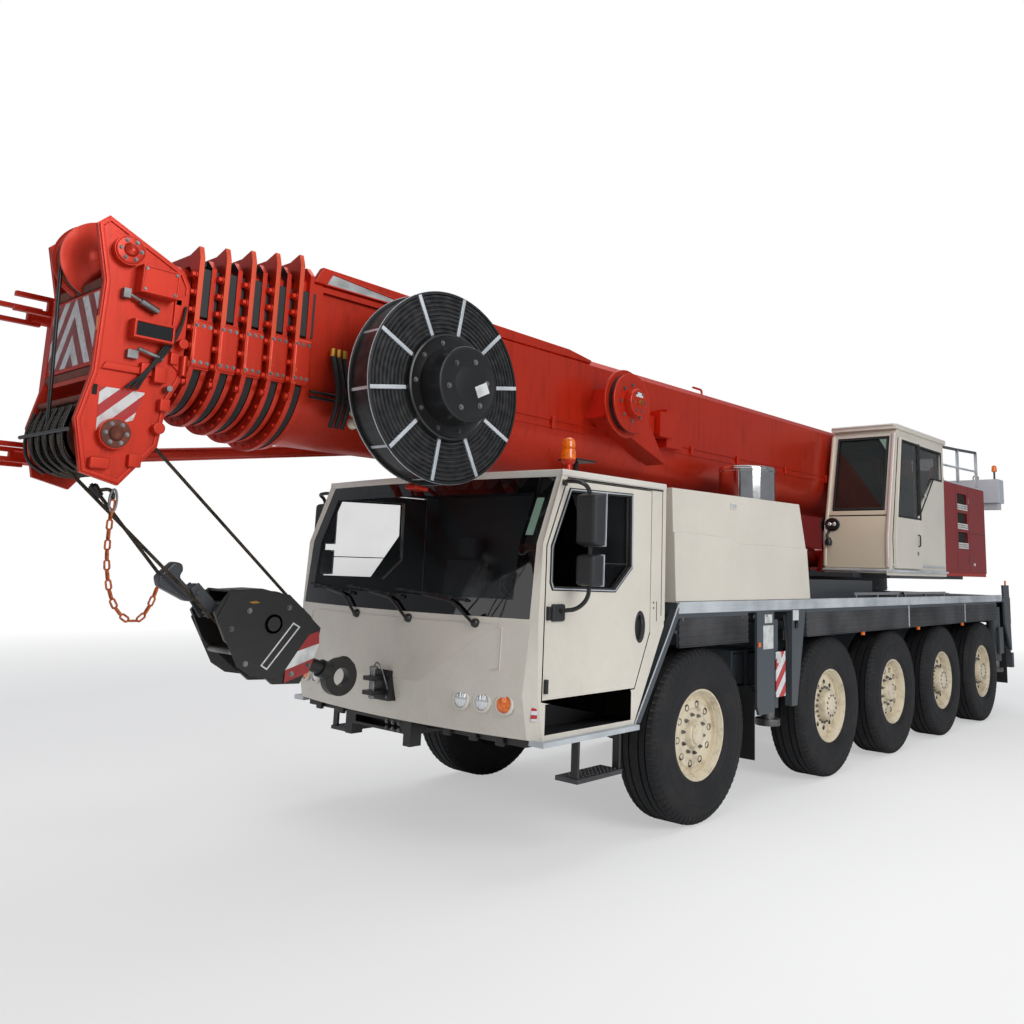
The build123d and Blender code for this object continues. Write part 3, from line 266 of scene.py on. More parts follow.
BEVEL_ANGLE, SMOOTH_ANGLE, WHEEL_ANGLE = math.radians(30), math.radians(50), math.radians(35)
FLAT_ANGLE = math.radians(0.6)


def ease(piece, width, segments=2):
    """Round the sharp edges and shade them smooth, with flat faces left flat."""
    if width:
        modify(piece, "BEVEL", width=width, segments=segments, limit_method="ANGLE",
               angle_limit=BEVEL_ANGLE, miter_outer="MITER_ARC")
    pick(piece)
    bpy.ops.object.shade_smooth_by_angle(angle=SMOOTH_ANGLE)
    return modify(piece, "WEIGHTED_NORMAL", keep_sharp=True)


def face_out(piece, weld=0.0001):
    """Merge doubles and turn every face outwards."""
    edit(piece)
    bpy.ops.mesh.select_all(action="SELECT")
    bpy.ops.mesh.remove_doubles(threshold=weld)
    bpy.ops.mesh.normals_make_consistent(inside=False)
    clear()
    return piece


def cut_box(name, low, high):
    """A box between two corners."""
    clear()
    low, high = Vector(low), Vector(high)
    bpy.ops.mesh.primitive_cube_add(size=1, location=(low + high) / 2, scale=high - low)
    piece = bpy.context.object
    piece.name = name
    return settle(piece)


def turned_bar(name, start, end, radius, sides=24, end_radius=None):
    """A round or tapered bar between two points."""
    clear()
    start, end = Vector(start), Vector(end)
    axis = end - start
    tip = radius if end_radius is None else end_radius
    bpy.ops.mesh.primitive_cone_add(vertices=sides, radius1=radius, radius2=tip, depth=axis.length,
                                    location=(start + end) / 2,
                                    rotation=axis.to_track_quat("Z", "Y").to_euler())
    piece = bpy.context.object
    piece.name = name
    return settle(piece)


def drawn_line(name, points, closed=False):
    """A line of edges through the points, drawn by extruding one vertex."""
    clear()
    bpy.ops.mesh.primitive_plane_add(size=0.001, location=points[0])
    piece = bpy.context.object
    piece.name = name
    settle(piece)
    edit(piece, "VERT")
    bpy.ops.mesh.select_all(action="SELECT")
    bpy.ops.mesh.merge(type="CENTER")
    for start, end in zip(points, points[1:]):
        bpy.ops.mesh.extrude_region_move(TRANSFORM_OT_translate={"value": Vector(end) - Vector(start)})
    if closed:
        bpy.ops.mesh.select_all(action="SELECT")
        bpy.ops.mesh.edge_face_add()
    return piece


def plate(name, points, thickness):
    """A flat plate: an outline, filled and extruded by the thickness vector."""
    piece = drawn_line(name, points, closed=True)
    bpy.ops.mesh.extrude_region_move(TRANSFORM_OT_translate={"value": Vector(thickness)})
    return face_out(piece)


def prism(name, points, y0, y1):
    """An outline of (x, z) points from the first axle, as thick as from y0 to y1."""
    return plate(name, along(points, y0), (0, y1 - y0, 0))


def slab(name, x0, x1, y0, y1, z0, z1):
    """A box given from the first axle."""
    return cut_box(name, at(min(x0, x1), min(y0, y1), z0), at(max(x0, x1), max(y0, y1), z1))


def both(name, left):
    """The piece and its mirror image, as one mesh."""
    return joined(name, [left, mirrored(left)])


def framed(name, points, width, thickness):
    """A flat frame: an outline, inset by its width, opened and given its thickness."""
    piece = drawn_line(name, points, closed=True)
    bpy.ops.mesh.inset(thickness=width)
    bpy.ops.mesh.delete(type="FACE")
    bpy.ops.mesh.select_all(action="SELECT")
    bpy.ops.mesh.extrude_region_move(TRANSFORM_OT_translate={"value": Vector(thickness)})
    return face_out(piece)


def turned(name, centre, axis, profile, steps=48):
    """A turned part: (along the axis, radius) points, spun about the axis through the centre."""
    centre, axis = Vector(centre), Vector(axis).normalized()
    out = axis.orthogonal().normalized()
    piece = drawn_line(name, [centre + axis * along_it + out * radius for along_it, radius in profile])
    bpy.ops.mesh.select_all(action="SELECT")
    bpy.ops.mesh.spin(steps=steps, angle=math.tau, center=centre, axis=axis, use_auto_merge=False)
    return face_out(piece)


def pipe(name, points, radius, bend=0.0, sides=12):
    """A round pipe along the points, with bent corners and closed ends."""
    piece = drawn_line(name, points)
    if bend and len(points) > 2:
        edit(piece, "VERT")
        mesh = bmesh.from_edit_mesh(piece.data)
        for vertex in mesh.verts:
            vertex.select_set(len(vertex.link_edges) == 2)
        mesh.select_flush_mode()
        bmesh.update_edit_mesh(piece.data)
        bpy.ops.mesh.bevel(offset=bend, segments=5, affect="VERTICES", clamp_overlap=True)
    pick(piece)
    bpy.ops.object.convert(target="CURVE")
    piece = bpy.context.object
    piece.data.bevel_depth = radius
    piece.data.bevel_resolution = max(1, sides // 4)
    piece.data.use_fill_caps = True
    bpy.ops.object.convert(target="MESH")
    piece = bpy.context.object
    piece.name = name
    face_out(piece)
    return ease(piece, 0)


def bolt(place, axis, radius=0.014, height=0.012):
    """A hexagon head on its washer."""
    axis = Vector(axis).normalized()
    washer = turned_bar("washer", place, Vector(place) + axis * height * 0.3, radius * 1.35, 14)
    head = turned_bar("bolt", place, Vector(place) + axis * height, radius, 6, radius * 0.93)
    return joined("bolt", [head, washer])


def bolts(places, axis, radius=0.014, height=0.012):
    """Many bolts as one mesh."""
    first = bolt(places[0], axis, radius, height)
    row = [first] + [moved(copied(first), Vector(place) - Vector(places[0])) for place in places[1:]]
    return joined("bolts", row)


def painted(piece, material):
    """The piece in one material, kept when it is joined to others."""
    piece.data.materials.clear()
    piece.data.materials.append(material)
    return piece


def clad(piece, material, width=0.0, segments=2):
    """The piece with eased edges, in one material."""
    return painted(ease(piece, width, segments), material)


def dropped(piece, test):
    """Delete the faces that pass the test."""
    choose_faces(piece, test)
    bpy.ops.mesh.delete(type="FACE")
    clear()
    return piece


def repainted(piece, material, test):
    """Give the faces that pass the test another material."""
    piece.data.materials.append(material)
    index = len(piece.data.materials) - 1
    for face in piece.data.polygons:
        if test(face.center, face.normal):
            face.material_index = index
    return piece


def copied(piece, name=None):
    """A copy with its own mesh."""
    copy = piece.copy()
    copy.data = piece.data.copy()
    copy.name = name or piece.name
    bpy.context.collection.objects.link(copy)
    return copy


def moved(piece, offset):
    piece.data.transform(Matrix.Translation(Vector(offset)))
    return piece


def rotated(piece, angle, axis, centre):
    """Turn the mesh about a line through the centre."""
    centre = Vector(centre)
    turn = Matrix.Translation(centre) @ Matrix.Rotation(angle, 4, Vector(axis)) @ Matrix.Translation(-centre)
    piece.data.transform(turn)
    return piece


def mirrored(piece, name=None):
    """The same piece on the crane's other side."""
    copy = copied(piece, name)
    copy.data.transform(Matrix.Scale(-1, 4, Vector(LEFT)))
    edit(copy)
    bpy.ops.mesh.select_all(action="SELECT")
    bpy.ops.mesh.flip_normals()
    clear()
    return copy


def ringed(piece, count, axis, centre, start=0.0):
    """The piece in a ring of equal turns, as one mesh."""
    ring = [rotated(copied(piece), start + math.tau * number / count, axis, centre)
            for number in range(count)]
    bpy.data.objects.remove(piece)
    return joined(ring[0].name.split(".")[0], ring)


def joined(name, pieces):
    """Several pieces as one mesh."""
    pick(*pieces)
    if len(pieces) > 1:
        bpy.ops.object.join()
    piece = bpy.context.object
    piece.name = piece.data.name = name
    return piece


def refined(node, width=0.006, segments=2, flatten=True):
    """A merged copy of a CAD node's mesh, with eased edges."""
    piece = copied(NODES[node], node + "_skin")
    piece.parent = None
    for key in list(piece.keys()):
        del piece[key]
    face_out(piece, 0.00002)
    if flatten:
        edit(piece)
        bpy.ops.mesh.select_all(action="SELECT")
        bpy.ops.mesh.dissolve_limited(angle_limit=FLAT_ANGLE)
        clear()
    return ease(piece, width, segments)


def done(piece, material, body, slot=None, replaces=()):
    """Give the piece its finish and let it ride on its body."""
    if material is not None:
        piece.data.materials.clear()
        piece.data.materials.append(material)
    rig.ride(piece, body)
    if slot:
        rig.slot(piece, slot)
    if replaces:
        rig.replaces(piece, *replaces)
    return piece


def body_of(node):
    return NODES[node]["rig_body"]


def dress(node, material, slot=None, width=0.006):
    """An eased copy stands for the node."""
    return done(refined(node, width), material, body_of(node), slot, [node])


def skin(node, material, width=0.004, flatten=True):
    """An eased copy of the node in one material, to be worked on further."""
    return painted(refined(node, width, flatten=flatten), material)


# ------------------------------------------------------------------------------------------------
# shader maths
class Socket:
    """One output of a node, with Python's arithmetic."""

    def __init__(self, shader, output):
        self.shader, self.output = shader, output

    def _math(self, operation, *others):
        return self.shader.node("ShaderNodeMath", {"operation": operation}, *others)

    def __add__(self, other):
        return self._math("ADD", self, other)

    __radd__ = __add__

    def __mul__(self, other):
        return self._math("MULTIPLY", self, other)

    __rmul__ = __mul__

    def __rsub__(self, other):
        return self._math("SUBTRACT", other, self)

    def __pow__(self, other):
        return self._math("POWER", self, other)

    def __gt__(self, other):
        return self._math("GREATER_THAN", self, other)

    def repeat(self, period):
        return self._math("WRAP", self, period, 0.0)

    def sine(self):
        return self._math("SINE", self)

    def absolute(self):
        return self._math("ABSOLUTE", self)

    def least(self, other):
        return self._math("MINIMUM", self, other)

    def most(self, other):
        return self._math("MAXIMUM", self, other)

    def between(self, low, high):
        """0 below low, 1 above high, even in between."""
        return self.shader.node("ShaderNodeMapRange", {"clamp": True}, self, low, high)


class Shader:
    """One material, built up node by node."""

    def __init__(self, name):
        self.material = bpy.data.materials.new(name)
        self.material.use_nodes = True
        self.tree = self.material.node_tree
        self.principled = self.tree.nodes["Principled BSDF"]
        self.place = Socket(self, self._coordinates())
        parts = self._new("ShaderNodeSeparateXYZ", {}, (self.place,), {})
        self.x, self.y, self.z = (Socket(self, parts.outputs[i]) for i in range(3))

    def _coordinates(self):
        node = self.tree.nodes.new("ShaderNodeTexCoord")
        return node.outputs["Object"]

    def _link(self, socket, value):
        if isinstance(value, Socket):
            self.tree.links.new(value.output, socket)
        elif socket.type == "RGBA":
            socket.default_value = (*value[:3], 1)
        else:
            socket.default_value = value

    def _new(self, kind, settings, values, named):
        node = self.tree.nodes.new(kind)
        for name, value in settings.items():
            setattr(node, name, value)
        for socket, value in zip(node.inputs, values):
            self._link(socket, value)
        for name, value in named.items():
            self._link(node.inputs[name.replace("_", " ")], value)
        return node

    def node(self, kind, settings, *values, **named):
        """A node's first output: its settings come first, then its input values or links."""
        return Socket(self, self._new(kind, settings, values, named).outputs[0])

    def blend(self, first, second, factor):
        """A colour between two."""
        node = self.tree.nodes.new("ShaderNodeMix")
        node.data_type = "RGBA"
        self._link(node.inputs[0], factor)
        self._link(node.inputs[6], first)
        self._link(node.inputs[7], second)
        return Socket(self, node.outputs[2])

    def noise(self, scale, detail=3.0, stretch=(1, 1, 1), roughness=0.5):
        """Cloudy values about 0.5 at this many cells a metre."""
        place = self.place
        if stretch != (1, 1, 1):
            place = self.node("ShaderNodeMapping", {}, place, Scale=stretch)
        return self.node("ShaderNodeTexNoise", {}, place, Scale=scale, Detail=detail, Roughness=roughness)

    def cells(self, scale):
        """How far the nearest of many scattered points is."""
        return self.node("ShaderNodeTexVoronoi", {}, self.place, Scale=scale)

    def bump(self, height, distance, strength):
        return self.node("ShaderNodeBump", {}, Height=height, Distance=distance, Strength=strength)

    def finish(self, **values):
        """Set the surface's own sockets."""
        for name, value in values.items():
            self._link(self.principled.inputs[name.replace("_", " ")], value)
        return self.material


def tone(red, green, blue):
    """A colour written as 0 to 255, as linear light."""
    def linear(value):
        value /= 255
        return value / 12.92 if value <= 0.04045 else ((value + 0.055) / 1.055) ** 2.4
    return (linear(red), linear(green), linear(blue))


def scaled(colour, share):
    return tuple(channel * share for channel in colour)


GRAIN = 0.0004


def paint(name, colour, gloss, coat, dust, streaks=0.0, metal=0.0):
    """Sprayed paint: faint mottling, road dust low down, thin scratches and orange peel."""
    s = Shader(name)
    cloud = s.noise(1.3, 5, roughness=0.6)
    speck = s.noise(38, 4, roughness=0.7)
    runs = s.noise(6, 4, stretch=(3, 3, 0.35), roughness=0.65)
    low = 1 - s.z.between(0.5, 1.9)
    dirt = (cloud.between(0.35, 0.75) * 0.5 + speck.between(0.5, 0.8) * 0.35) * (low * 0.8 + 0.2) * dust
    scratch = s.noise(22, 6, stretch=(1, 1, 9), roughness=0.8).between(0.70, 0.74) * 0.25
    base = s.blend(colour, scaled(colour, 0.82), cloud.between(0.3, 0.7) * 0.5)
    base = s.blend(base, tone(120, 108, 92), dirt)
    if streaks:
        base = s.blend(base, scaled(colour, 0.45), runs.between(0.52, 0.72) * streaks)
    base = s.blend(base, scaled(colour, 1.25), scratch)
    rough = gloss + dirt * 0.5 + speck * 0.08
    peel = s.bump(s.noise(180, 2), GRAIN, 0.25)
    return s.finish(Base_Color=base, Roughness=rough, Metallic=metal, Coat_Weight=coat - dirt * 0.5,
                    Coat_Roughness=0.12, Normal=peel)


def clouded(name, first, second, noise, spread, rough, rough_cloud, values):
    """Two tones in clouds; bump is the cloud's relief: its distance and strength."""
    s = Shader(name)
    cloud = s.noise(*noise)
    values = dict(values)
    if "bump" in values:
        values["Normal"] = s.bump(cloud, *values.pop("bump"))
    share = cloud.between(*spread) if spread else cloud
    return s.finish(Base_Color=s.blend(tone(*first), tone(*second), share),
                    Roughness=rough + cloud * rough_cloud if rough_cloud else rough, **values)


# plain paints: the material's name, its colour and how it is sprayed
PAINTS = {
    "cream_light": ("pale_roof_paint", (226, 222, 212), dict(gloss=0.35, coat=0.4, dust=0.3)),
    "cream_warm": ("warm_cream_paint", (218, 208, 184), dict(gloss=0.32, coat=0.4, dust=0.2)),
    "pillar": ("pillar_paint", (206, 190, 182), dict(gloss=0.22, coat=0.8, dust=0.1)),
    "pale_grey": ("counterweight_paint", (198, 204, 210), dict(gloss=0.4, coat=0.3, dust=0.3)),
    "dark_grey": ("dark_grey_paint", (58, 62, 66), dict(gloss=0.42, coat=0.25, dust=0.4)),
    "black": ("black_paint", (16, 17, 19), dict(gloss=0.36, coat=0.2, dust=0.25)),
    "sign_red": ("sign_red", (150, 20, 24), dict(gloss=0.35, coat=0.5, dust=0.2)),
    # painted highlight: a lighter red for the lit outer edge faces of the boom collars
    "red_edge": ("worn_collar_edge", (226, 84, 52), dict(gloss=0.35, coat=0.1, dust=0.2, metal=0.4)),
}
# two tones in clouds: the material's name, its tones, the noise, how far apart the tones lie, the roughness, what
# the cloud adds to it, and the other values
CLOUDED = {
    "steel": ("worked_steel", (150, 150, 150), (92, 90, 88), (7, 5), (0.35, 0.7), 0.3, 0.25, dict(Metallic=0.85)),
    "chrome": ("bright_chrome", (225, 226, 228), (190, 188, 186), (12, 3), None, 0.06, 0.08, dict(Metallic=1.0)),
    "heat_steel": ("browned_steel", (150, 138, 122), (94, 66, 48), (9, 5), (0.3, 0.7), 0.35, 0.25, dict(Metallic=0.8)),
    "guard": ("guard_aluminium", (104, 104, 106), (58, 58, 60), (2.0, 5), (0.3, 0.7), 0.4, 0.15, dict(Metallic=0.7)),
    "brass": ("brass_fitting", (206, 160, 70), (150, 108, 44), (25, 3), None, 0.28, 0.2, dict(Metallic=0.9)),
    "roller": ("rusted_roller", (128, 62, 44), (74, 50, 42), (11, 6, (1, 1, 1), 0.7), (0.35, 0.7), 0.45, 0.25,
               dict(Metallic=0.3, bump=(0.002, 0.3))),
    "rubber": ("black_rubber", (20, 20, 22), (38, 38, 38), (45, 4), None, 0.55, 0.2, dict(bump=(0.0008, 0.3))),
    "cable": ("cable_sheath", (18, 19, 21), (52, 52, 52), (16, 4), (0.4, 0.75), 0.38, 0.2, dict(Coat_Weight=0.2)),
    "pale_plate": ("blank_plate", (216, 218, 216), (172, 174, 174), (14, 4), (0.4, 0.8), 0.35, 0.2, {}),
    "slot": ("slot_backing", (206, 208, 208), (150, 152, 152), (9, 4), (0.3, 0.7), 0.6, 0, {}),
    "screen": ("dark_screen", (10, 11, 12), (22, 23, 25), (6, 3), None, 0.12, 0, dict(Coat_Weight=0.8)),
    "pale_green": ("pale_green_label", (132, 158, 140), (112, 138, 124), (20, 3), None, 0.5, 0, {}),
    # painted shade: a dark finish that stands for the shade inside holes and openings
    "dark_hole": ("dark_opening", (14, 13, 13), (40, 34, 28), (30, 3), None, 0.8, 0, {}),
    "mirror": ("mirror_glass", (220, 226, 230), (205, 212, 216), (3, 2), None, 0.03, 0, dict(Metallic=1.0)),
}
# paints whose colour is a setting: the material's name, the setting and how it is sprayed
SET_PAINTS = {
    "cream": ("cream_paint", "cream", dict(gloss=0.3, coat=0.6, dust=0.45)),
    "red": ("boom_red_paint", "boom_red", dict(gloss=0.34, coat=0.2, dust=0.3, streaks=0.4, metal=0.5)),
    "dark_red": ("tank_red_paint", "tank_red", dict(gloss=0.34, coat=0.15, dust=0.2, metal=0.4)),
    "grey": ("frame_grey_paint", "frame_grey", dict(gloss=0.42, coat=0.25, dust=0.6)),
}


class Finishes:
    """Every material, made once when it is first asked for."""

    def __init__(self):
        self.made = {}

    def __getattr__(self, name):
        made = self.__dict__["made"]
        if name not in made:
            made[name] = self.make(name)
        return made[name]

    def make(self, name):
        if name in PAINTS:
            label, colour, spray = PAINTS[name]
            return paint(label, tone(*colour), **spray)
        if name in CLOUDED:
            return clouded(*CLOUDED[name])
        if name in SET_PAINTS:
            label, setting, spray = SET_PAINTS[name]
            return paint(label, getattr(bpy.context.scene.crane_colours, setting), **spray)
        return globals()["make_" + name]()


finish = Finishes()


def make_silver():
    """Brushed aluminium rail."""
    s = Shader("aluminium_rail")
    brushed = s.noise(60, 3, stretch=(0.05, 1, 4))
    cloud = s.noise(2.5, 4)
    base = s.blend(tone(226, 231, 235), tone(176, 184, 190), cloud.between(0.35, 0.7))
    return s.finish(Base_Color=base, Metallic=0.45, Roughness=0.34 + brushed * 0.18,
                    Normal=s.bump(brushed, 0.0006, 0.4))


def make_tyre():
    """Black rubber with moulded rings on the wall and dust in the tread."""
    s = Shader("tyre_rubber")
    cloud = s.noise(5, 5, roughness=0.7)
    fine = s.noise(60, 3)
    base = s.blend(tone(17, 18, 21), tone(46, 44, 42), cloud.between(0.45, 0.75) * 0.5)
    return s.finish(Base_Color=base, Roughness=0.62 + fine * 0.15, Normal=s.bump(fine, 0.001, 0.4))


def make_rim():
    """Cream rim paint with brown dust on it."""
    s = Shader("rim_paint")
    cloud = s.noise(9, 5, roughness=0.65)
    speck = s.noise(70, 3)
    grime = cloud.between(0.48, 0.72) * 0.55
    base = s.blend(tone(226, 214, 188), tone(120, 96, 66), grime)
    return s.finish(Base_Color=base, Roughness=0.4 + grime * 0.3 + speck * 0.05, Coat_Weight=0.3 - grime * 0.3)


def make_plastic():
    s = Shader("moulded_plastic")
    fine = s.noise(300, 2)
    cloud = s.noise(4, 3)
    return s.finish(Base_Color=s.blend(tone(30, 31, 33), tone(44, 45, 47), cloud),
                    Roughness=0.48 + cloud * 0.1, Normal=s.bump(fine, 0.0004, 0.5))


def make_fabric():
    """Seat cloth with a fine weave."""
    s = Shader("seat_cloth")
    weave = (s.x * 900).sine() * (s.z * 900).sine() + (s.y * 900).sine()
    cloud = s.noise(6, 4)
    return s.finish(Base_Color=s.blend(tone(46, 48, 54), tone(66, 68, 74), cloud),
                    Roughness=0.9, Normal=s.bump(weave, 0.0008, 0.3))


def make_glass():
    """Tinted safety glass with faint dust."""
    s = Shader("tinted_glass")
    dust = s.noise(3, 5).between(0.45, 0.8)
    return s.finish(Base_Color=tone(18, 26, 28), Roughness=0.02 + dust * 0.05, Alpha=0.16 + dust * 0.05,
                    Coat_Weight=1.0, Coat_Roughness=0.02)


GLASS_EDGE_Y, GLASS_EDGE_Z0, GLASS_EDGE_Z1 = 1.16, 1.765, 2.50


def make_windshield():
    """Clear in the middle, black enamel round the edge."""
    s = Shader("windshield_glass")
    out_y = s.y.absolute().between(GLASS_EDGE_Y - 0.003, GLASS_EDGE_Y)
    below = 1 - s.z.between(GLASS_EDGE_Z0, GLASS_EDGE_Z0 + 0.003)
    out_z = s.z.between(GLASS_EDGE_Z1 - 0.003, GLASS_EDGE_Z1).most(below)
    border = out_y.most(out_z)
    dust = s.noise(3, 5).between(0.45, 0.8)
    low = 1 - s.z.between(1.7, 2.1)
    return s.finish(Base_Color=s.blend(tone(38, 46, 48), tone(9, 9, 10), border), Roughness=0.03 + dust * 0.04,
                    Alpha=(border * 0.8 + 0.08 + dust * 0.03 + low * 0.10).least(1.0), Coat_Weight=0.25,
                    Coat_Roughness=0.02)


def stripes(name, first, second, slant):
    """Reflective sheet with even bands; slant is the vector across them, in bands a metre."""
    s = Shader(name)
    across = s.x * slant[0] + s.y * slant[1] + s.z * slant[2]
    base = s.blend(first, second, (across + 100).repeat(1.0) > 0.5)
    grime = s.noise(20, 4).between(0.5, 0.8)
    return s.finish(Base_Color=s.blend(base, tone(96, 88, 80), grime * 0.4), Roughness=0.3 + grime * 0.3,
                    Coat_Weight=0.4)


def make_warning_stripes():
    return stripes("warning_stripes", tone(224, 222, 220), tone(186, 24, 22), (7, 0, 7))


def make_chevrons():
    """Pale arrows on dark red, pointing down to the middle of each plate."""
    s = Shader("chevron_sheet")
    across = (s.z * 4.6 + s.y.absolute() * 6.6 + 40.2).repeat(1.0) > 0.5
    grime = s.noise(24, 4).between(0.45, 0.8)
    base = s.blend(s.blend(tone(134, 22, 22), tone(206, 206, 208), across), tone(90, 70, 62), grime * 0.45)
    return s.finish(Base_Color=base, Roughness=0.35 + grime * 0.3, Coat_Weight=0.3)


def make_board_stripes():
    return stripes("board_stripes", tone(226, 226, 228), tone(190, 20, 22), (5.2, 0, 5.2))


def make_board_stripes_y():
    return stripes("rear_board_stripes", tone(226, 226, 228), tone(190, 20, 22), (0, 5.2, 5.2))


def make_cab_glass():
    """Dark grey-green side glass."""
    s = Shader("grey_green_glass")
    dust = s.noise(3, 5).between(0.45, 0.8)
    return s.finish(Base_Color=tone(34, 42, 38), Roughness=0.03 + dust * 0.05, Alpha=0.5 + dust * 0.08,
                    Coat_Weight=1.0, Coat_Roughness=0.02)


def make_marker_stripes():
    """Red and white reflective bands, one above the other."""
    s = Shader("marker_stripes")
    red = (s.z * 20.0 + 0.2).repeat(1.0) > 0.5
    base = s.blend(tone(222, 222, 226), tone(178, 26, 22), red)
    return s.finish(Base_Color=base, Roughness=0.3 + s.noise(90, 2) * 0.1, Coat_Weight=0.6)


def make_lamp_clear():
    s = Shader("clear_lamp_glass")
    flutes = (s.y * 260).sine()
    return s.finish(Base_Color=tone(235, 238, 240), Metallic=0.55, Roughness=0.08, Coat_Weight=1.0,
                    Normal=s.bump(flutes, 0.002, 0.5))


def lens(name, colour, glow):
    s = Shader(name)
    prisms = s.cells(55)
    base = s.blend(colour, scaled(colour, 0.5), prisms)
    return s.finish(Base_Color=base, Roughness=0.15, Coat_Weight=1.0, Emission_Color=base,
                    Emission_Strength=glow, Normal=s.bump(prisms, 0.002, 0.5))


def make_amber():
    return lens("amber_lens", tone(255, 120, 10), 0.15)


def make_red_lens():
    return lens("red_lens", tone(190, 20, 14), 0.1)


def make_rope():
    """Greased wire rope: twisted strands and brown grime."""
    s = Shader("greased_wire_rope")
    lay = ((s.x + s.z) * 420 + s.y * 260).sine()
    cloud = s.noise(14, 5)
    base = s.blend(tone(112, 98, 82), tone(58, 50, 44), cloud.between(0.3, 0.7))
    base = s.blend(base, tone(24, 20, 18), lay.between(0.35, 1.0) * 0.7)
    return s.finish(Base_Color=base, Metallic=0.4, Roughness=0.5 + cloud * 0.2, Normal=s.bump(lay, 0.003, 0.7))


def make_chain():
    """Orange chain paint, worn to rusty steel."""
    s = Shader("orange_chain_paint")
    wear = s.noise(55, 5, roughness=0.7).between(0.48, 0.66)
    base = s.blend(tone(196, 92, 34), tone(92, 58, 40), wear)
    return s.finish(Base_Color=base, Roughness=0.45 + wear * 0.25, Metallic=wear * 0.5)


# ------------------------------------------------------------------------------------------------
# settings
class CraneColours(bpy.types.PropertyGroup):
    """Paint colours that a user would change."""
    cream: bpy.props.FloatVectorProperty(name="Cream", description="Carrier and cab paint", subtype="COLOR",
                                         size=3, min=0, max=1, default=tone(226, 220, 207))
    boom_red: bpy.props.FloatVectorProperty(name="Boom red", description="Boom and superstructure paint",
                                            subtype="COLOR", size=3, min=0, max=1, default=tone(208, 48, 20))
    tank_red: bpy.props.FloatVectorProperty(name="Tank red", description="Powerhouse paint", subtype="COLOR",
                                            size=3, min=0, max=1, default=tone(158, 26, 24))
    frame_grey: bpy.props.FloatVectorProperty(name="Frame grey", description="Chassis paint", subtype="COLOR",
                                              size=3, min=0, max=1, default=tone(66, 75, 82))


class CraneCamera(bpy.types.PropertyGroup):
    """Where the stage's camera stands."""
    place: bpy.props.FloatVectorProperty(name="Place", description="Where the camera stands", subtype="XYZ",
                                         unit="LENGTH", size=3, default=(8.6137, 5.482, 2.0005))
    heading: bpy.props.FloatProperty(name="Heading", description="Turn from +X, anticlockwise from above",
                                     subtype="ANGLE", default=math.radians(219.813))
    climb: bpy.props.FloatProperty(name="Climb", description="Upwards tilt of the view", subtype="ANGLE",
                                   default=math.radians(9.293))
    bank: bpy.props.FloatProperty(name="Bank", description="Turn of the picture about the view's axis",
                                  subtype="ANGLE", default=math.radians(1.602))
    lens: bpy.props.FloatProperty(name="Lens", description="Focal length in millimetres on a 36 mm sensor",
                                  default=31.68, min=10, max=200)
    shift: bpy.props.FloatVectorProperty(name="Shift", description="Sideways and upwards lens shift", size=2,
                                         default=(-0.0796, -0.0908))


# ------------------------------------------------------------------------------------------------
# stage
FLOOR_RADIUS = 200.0
FLOOR_FADE = 9.0
SKY, BACKDROP = (0.25, 0.26, 0.28, 1), (1, 1, 1, 1)
LAMP_AIM = (-2, 0, 1.8)
# lamps: name, place from the first axle, size in metres and power in watts
LAMPS = (("key", (3, 13, 8), 8.0, 1000), ("fill", (15, -4, 6), 8.0, 230), ("top", (-3, 0, 13), 12.0, 680),
         ("back", (-14, -10, 8), 9.0, 420))
SENSOR, NEAR, FAR = 36, 0.05, 500


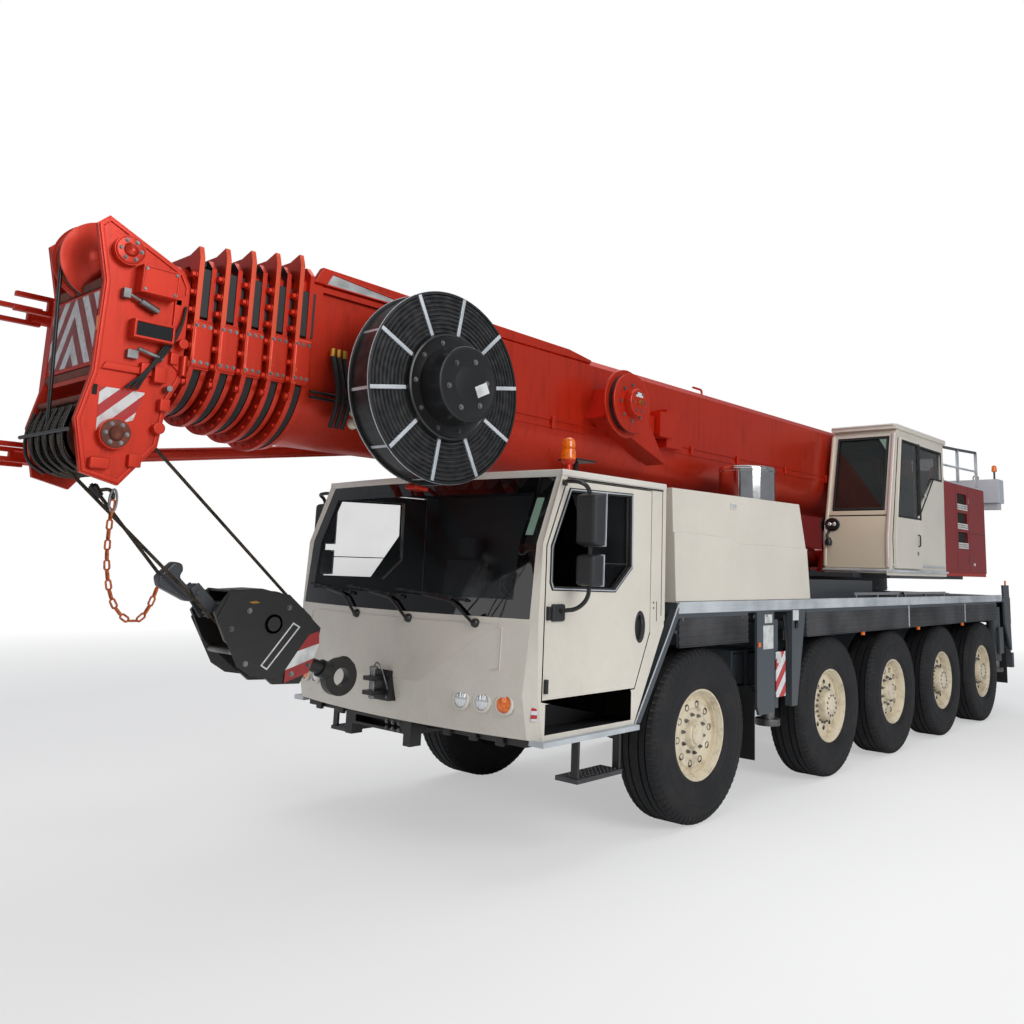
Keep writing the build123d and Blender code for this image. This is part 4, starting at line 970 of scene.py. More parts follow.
class CRANE_OT_stage(bpy.types.Operator):
    """Pale floor, soft light and the camera"""
    bl_idname = "crane.stage"
    bl_label = "Stage"

    def execute(self, context):
        clear()
        bpy.ops.mesh.primitive_circle_add(vertices=96, radius=FLOOR_RADIUS, fill_type="NGON")
        floor = bpy.context.object
        floor.name = "floor"
        edit(floor)
        bpy.ops.mesh.select_all(action="SELECT")
        bpy.ops.mesh.inset(thickness=FLOOR_RADIUS * 0.5)
        clear()
        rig.stage(floor)
        floor.data.materials.append(self.floor_finish())
        self.world()
        self.lamps()
        self.camera(context.scene.crane_camera)
        return {"FINISHED"}

    def floor_finish(self):
        """Pale floor that keeps the shadow and fades into the white backdrop."""
        s = Shader("pale_floor")
        pale = s.blend(tone(250, 250, 250), tone(245, 245, 245), s.noise(0.4, 2))
        s.finish(Base_Color=pale, Roughness=0.9)
        rim = (s.x * s.x + s.y * s.y) ** 0.5
        glow = s.node("ShaderNodeEmission", {}, tone(255, 255, 255), 1.0)
        path = s.tree.nodes.new("ShaderNodeLightPath")
        seen = Socket(s, path.outputs["Is Camera Ray"]).most(Socket(s, path.outputs["Is Transmission Ray"]))
        far = rim.between(FLOOR_FADE, FLOOR_FADE * 2.2) * 0.55 + 0.45
        mix = s.tree.nodes.new("ShaderNodeMixShader")
        s.tree.links.new((far * seen).output, mix.inputs[0])
        s.tree.links.new(s.principled.outputs[0], mix.inputs[1])
        s.tree.links.new(glow.output, mix.inputs[2])
        s.tree.links.new(mix.outputs[0], s.tree.nodes["Material Output"].inputs[0])
        return s.material

    def world(self):
        world = bpy.data.worlds.new("soft_sky")
        bpy.context.scene.world = world
        world.use_nodes = True
        nodes, links = world.node_tree.nodes, world.node_tree.links
        path = nodes.new("ShaderNodeLightPath")
        seen = nodes.new("ShaderNodeMath")
        seen.operation = "MAXIMUM"
        links.new(path.outputs["Is Camera Ray"], seen.inputs[0])
        links.new(path.outputs["Is Transmission Ray"], seen.inputs[1])
        mix = nodes.new("ShaderNodeMix")
        mix.data_type = "RGBA"
        mix.inputs[6].default_value = SKY
        mix.inputs[7].default_value = BACKDROP
        links.new(seen.outputs[0], mix.inputs[0])
        links.new(mix.outputs[2], nodes["Background"].inputs[0])

    def lamps(self):
        """A large key from the front left, a fill and a top light."""
        for name, spot, size, power in LAMPS:
            clear()
            place = at(*spot)
            bpy.ops.object.light_add(type="AREA", location=place)
            lamp = bpy.context.object
            lamp.name = name
            lamp.data.size, lamp.data.energy = size, power
            lamp.rotation_euler = (at(*LAMP_AIM) - place).to_track_quat("-Z", "Y").to_euler()

    def camera(self, plan):
        clear()
        forward = Vector((math.cos(plan.heading) * math.cos(plan.climb),
                          math.sin(plan.heading) * math.cos(plan.climb), math.sin(plan.climb)))
        right = forward.cross(Vector(UP)).normalized()
        up = right.cross(forward)
        banked_right = right * math.cos(plan.bank) + up * math.sin(plan.bank)
        banked_up = up * math.cos(plan.bank) - right * math.sin(plan.bank)
        turn = Matrix((banked_right, banked_up, -forward)).transposed()
        bpy.ops.object.camera_add(location=plan.place, rotation=turn.to_euler())
        camera = bpy.context.object
        camera.data.lens, camera.data.sensor_width = plan.lens, SENSOR
        camera.data.shift_x, camera.data.shift_y = plan.shift
        camera.data.clip_start, camera.data.clip_end = NEAR, FAR
        bpy.context.scene.camera = camera


# ------------------------------------------------------------------------------------------------
# pieces
class CRANE_OT_rest(bpy.types.Operator):
    """Eased skin over the stowed jib"""
    bl_idname = "crane.rest"
    bl_label = "Stowed jib"

    def execute(self, context):
        dress("stowed_jib", finish.red)
        return {"FINISHED"}


WHEEL_Y = 1.18


class CRANE_OT_wheels(bpy.types.Operator):
    """Tyres with ribbed tread, dished and planetary rims"""
    bl_idname = "crane.wheels"
    bl_label = "Wheels"

    def tyre(self):
        """Tyre standing at the frame's origin, its axle along +Y."""
        wall = [(0.150, 0.352), (0.166, 0.366), (0.172, 0.372), (0.180, 0.398), (0.186, 0.404), (0.190, 0.44),
                (0.194, 0.50), (0.195, 0.53), (0.192, 0.536), (0.194, 0.545), (0.188, 0.590), (0.181, 0.618),
                (0.183, 0.622), (0.176, 0.645), (0.164, 0.664), (0.150, 0.675)]
        grooves = []
        for middle_y, half in ((0.105, 0.007), (0.045, 0.009)):
            grooves += [(middle_y + half, 0.6845), (middle_y + half - 0.003, 0.668),
                        (middle_y - half + 0.003, 0.668), (middle_y - half, 0.6850)]
        half_profile = wall + grooves
        profile = half_profile + [(-y, radius) for y, radius in reversed(half_profile)] + [half_profile[0]]
        body = painted(turned("tyre", (0, 0, 0), LEFT, profile, 96), finish.tyre)
        notch = plate("notch", [Vector((-0.011, 0.118, 0.6855)), Vector((0.006, 0.118, 0.6855)),
                                Vector((0.011, 0.150, 0.678)), Vector((0.011, 0.172, 0.658)),
                                Vector((0.011, 0.182, 0.628)), Vector((-0.009, 0.182, 0.628)),
                                Vector((-0.011, 0.172, 0.658)), Vector((-0.011, 0.150, 0.678))], (0, 0, -0.02))
        notch = painted(ringed(notch, 72, LEFT, (0, 0, 0)), finish.tyre)
        moved(notch, (0, 0.0015, 0))
        twin = rotated(mirrored(notch), math.tau / 144, Vector(LEFT), (0, 0, 0))
        return joined("tyre", [body, notch, twin])

    def barrel(self):
        """Rim flange, lock ring and the well seen inside."""
        flange = turned("rim", (0, 0, 0), LEFT,
                        [(0.150, 0.352), (0.160, 0.357), (0.164, 0.352), (0.160, 0.342), (0.144, 0.337), (0.130, 0.326),
                         (0.108, 0.324), (0.106, 0.318), (0.070, 0.312), (0.02, 0.31), (-0.15, 0.318),
                         (-0.16, 0.352), (-0.14, 0.350), (0.140, 0.348), (0.150, 0.352)], 72)
        return painted(flange, finish.rim)

    def dished(self):
        """Disc with ten nuts, ten hand holes and a hub cap."""
        disc = turned("disc", (0, 0, 0), LEFT,
                      [(0.02, 0), (0.02, 0.311), (0.072, 0.313), (0.070, 0.300), (0.078, 0.272), (0.094, 0.256),
                       (0.096, 0.206), (0.084, 0.190), (0.084, 0.112), (0.092, 0.106), (0.122, 0.100),
                       (0.128, 0.094), (0.130, 0.078), (0.143, 0.074), (0.147, 0.066), (0.147, 0)], 72)
        pieces = [painted(disc, finish.rim)]
        stud = joined("nut", [turned_bar("nut", (0, 0.082, 0.150), (0, 0.104, 0.150), 0.016, 6, 0.0145),
                              turned_bar("stud", (0, 0.10, 0.150), (0, 0.116, 0.150), 0.0085, 10)])
        pieces.append(painted(ringed(stud, 10, LEFT, (0, 0, 0), 0.1), finish.steel))
        # painted shade: the hand holes are dark discs on the disc's face, in place of the shade seen through them
        hole = turned("hand_hole", (0, 0.0935, 0.231), LEFT,
                      [(0.001, 0), (0.001, 0.020), (0.0045, 0.0225), (0.0045, 0.026), (0.0, 0.029)], 20)
        pieces.append(painted(ringed(hole, 10, LEFT, (0, 0, 0), 0.42), finish.dark_hole))
        return pieces

    def planetary(self):
        """Deep hub drum with its bolt ring and end cover."""
        disc = turned("disc", (0, 0, 0), LEFT,
                      [(0.02, 0), (0.02, 0.311), (0.072, 0.313), (0.072, 0.292), (0.086, 0.250), (0.092, 0.190),
                       (0.092, 0.148), (0.104, 0.146), (0.160, 0.140), (0.170, 0.134), (0.176, 0.122),
                       (0.177, 0.062), (0.184, 0.058), (0.186, 0.05), (0.186, 0)], 72)
        pieces = [painted(disc, finish.rim)]
        stud = turned_bar("nut", (0, 0.09, 0.171), (0, 0.110, 0.171), 0.014, 6, 0.0125)
        pieces.append(painted(ringed(stud, 20, LEFT, (0, 0, 0)), finish.steel))
        # painted shade: the hand holes are dark discs on the disc's face, in place of the shade seen through them
        hole = turned("hand_hole", (0, 0.0885, 0.222), LEFT,
                      [(0.001, 0), (0.001, 0.016), (0.0045, 0.018), (0.0045, 0.021), (0.0, 0.024)], 18)
        pieces.append(painted(ringed(hole, 10, LEFT, (0, 0, 0), 0.3), finish.dark_hole))
        cover = bolt((0, 0.176, 0.100), LEFT, 0.0085, 0.009)
        pieces.append(painted(ringed(cover, 12, LEFT, (0, 0, 0)), finish.steel))
        return pieces

    def execute(self, context):
        tyre, barrel = self.tyre(), self.barrel()
        kinds = {}
        for name, parts in (("dished", self.dished()), ("planetary", self.planetary())):
            kinds[name] = joined(name + "_wheel", [copied(tyre), copied(barrel)] + parts)
            pick(kinds[name])
            bpy.ops.object.shade_smooth_by_angle(angle=WHEEL_ANGLE)
        for number in range(1, 6):
            kind = kinds["dished" if number in (1, 3) else "planetary"]
            for side, side_name in ((1, "left"), (-1, "right")):
                node = f"wheel_{number}_{side_name}"
                low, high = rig.box(node)
                centre = (low + high) / 2
                centre.y = side * WHEEL_Y
                piece = copied(kind, node + "_dressed")
                if side < 0:
                    piece = rotated(piece, math.pi, UP, (0, 0, 0))
                rotated(piece, 0.9 * number + side, LEFT, (0, 0, 0))
                done(moved(piece, centre), None, body_of(node), "wheel", [node])
        for piece in (tyre, barrel, *kinds.values()):
            bpy.data.objects.remove(piece)
        return {"FINISHED"}


class CRANE_OT_chassis(bpy.types.Operator):
    """Frame, axles, knuckles, springs and outriggers"""
    bl_idname = "crane.chassis"
    bl_label = "Chassis"

    def execute(self, context):
        dress("chassis_frame", finish.grey, "frame_grey")
        dress("axle_beams", finish.grey, "frame_grey")
        for node in NODES:
            if node.startswith("knuckle"):
                dress(node, finish.grey, "knuckle_steel")
            if node.startswith("outrigger_beam"):
                dress(node, finish.grey, "frame_grey")
            if node.startswith("outrigger_jack"):
                dress(node, finish.steel, "polished_steel", 0.003)
        pieces = []
        for number in range(1, 6):
            x = middle(f"wheel_{number}_left").x - AXLE_1
            for y in (-0.33, 0.33):
                spring = [turned_bar("strut", at(x - 0.17, y, 0.70), at(x - 0.12, y, 1.42), 0.055, 20),
                          turned_bar("rod", at(x - 0.175, y, 0.64), at(x - 0.16, y, 0.76), 0.03, 16)]
                pieces.append(painted(joined("suspension", spring), finish.black))
                chamber = turned("chamber", at(x + 0.12, y * 1.9, 0.80), (1, 0, 0.35),
                                 [(0, 0), (0, 0.05), (0.02, 0.078), (0.07, 0.08), (0.075, 0.086), (0.085, 0.086),
                                  (0.09, 0.08), (0.15, 0.07), (0.17, 0.03), (0.17, 0)], 28)
                pieces.append(painted(chamber, finish.black))
            tie = pipe("tie_rod", [at(x + 0.14, -0.72, 0.60), at(x + 0.14, 0.72, 0.60)], 0.024)
            pieces.append(painted(tie, finish.steel))
        for x0, x1 in ((-0.15, -2.2), (-2.6, -3.85), (-4.25, -5.5), (-5.9, -7.15)):
            shaft = joined("shaft", [turned_bar("shaft", at(x0, 0, 0.72), at(x1, 0, 0.72), 0.055, 20),
                                     turned_bar("yoke", at(x0, 0, 0.72), at(x0 - 0.16, 0, 0.72), 0.085, 20),
                                     turned_bar("yoke", at(x1, 0, 0.72), at(x1 + 0.16, 0, 0.72), 0.085, 20)])
            pieces.append(painted(shaft, finish.steel))
        done(ease(joined("running_gear", pieces), 0.003), None, "carrier", "frame_grey")
        return {"FINISHED"}


# cab front columns: height, front at the middle, front at the corner, half width at the corner, front at the side
CAB_SECTIONS = [(0.875, 2.095, 1.975, 1.285, 1.905), (1.160, 2.165, 2.035, 1.285, 1.965),
                (1.640, 2.160, 2.005, 1.310, 1.985), (2.145, 2.065, 1.960, 1.325, 1.965),
                (2.650, 1.860, 1.770, 1.330, 1.785)]
HALF_WIDTH = 1.36
CAB_REAR = 0.55
DOOR_WINDOW = [(1.850, 1.850), (1.195, 1.835), (0.995, 2.010), (1.005, 2.535), (1.700, 2.520), (1.875, 2.115),
               (1.875, 1.900)]
# the door's outer sheet, run round its window through a hairline joint at the upper front corner
DOOR_PANEL = [(1.7400, 2.590), (1.925, 2.130), (1.925, 1.125), (0.925, 1.125), (0.745, 1.520), (0.745, 2.590),
              (1.7396, 2.590), (1.6996, 2.520), (1.005, 2.535), (0.995, 2.010), (1.195, 1.835), (1.850, 1.850),
              (1.875, 1.900), (1.875, 2.115), (1.7000, 2.520)]


def front_x(y, z):
    """Where the cab's bowed front lies."""
    for low, high in zip(CAB_SECTIONS, CAB_SECTIONS[1:]):
        if z <= high[0]:
            break
    share = (z - low[0]) / (high[0] - low[0])
    front, corner, corner_y, side = (a + (b - a) * share for a, b in zip(low[1:], high[1:]))
    if abs(y) <= corner_y:
        return front - (front - corner) * (y / corner_y) ** 2
    return corner + (side - corner) * (abs(y) - corner_y) / (HALF_WIDTH - corner_y)


def on_front(y, z, out=0.0):
    """A point on the cab's front, or out from it."""
    return at(front_x(y, z) + out, y, z)


def grown_outline(points, amount):
    """(x, z) points moved away from the outline's middle."""
    middle_x = sum(x for x, z in points) / len(points)
    middle_z = sum(z for x, z in points) / len(points)
    return [(x + math.copysign(amount, x - middle_x), z + math.copysign(amount, z - middle_z)) for x, z in points]


class CRANE_OT_cab(bpy.types.Operator):
    """Driver's cab: shell, glass, roof edge, lamps, wipers, steps and coupling"""
    bl_idname = "crane.cab"
    bl_label = "Driver's cab"

    def inside(self, place, normal):
        """True on the lining of the cab, the step wells and the wheel arch."""
        x, y, z = place.x - AXLE_1, abs(place.y), place.z
        room = 0.58 < x < front_x(y, z) - 0.03 and 0.9 < z < 2.615 and (y < 1.3 or y < 1.325 and abs(normal.y) > 0.9)
        well = 0.93 < x < 1.9 and y < 1.352 and 0.87 < z < 1.118 and abs(normal.y) < 0.99
        arch = x < 0.955 and z < 1.63 and y < 1.35 and normal.y ** 2 < 0.5
        return room or well or arch

    def shell(self):
        shell = skin("cab_shell", finish.cream, 0.007)
        repainted(shell, finish.plastic, self.inside)
        done(shell, None, "carrier", "cream_paint", ["cab_shell"])
        done(refined("cab_windshield", 0.002), finish.windshield, "carrier", "glass", ["cab_windshield"])
        # roof slab with its rounded edge
        arc = [(front_x(y, 2.62) + 0.006, y) for y in [1.33 * step / 8 for step in range(-8, 9)]]
        outline = [(CAB_REAR - 0.004, -1.366), (front_x(1.36, 2.62) + 0.004, -1.366), *arc,
                   (front_x(1.36, 2.62) + 0.004, 1.366), (CAB_REAR - 0.004, 1.366)]
        roof = plate("roof_edge", [at(x, y, 2.612) for x, y in outline], (0, 0, 0.05))
        done(ease(roof, 0.012, 3), finish.cream_light, "carrier", "cream_paint")
        gutter = pipe("gutter", [at(0.60, 1.364, 2.604), at(1.74, 1.364, 2.604)], 0.006)
        done(both("roof_gutter", gutter), finish.rubber, "carrier", "black_steel")
        # seams of the pillar behind the door and the corner plate in front of it
        seams = [pipe("seam", [at(x, 1.3612, z0), at(x2, 1.3612, z1)], 0.0025)
                 for x, z0, x2, z1 in ((0.60, 1.64, 0.60, 2.60), (0.66, 1.60, 0.66, 1.75))]
        done(both("cab_seams", joined("seam", seams)), finish.rubber, "carrier", "black_steel")

    def panel_lines(self):
        """Upright pressed channel beside the lamps and the label by the pillar."""
        places = [on_front(1.03, 1.30, 0.004), on_front(1.10, 1.31, 0.004), on_front(1.10, 1.58, 0.004),
                  on_front(1.05, 1.58, 0.004)]
        channel = ease(pipe("channel", places, 0.004), 0)
        done(both("pressed_channels", channel), finish.cream, "carrier", "cream_paint")
        strip = [on_front(1.19, 2.20, 0.004), on_front(1.25, 2.20, 0.004), on_front(1.255, 2.46, 0.004),
                 on_front(1.195, 2.46, 0.004)]
        label = plate("pale_label", strip, (-0.002, 0, 0))
        done(label, finish.pale_green, "carrier", "interior")
        bar = turned_bar("corner_marker", at(1.955, 1.322, 1.0), at(1.955, 1.322, 1.10), 0.03, 4)
        done(both("corner_markers", ease(bar, 0.006)), finish.marker_stripes, "carrier", "lamp_amber")

    def front_lamps(self):
        rims, clear_glass, amber_glass = [], [], []
        for y in (0.78, 0.96, 1.14):
            face = on_front(y, 1.095)
            axis = Vector((1, (front_x(y - 0.05, 1.095) - front_x(y + 0.05, 1.095)) / 0.1, 0.05)).normalized()
            rim = turned("bezel", face - axis * 0.004, axis,
                         [(0.0, 0.058), (0.016, 0.060), (0.017, 0.064), (0.015, 0.070), (0.006, 0.076), (0.0, 0.078)],
                         40)
            rims.append(rim)
            glass = turned("lens", face - axis * 0.006, axis,
                           [(0, 0), (0, 0.057), (0.010, 0.056), (0.018, 0.040), (0.021, 0.0)], 32)
            (amber_glass if y > 1.1 else clear_glass).append(glass)
        for name, parts, material, slot in (("lamp_bezels", rims, "cream", "cream_paint"),
                                            ("clear_lenses", clear_glass, "lamp_clear", "glass"),
                                            ("amber_lenses", amber_glass, "amber", "lamp_amber")):
            done(ease(both(name, joined(name, parts)), 0), getattr(finish, material), "carrier", slot)
        lamps = skin("carrier_lamps", finish.amber, 0.004)
        dropped(lamps, lambda place, normal: place.x - AXLE_1 > 0.5)
        repainted(lamps, finish.red_lens, lambda place, normal: place.x - AXLE_1 < -8.7)
        done(lamps, None, "carrier", "lamp_amber", ["carrier_lamps"])

    def beacons(self):
        for side, side_name in ((1, "left"), (-1, "right")):
            foot = at(1.33, side * 1.0, 2.655)
            dome = turned("dome", foot, UP,
                          [(0.14, 0), (0.14, 0.056), (0.17, 0.058), (0.215, 0.052), (0.222, 0.040), (0.226, 0.050),
                           (0.262, 0.052), (0.292, 0.044), (0.304, 0.022), (0.306, 0)], 32)
            done(ease(dome, 0), finish.amber, "carrier", "lamp_amber").name = "beacon_dome_" + side_name
            post = turned("post", foot, UP,
                          [(0, 0), (0, 0.045), (0.012, 0.047), (0.02, 0.03), (0.10, 0.028), (0.115, 0.05),
                           (0.14, 0.055), (0.142, 0)], 28)
            done(ease(post, 0), finish.red, "carrier", "red_paint").name = "beacon_post_" + side_name
        stand = joined("roof_stand", [slab("stand", 1.13, 1.16, 0.90, 0.93, 2.65, 2.80),
                                      slab("stand", 1.02, 1.25, 0.82, 1.02, 2.80, 2.815)])
        done(ease(stand, 0.003), finish.black, "carrier", "black_steel")

    def wipers(self):
        arms, blades = [], []
        for y in (-0.37, 0.25, 0.88):
            pivot, elbow = on_front(y, 1.600, 0.03), on_front(y - 0.20, 1.735, 0.034)
            tip = on_front(y - 0.80, 1.80, 0.026)
            cap = turned("cap", on_front(y, 1.600, -0.004), AHEAD,
                         [(0, 0), (0, 0.032), (0.02, 0.030), (0.036, 0.022), (0.044, 0.0)], 24)
            arms += [cap, pipe("arm", [pivot, elbow, on_front(y - 0.46, 1.768, 0.034)], 0.011, 0.03, 8)]
            for step in range(6):
                share = step / 5
                clip = on_front(y - 0.12 - 0.62 * share, 1.752 + 0.045 * share, 0.012)
                blades.append(slab("clip", clip.x - AXLE_1 - 0.006, clip.x - AXLE_1 + 0.02, clip.y - 0.012,
                                   clip.y + 0.012, clip.z - 0.01, clip.z + 0.012))
            blades.append(pipe("blade", [on_front(y - 0.08, 1.745, 0.010), on_front(y - 0.42, 1.775, 0.012), tip],
                               0.008, 0, 8))
        done(ease(joined("wiper_arms", arms), 0), finish.black, "carrier", "black_steel")
        done(joined("wiper_blades", blades), finish.rubber, "carrier", "black_steel")

    def fittings(self):
        """Sill rails, steps, coupling and the bracket under the front."""
        node = "coupling_steps_and_wipers"
        parts = skin(node, finish.black, 0.003)
        dropped(parts, lambda place, normal: place.z > 1.5)
        repainted(parts, finish.silver, lambda place, normal: 0.92 < place.x - AXLE_1 < 1.97
                  and abs(place.y) > 1.285 and 0.835 < place.z < 0.88)
        repainted(parts, finish.guard, lambda place, normal: abs(place.y) > 1.19 and 0.555 < place.z < 0.595)
        done(parts, None, "carrier", "black_steel", [node])
        grip = []
        for row in range(4):
            for place in range(12):
                grip.append(turned_bar("stud", at(1.13 + place * 0.04, 1.235 + row * 0.04, 0.588),
                                       at(1.13 + place * 0.04, 1.235 + row * 0.04, 0.597), 0.009, 8, 0.006))
        done(both("step_grips", joined("step_grips", grip)), finish.guard, "carrier", "polished_steel")
        valance = slab("front_valance", 1.55, 1.93, -1.24, 1.24, 0.815, 0.874)
        details = [slab("bracket", 1.93, 1.96, y, y + 0.07, 0.80, 0.86) for y in (-1.1, -0.8, 0.45, 0.72, 0.98)]
        done(ease(joined("front_valance", [valance] + details), 0.006), finish.black, "carrier", "black_steel")
        pin = turned("coupling_pin", at(2.245, 0, 1.02), UP,
                     [(0, 0), (0, 0.020), (0.20, 0.020), (0.20, 0.032), (0.222, 0.032), (0.228, 0.026), (0.228, 0)], 20)
        loop = pipe("pin_loop", [at(2.245, 0, 1.24), at(2.26, 0.05, 1.29), at(2.245, 0.09, 1.24), at(2.20, 0.10, 1.12),
                                 at(2.16, 0.09, 1.03)], 0.005, 0.03, 8)
        plate_bolts = bolts([at(2.178, y, z) for y in (-0.09, 0.09) for z in (1.035, 1.19)], AHEAD, 0.012)
        done(ease(joined("coupling_pin", [pin, loop, plate_bolts]), 0), finish.steel, "carrier", "black_steel")
        studs = bolts([at(2.081, y, z) for y in (-0.02, 0.05, 0.12) for z in (0.80, 0.845)], AHEAD, 0.012)
        done(studs, finish.steel, "carrier", "polished_steel")

    def execute(self, context):
        self.shell()
        self.panel_lines()
        self.front_lamps()
        self.beacons()
        self.wipers()
        self.fittings()
        return {"FINISHED"}


MIRROR_Y = 1.545
# the door's CAD sheet lies outside this, and its new panel between these two
DOOR_SHEET_Y, DOOR_INNER_Y, DOOR_OUTER_Y = 1.3405, 1.344, 1.3605


class CRANE_OT_doors(bpy.types.Operator):
    """Carrier doors with window seals, handles and mirrors"""
    bl_idname = "crane.doors"
    bl_label = "Carrier doors"

    def trims(self):
        """The left door's fittings, as a list of painted pieces."""
        seal = framed("seal", along(grown_outline(DOOR_WINDOW, 0.016), 1.356), 0.030, (0, 0.012, 0))
        line = framed("line", along(grown_outline(DOOR_WINDOW, 0.008), 1.3675), 0.008, (0, 0.002, 0))
        pieces = [clad(seal, finish.rubber, 0.004), painted(line, finish.silver)]
        divider = slab("divider", 0.998, 1.85, 1.338, 1.346, 2.02, 2.028)
        pieces.append(painted(divider, finish.rubber))
        # door handle: a recessed cup with a grip across it
        cup = turned("cup", at(0.87, 1.357, 1.565), LEFT,
                     [(0.006, 0), (0.004, 0.055), (0.008, 0.066), (0.011, 0.070), (0.008, 0.076), (0.003, 0.078)], 36)
        cup.data.transform(Matrix.Translation(at(0.87, 0, 1.565)) @ Matrix.Diagonal((0.80, 1, 1.52, 1))
                           @ Matrix.Translation(-at(0.87, 0, 1.565)))
        pieces.append(clad(cup, finish.plastic))
        grip = pipe("grip", [at(0.885, 1.362, 1.47), at(0.89, 1.385, 1.50), at(0.885, 1.388, 1.60),
                             at(0.87, 1.366, 1.645)], 0.013, 0.02)
        pieces.append(painted(grip, finish.black))
        pieces.append(painted(bolts([at(0.70, 1.361, 1.70), at(0.70, 1.361, 1.74)], LEFT, 0.006, 0.004),
                              finish.steel))
        hinges = [turned_bar("hinge", at(1.90, 1.372, z), at(1.90, 1.372, z + 0.09), 0.0155, 20) for z in (1.17, 1.64)]
        pieces.append(clad(joined("hinge", hinges), finish.black, 0.003))
        return pieces

    def mirrors(self):
        """Two mirror heads on bent arms, ahead of the left door."""
        y, pieces = MIRROR_Y, []
        for z0, z1, half in ((2.13, 2.50, 0.105), (1.865, 2.085, 0.095)):
            head = slab("head", 1.655, 1.765, y - half, y + half, z0, z1)
            choose_faces(head, lambda place, normal: normal.x > 0.9)
            bpy.ops.transform.resize(value=(1, 0.80, 0.90))
            clear()
            ease(head, 0.028, 4)
            pieces.append(painted(head, finish.plastic))
            rim = framed("rim", [at(1.6535, y - half + 0.004, z0 + 0.004), at(1.6535, y + half - 0.004, z0 + 0.004),
                                 at(1.6535, y + half - 0.004, z1 - 0.004), at(1.6535, y - half + 0.004, z1 - 0.004)],
                         0.012, (-0.006, 0, 0))
            pieces.append(clad(rim, finish.silver, 0.003))
            glass = slab("glass", 1.6515, 1.656, y - half + 0.014, y + half - 0.014, z0 + 0.014, z1 - 0.014)
            pieces.append(painted(glass, finish.mirror))
        arm = pipe("arm", [at(1.77, 1.345, 2.565), at(1.80, 1.40, 2.575), at(1.80, 1.53, 2.565), at(1.72, y, 2.53),
                           at(1.70, y, 2.30), at(1.70, y, 1.90), at(1.70, y, 1.79), at(1.76, 1.50, 1.715),
                           at(1.80, 1.372, 1.70)], 0.015, 0.06)
        pieces.append(painted(arm, finish.black))
        mount = slab("mount", 1.74, 1.87, 1.352, 1.385, 1.63, 1.745)
        pieces.append(clad(mount, finish.plastic, 0.02, 4))
        foot = slab("foot", 1.735, 1.795, 1.325, 1.365, 2.545, 2.59)
        pieces.append(clad(foot, finish.plastic, 0.01, 3))
        return pieces

    def execute(self, context):
        pane = (HALF_WIDTH - 0.026, HALF_WIDTH - 0.016)
        left = joined("door_trim", self.trims() + self.mirrors())
        trims = {"left": left, "right": mirrored(left)}
        for side_name, trim in trims.items():
            node = "carrier_door_" + side_name
            door = skin(node, finish.cream, 0, flatten=False)
            dropped(door, lambda place, normal: abs(place.y) > DOOR_SHEET_Y and place.z > 1.0)
            side = 1 if side_name == "left" else -1
            panel = prism("panel", DOOR_PANEL, side * DOOR_INNER_Y, side * DOOR_OUTER_Y)
            door = joined("door", [door, clad(panel, finish.cream, 0.004)])
            repainted(door, finish.glass, lambda place, normal: pane[0] < abs(place.y) < pane[1]
                      and abs(normal.y) > 0.9 and place.z > 1.84)
            repainted(door, finish.plastic, lambda place, normal: abs(place.y) < 1.32 and abs(normal.y) > 0.9)
            done(joined(node + "_dressed", [door, trim]), None, node, "cream_paint", [node])
        return {"FINISHED"}


# boom sections, from the base outwards: half width, top, bottom and front end
SECTION_COUNT = 6
SECTIONS = [(0.420 - 0.027 * step, 3.830 - 0.025 * step, 2.745 + 0.033 * step, 3.385 + 0.150 * step)
            for step in range(SECTION_COUNT)]
UPPER_SHEAVE, LOWER_SHEAVE = (4.390, 3.670), (4.360, 2.640)


ARC_SHARE = 1.0089


def under_arc(half, bottom, grow, turns):
    """(y, z) points on a boom section's round underside, moved out by grow."""
    radius = half * ARC_SHARE
    return [((radius + grow) * math.sin(turn), bottom + radius - (radius + grow) * math.cos(turn)) for turn in turns]


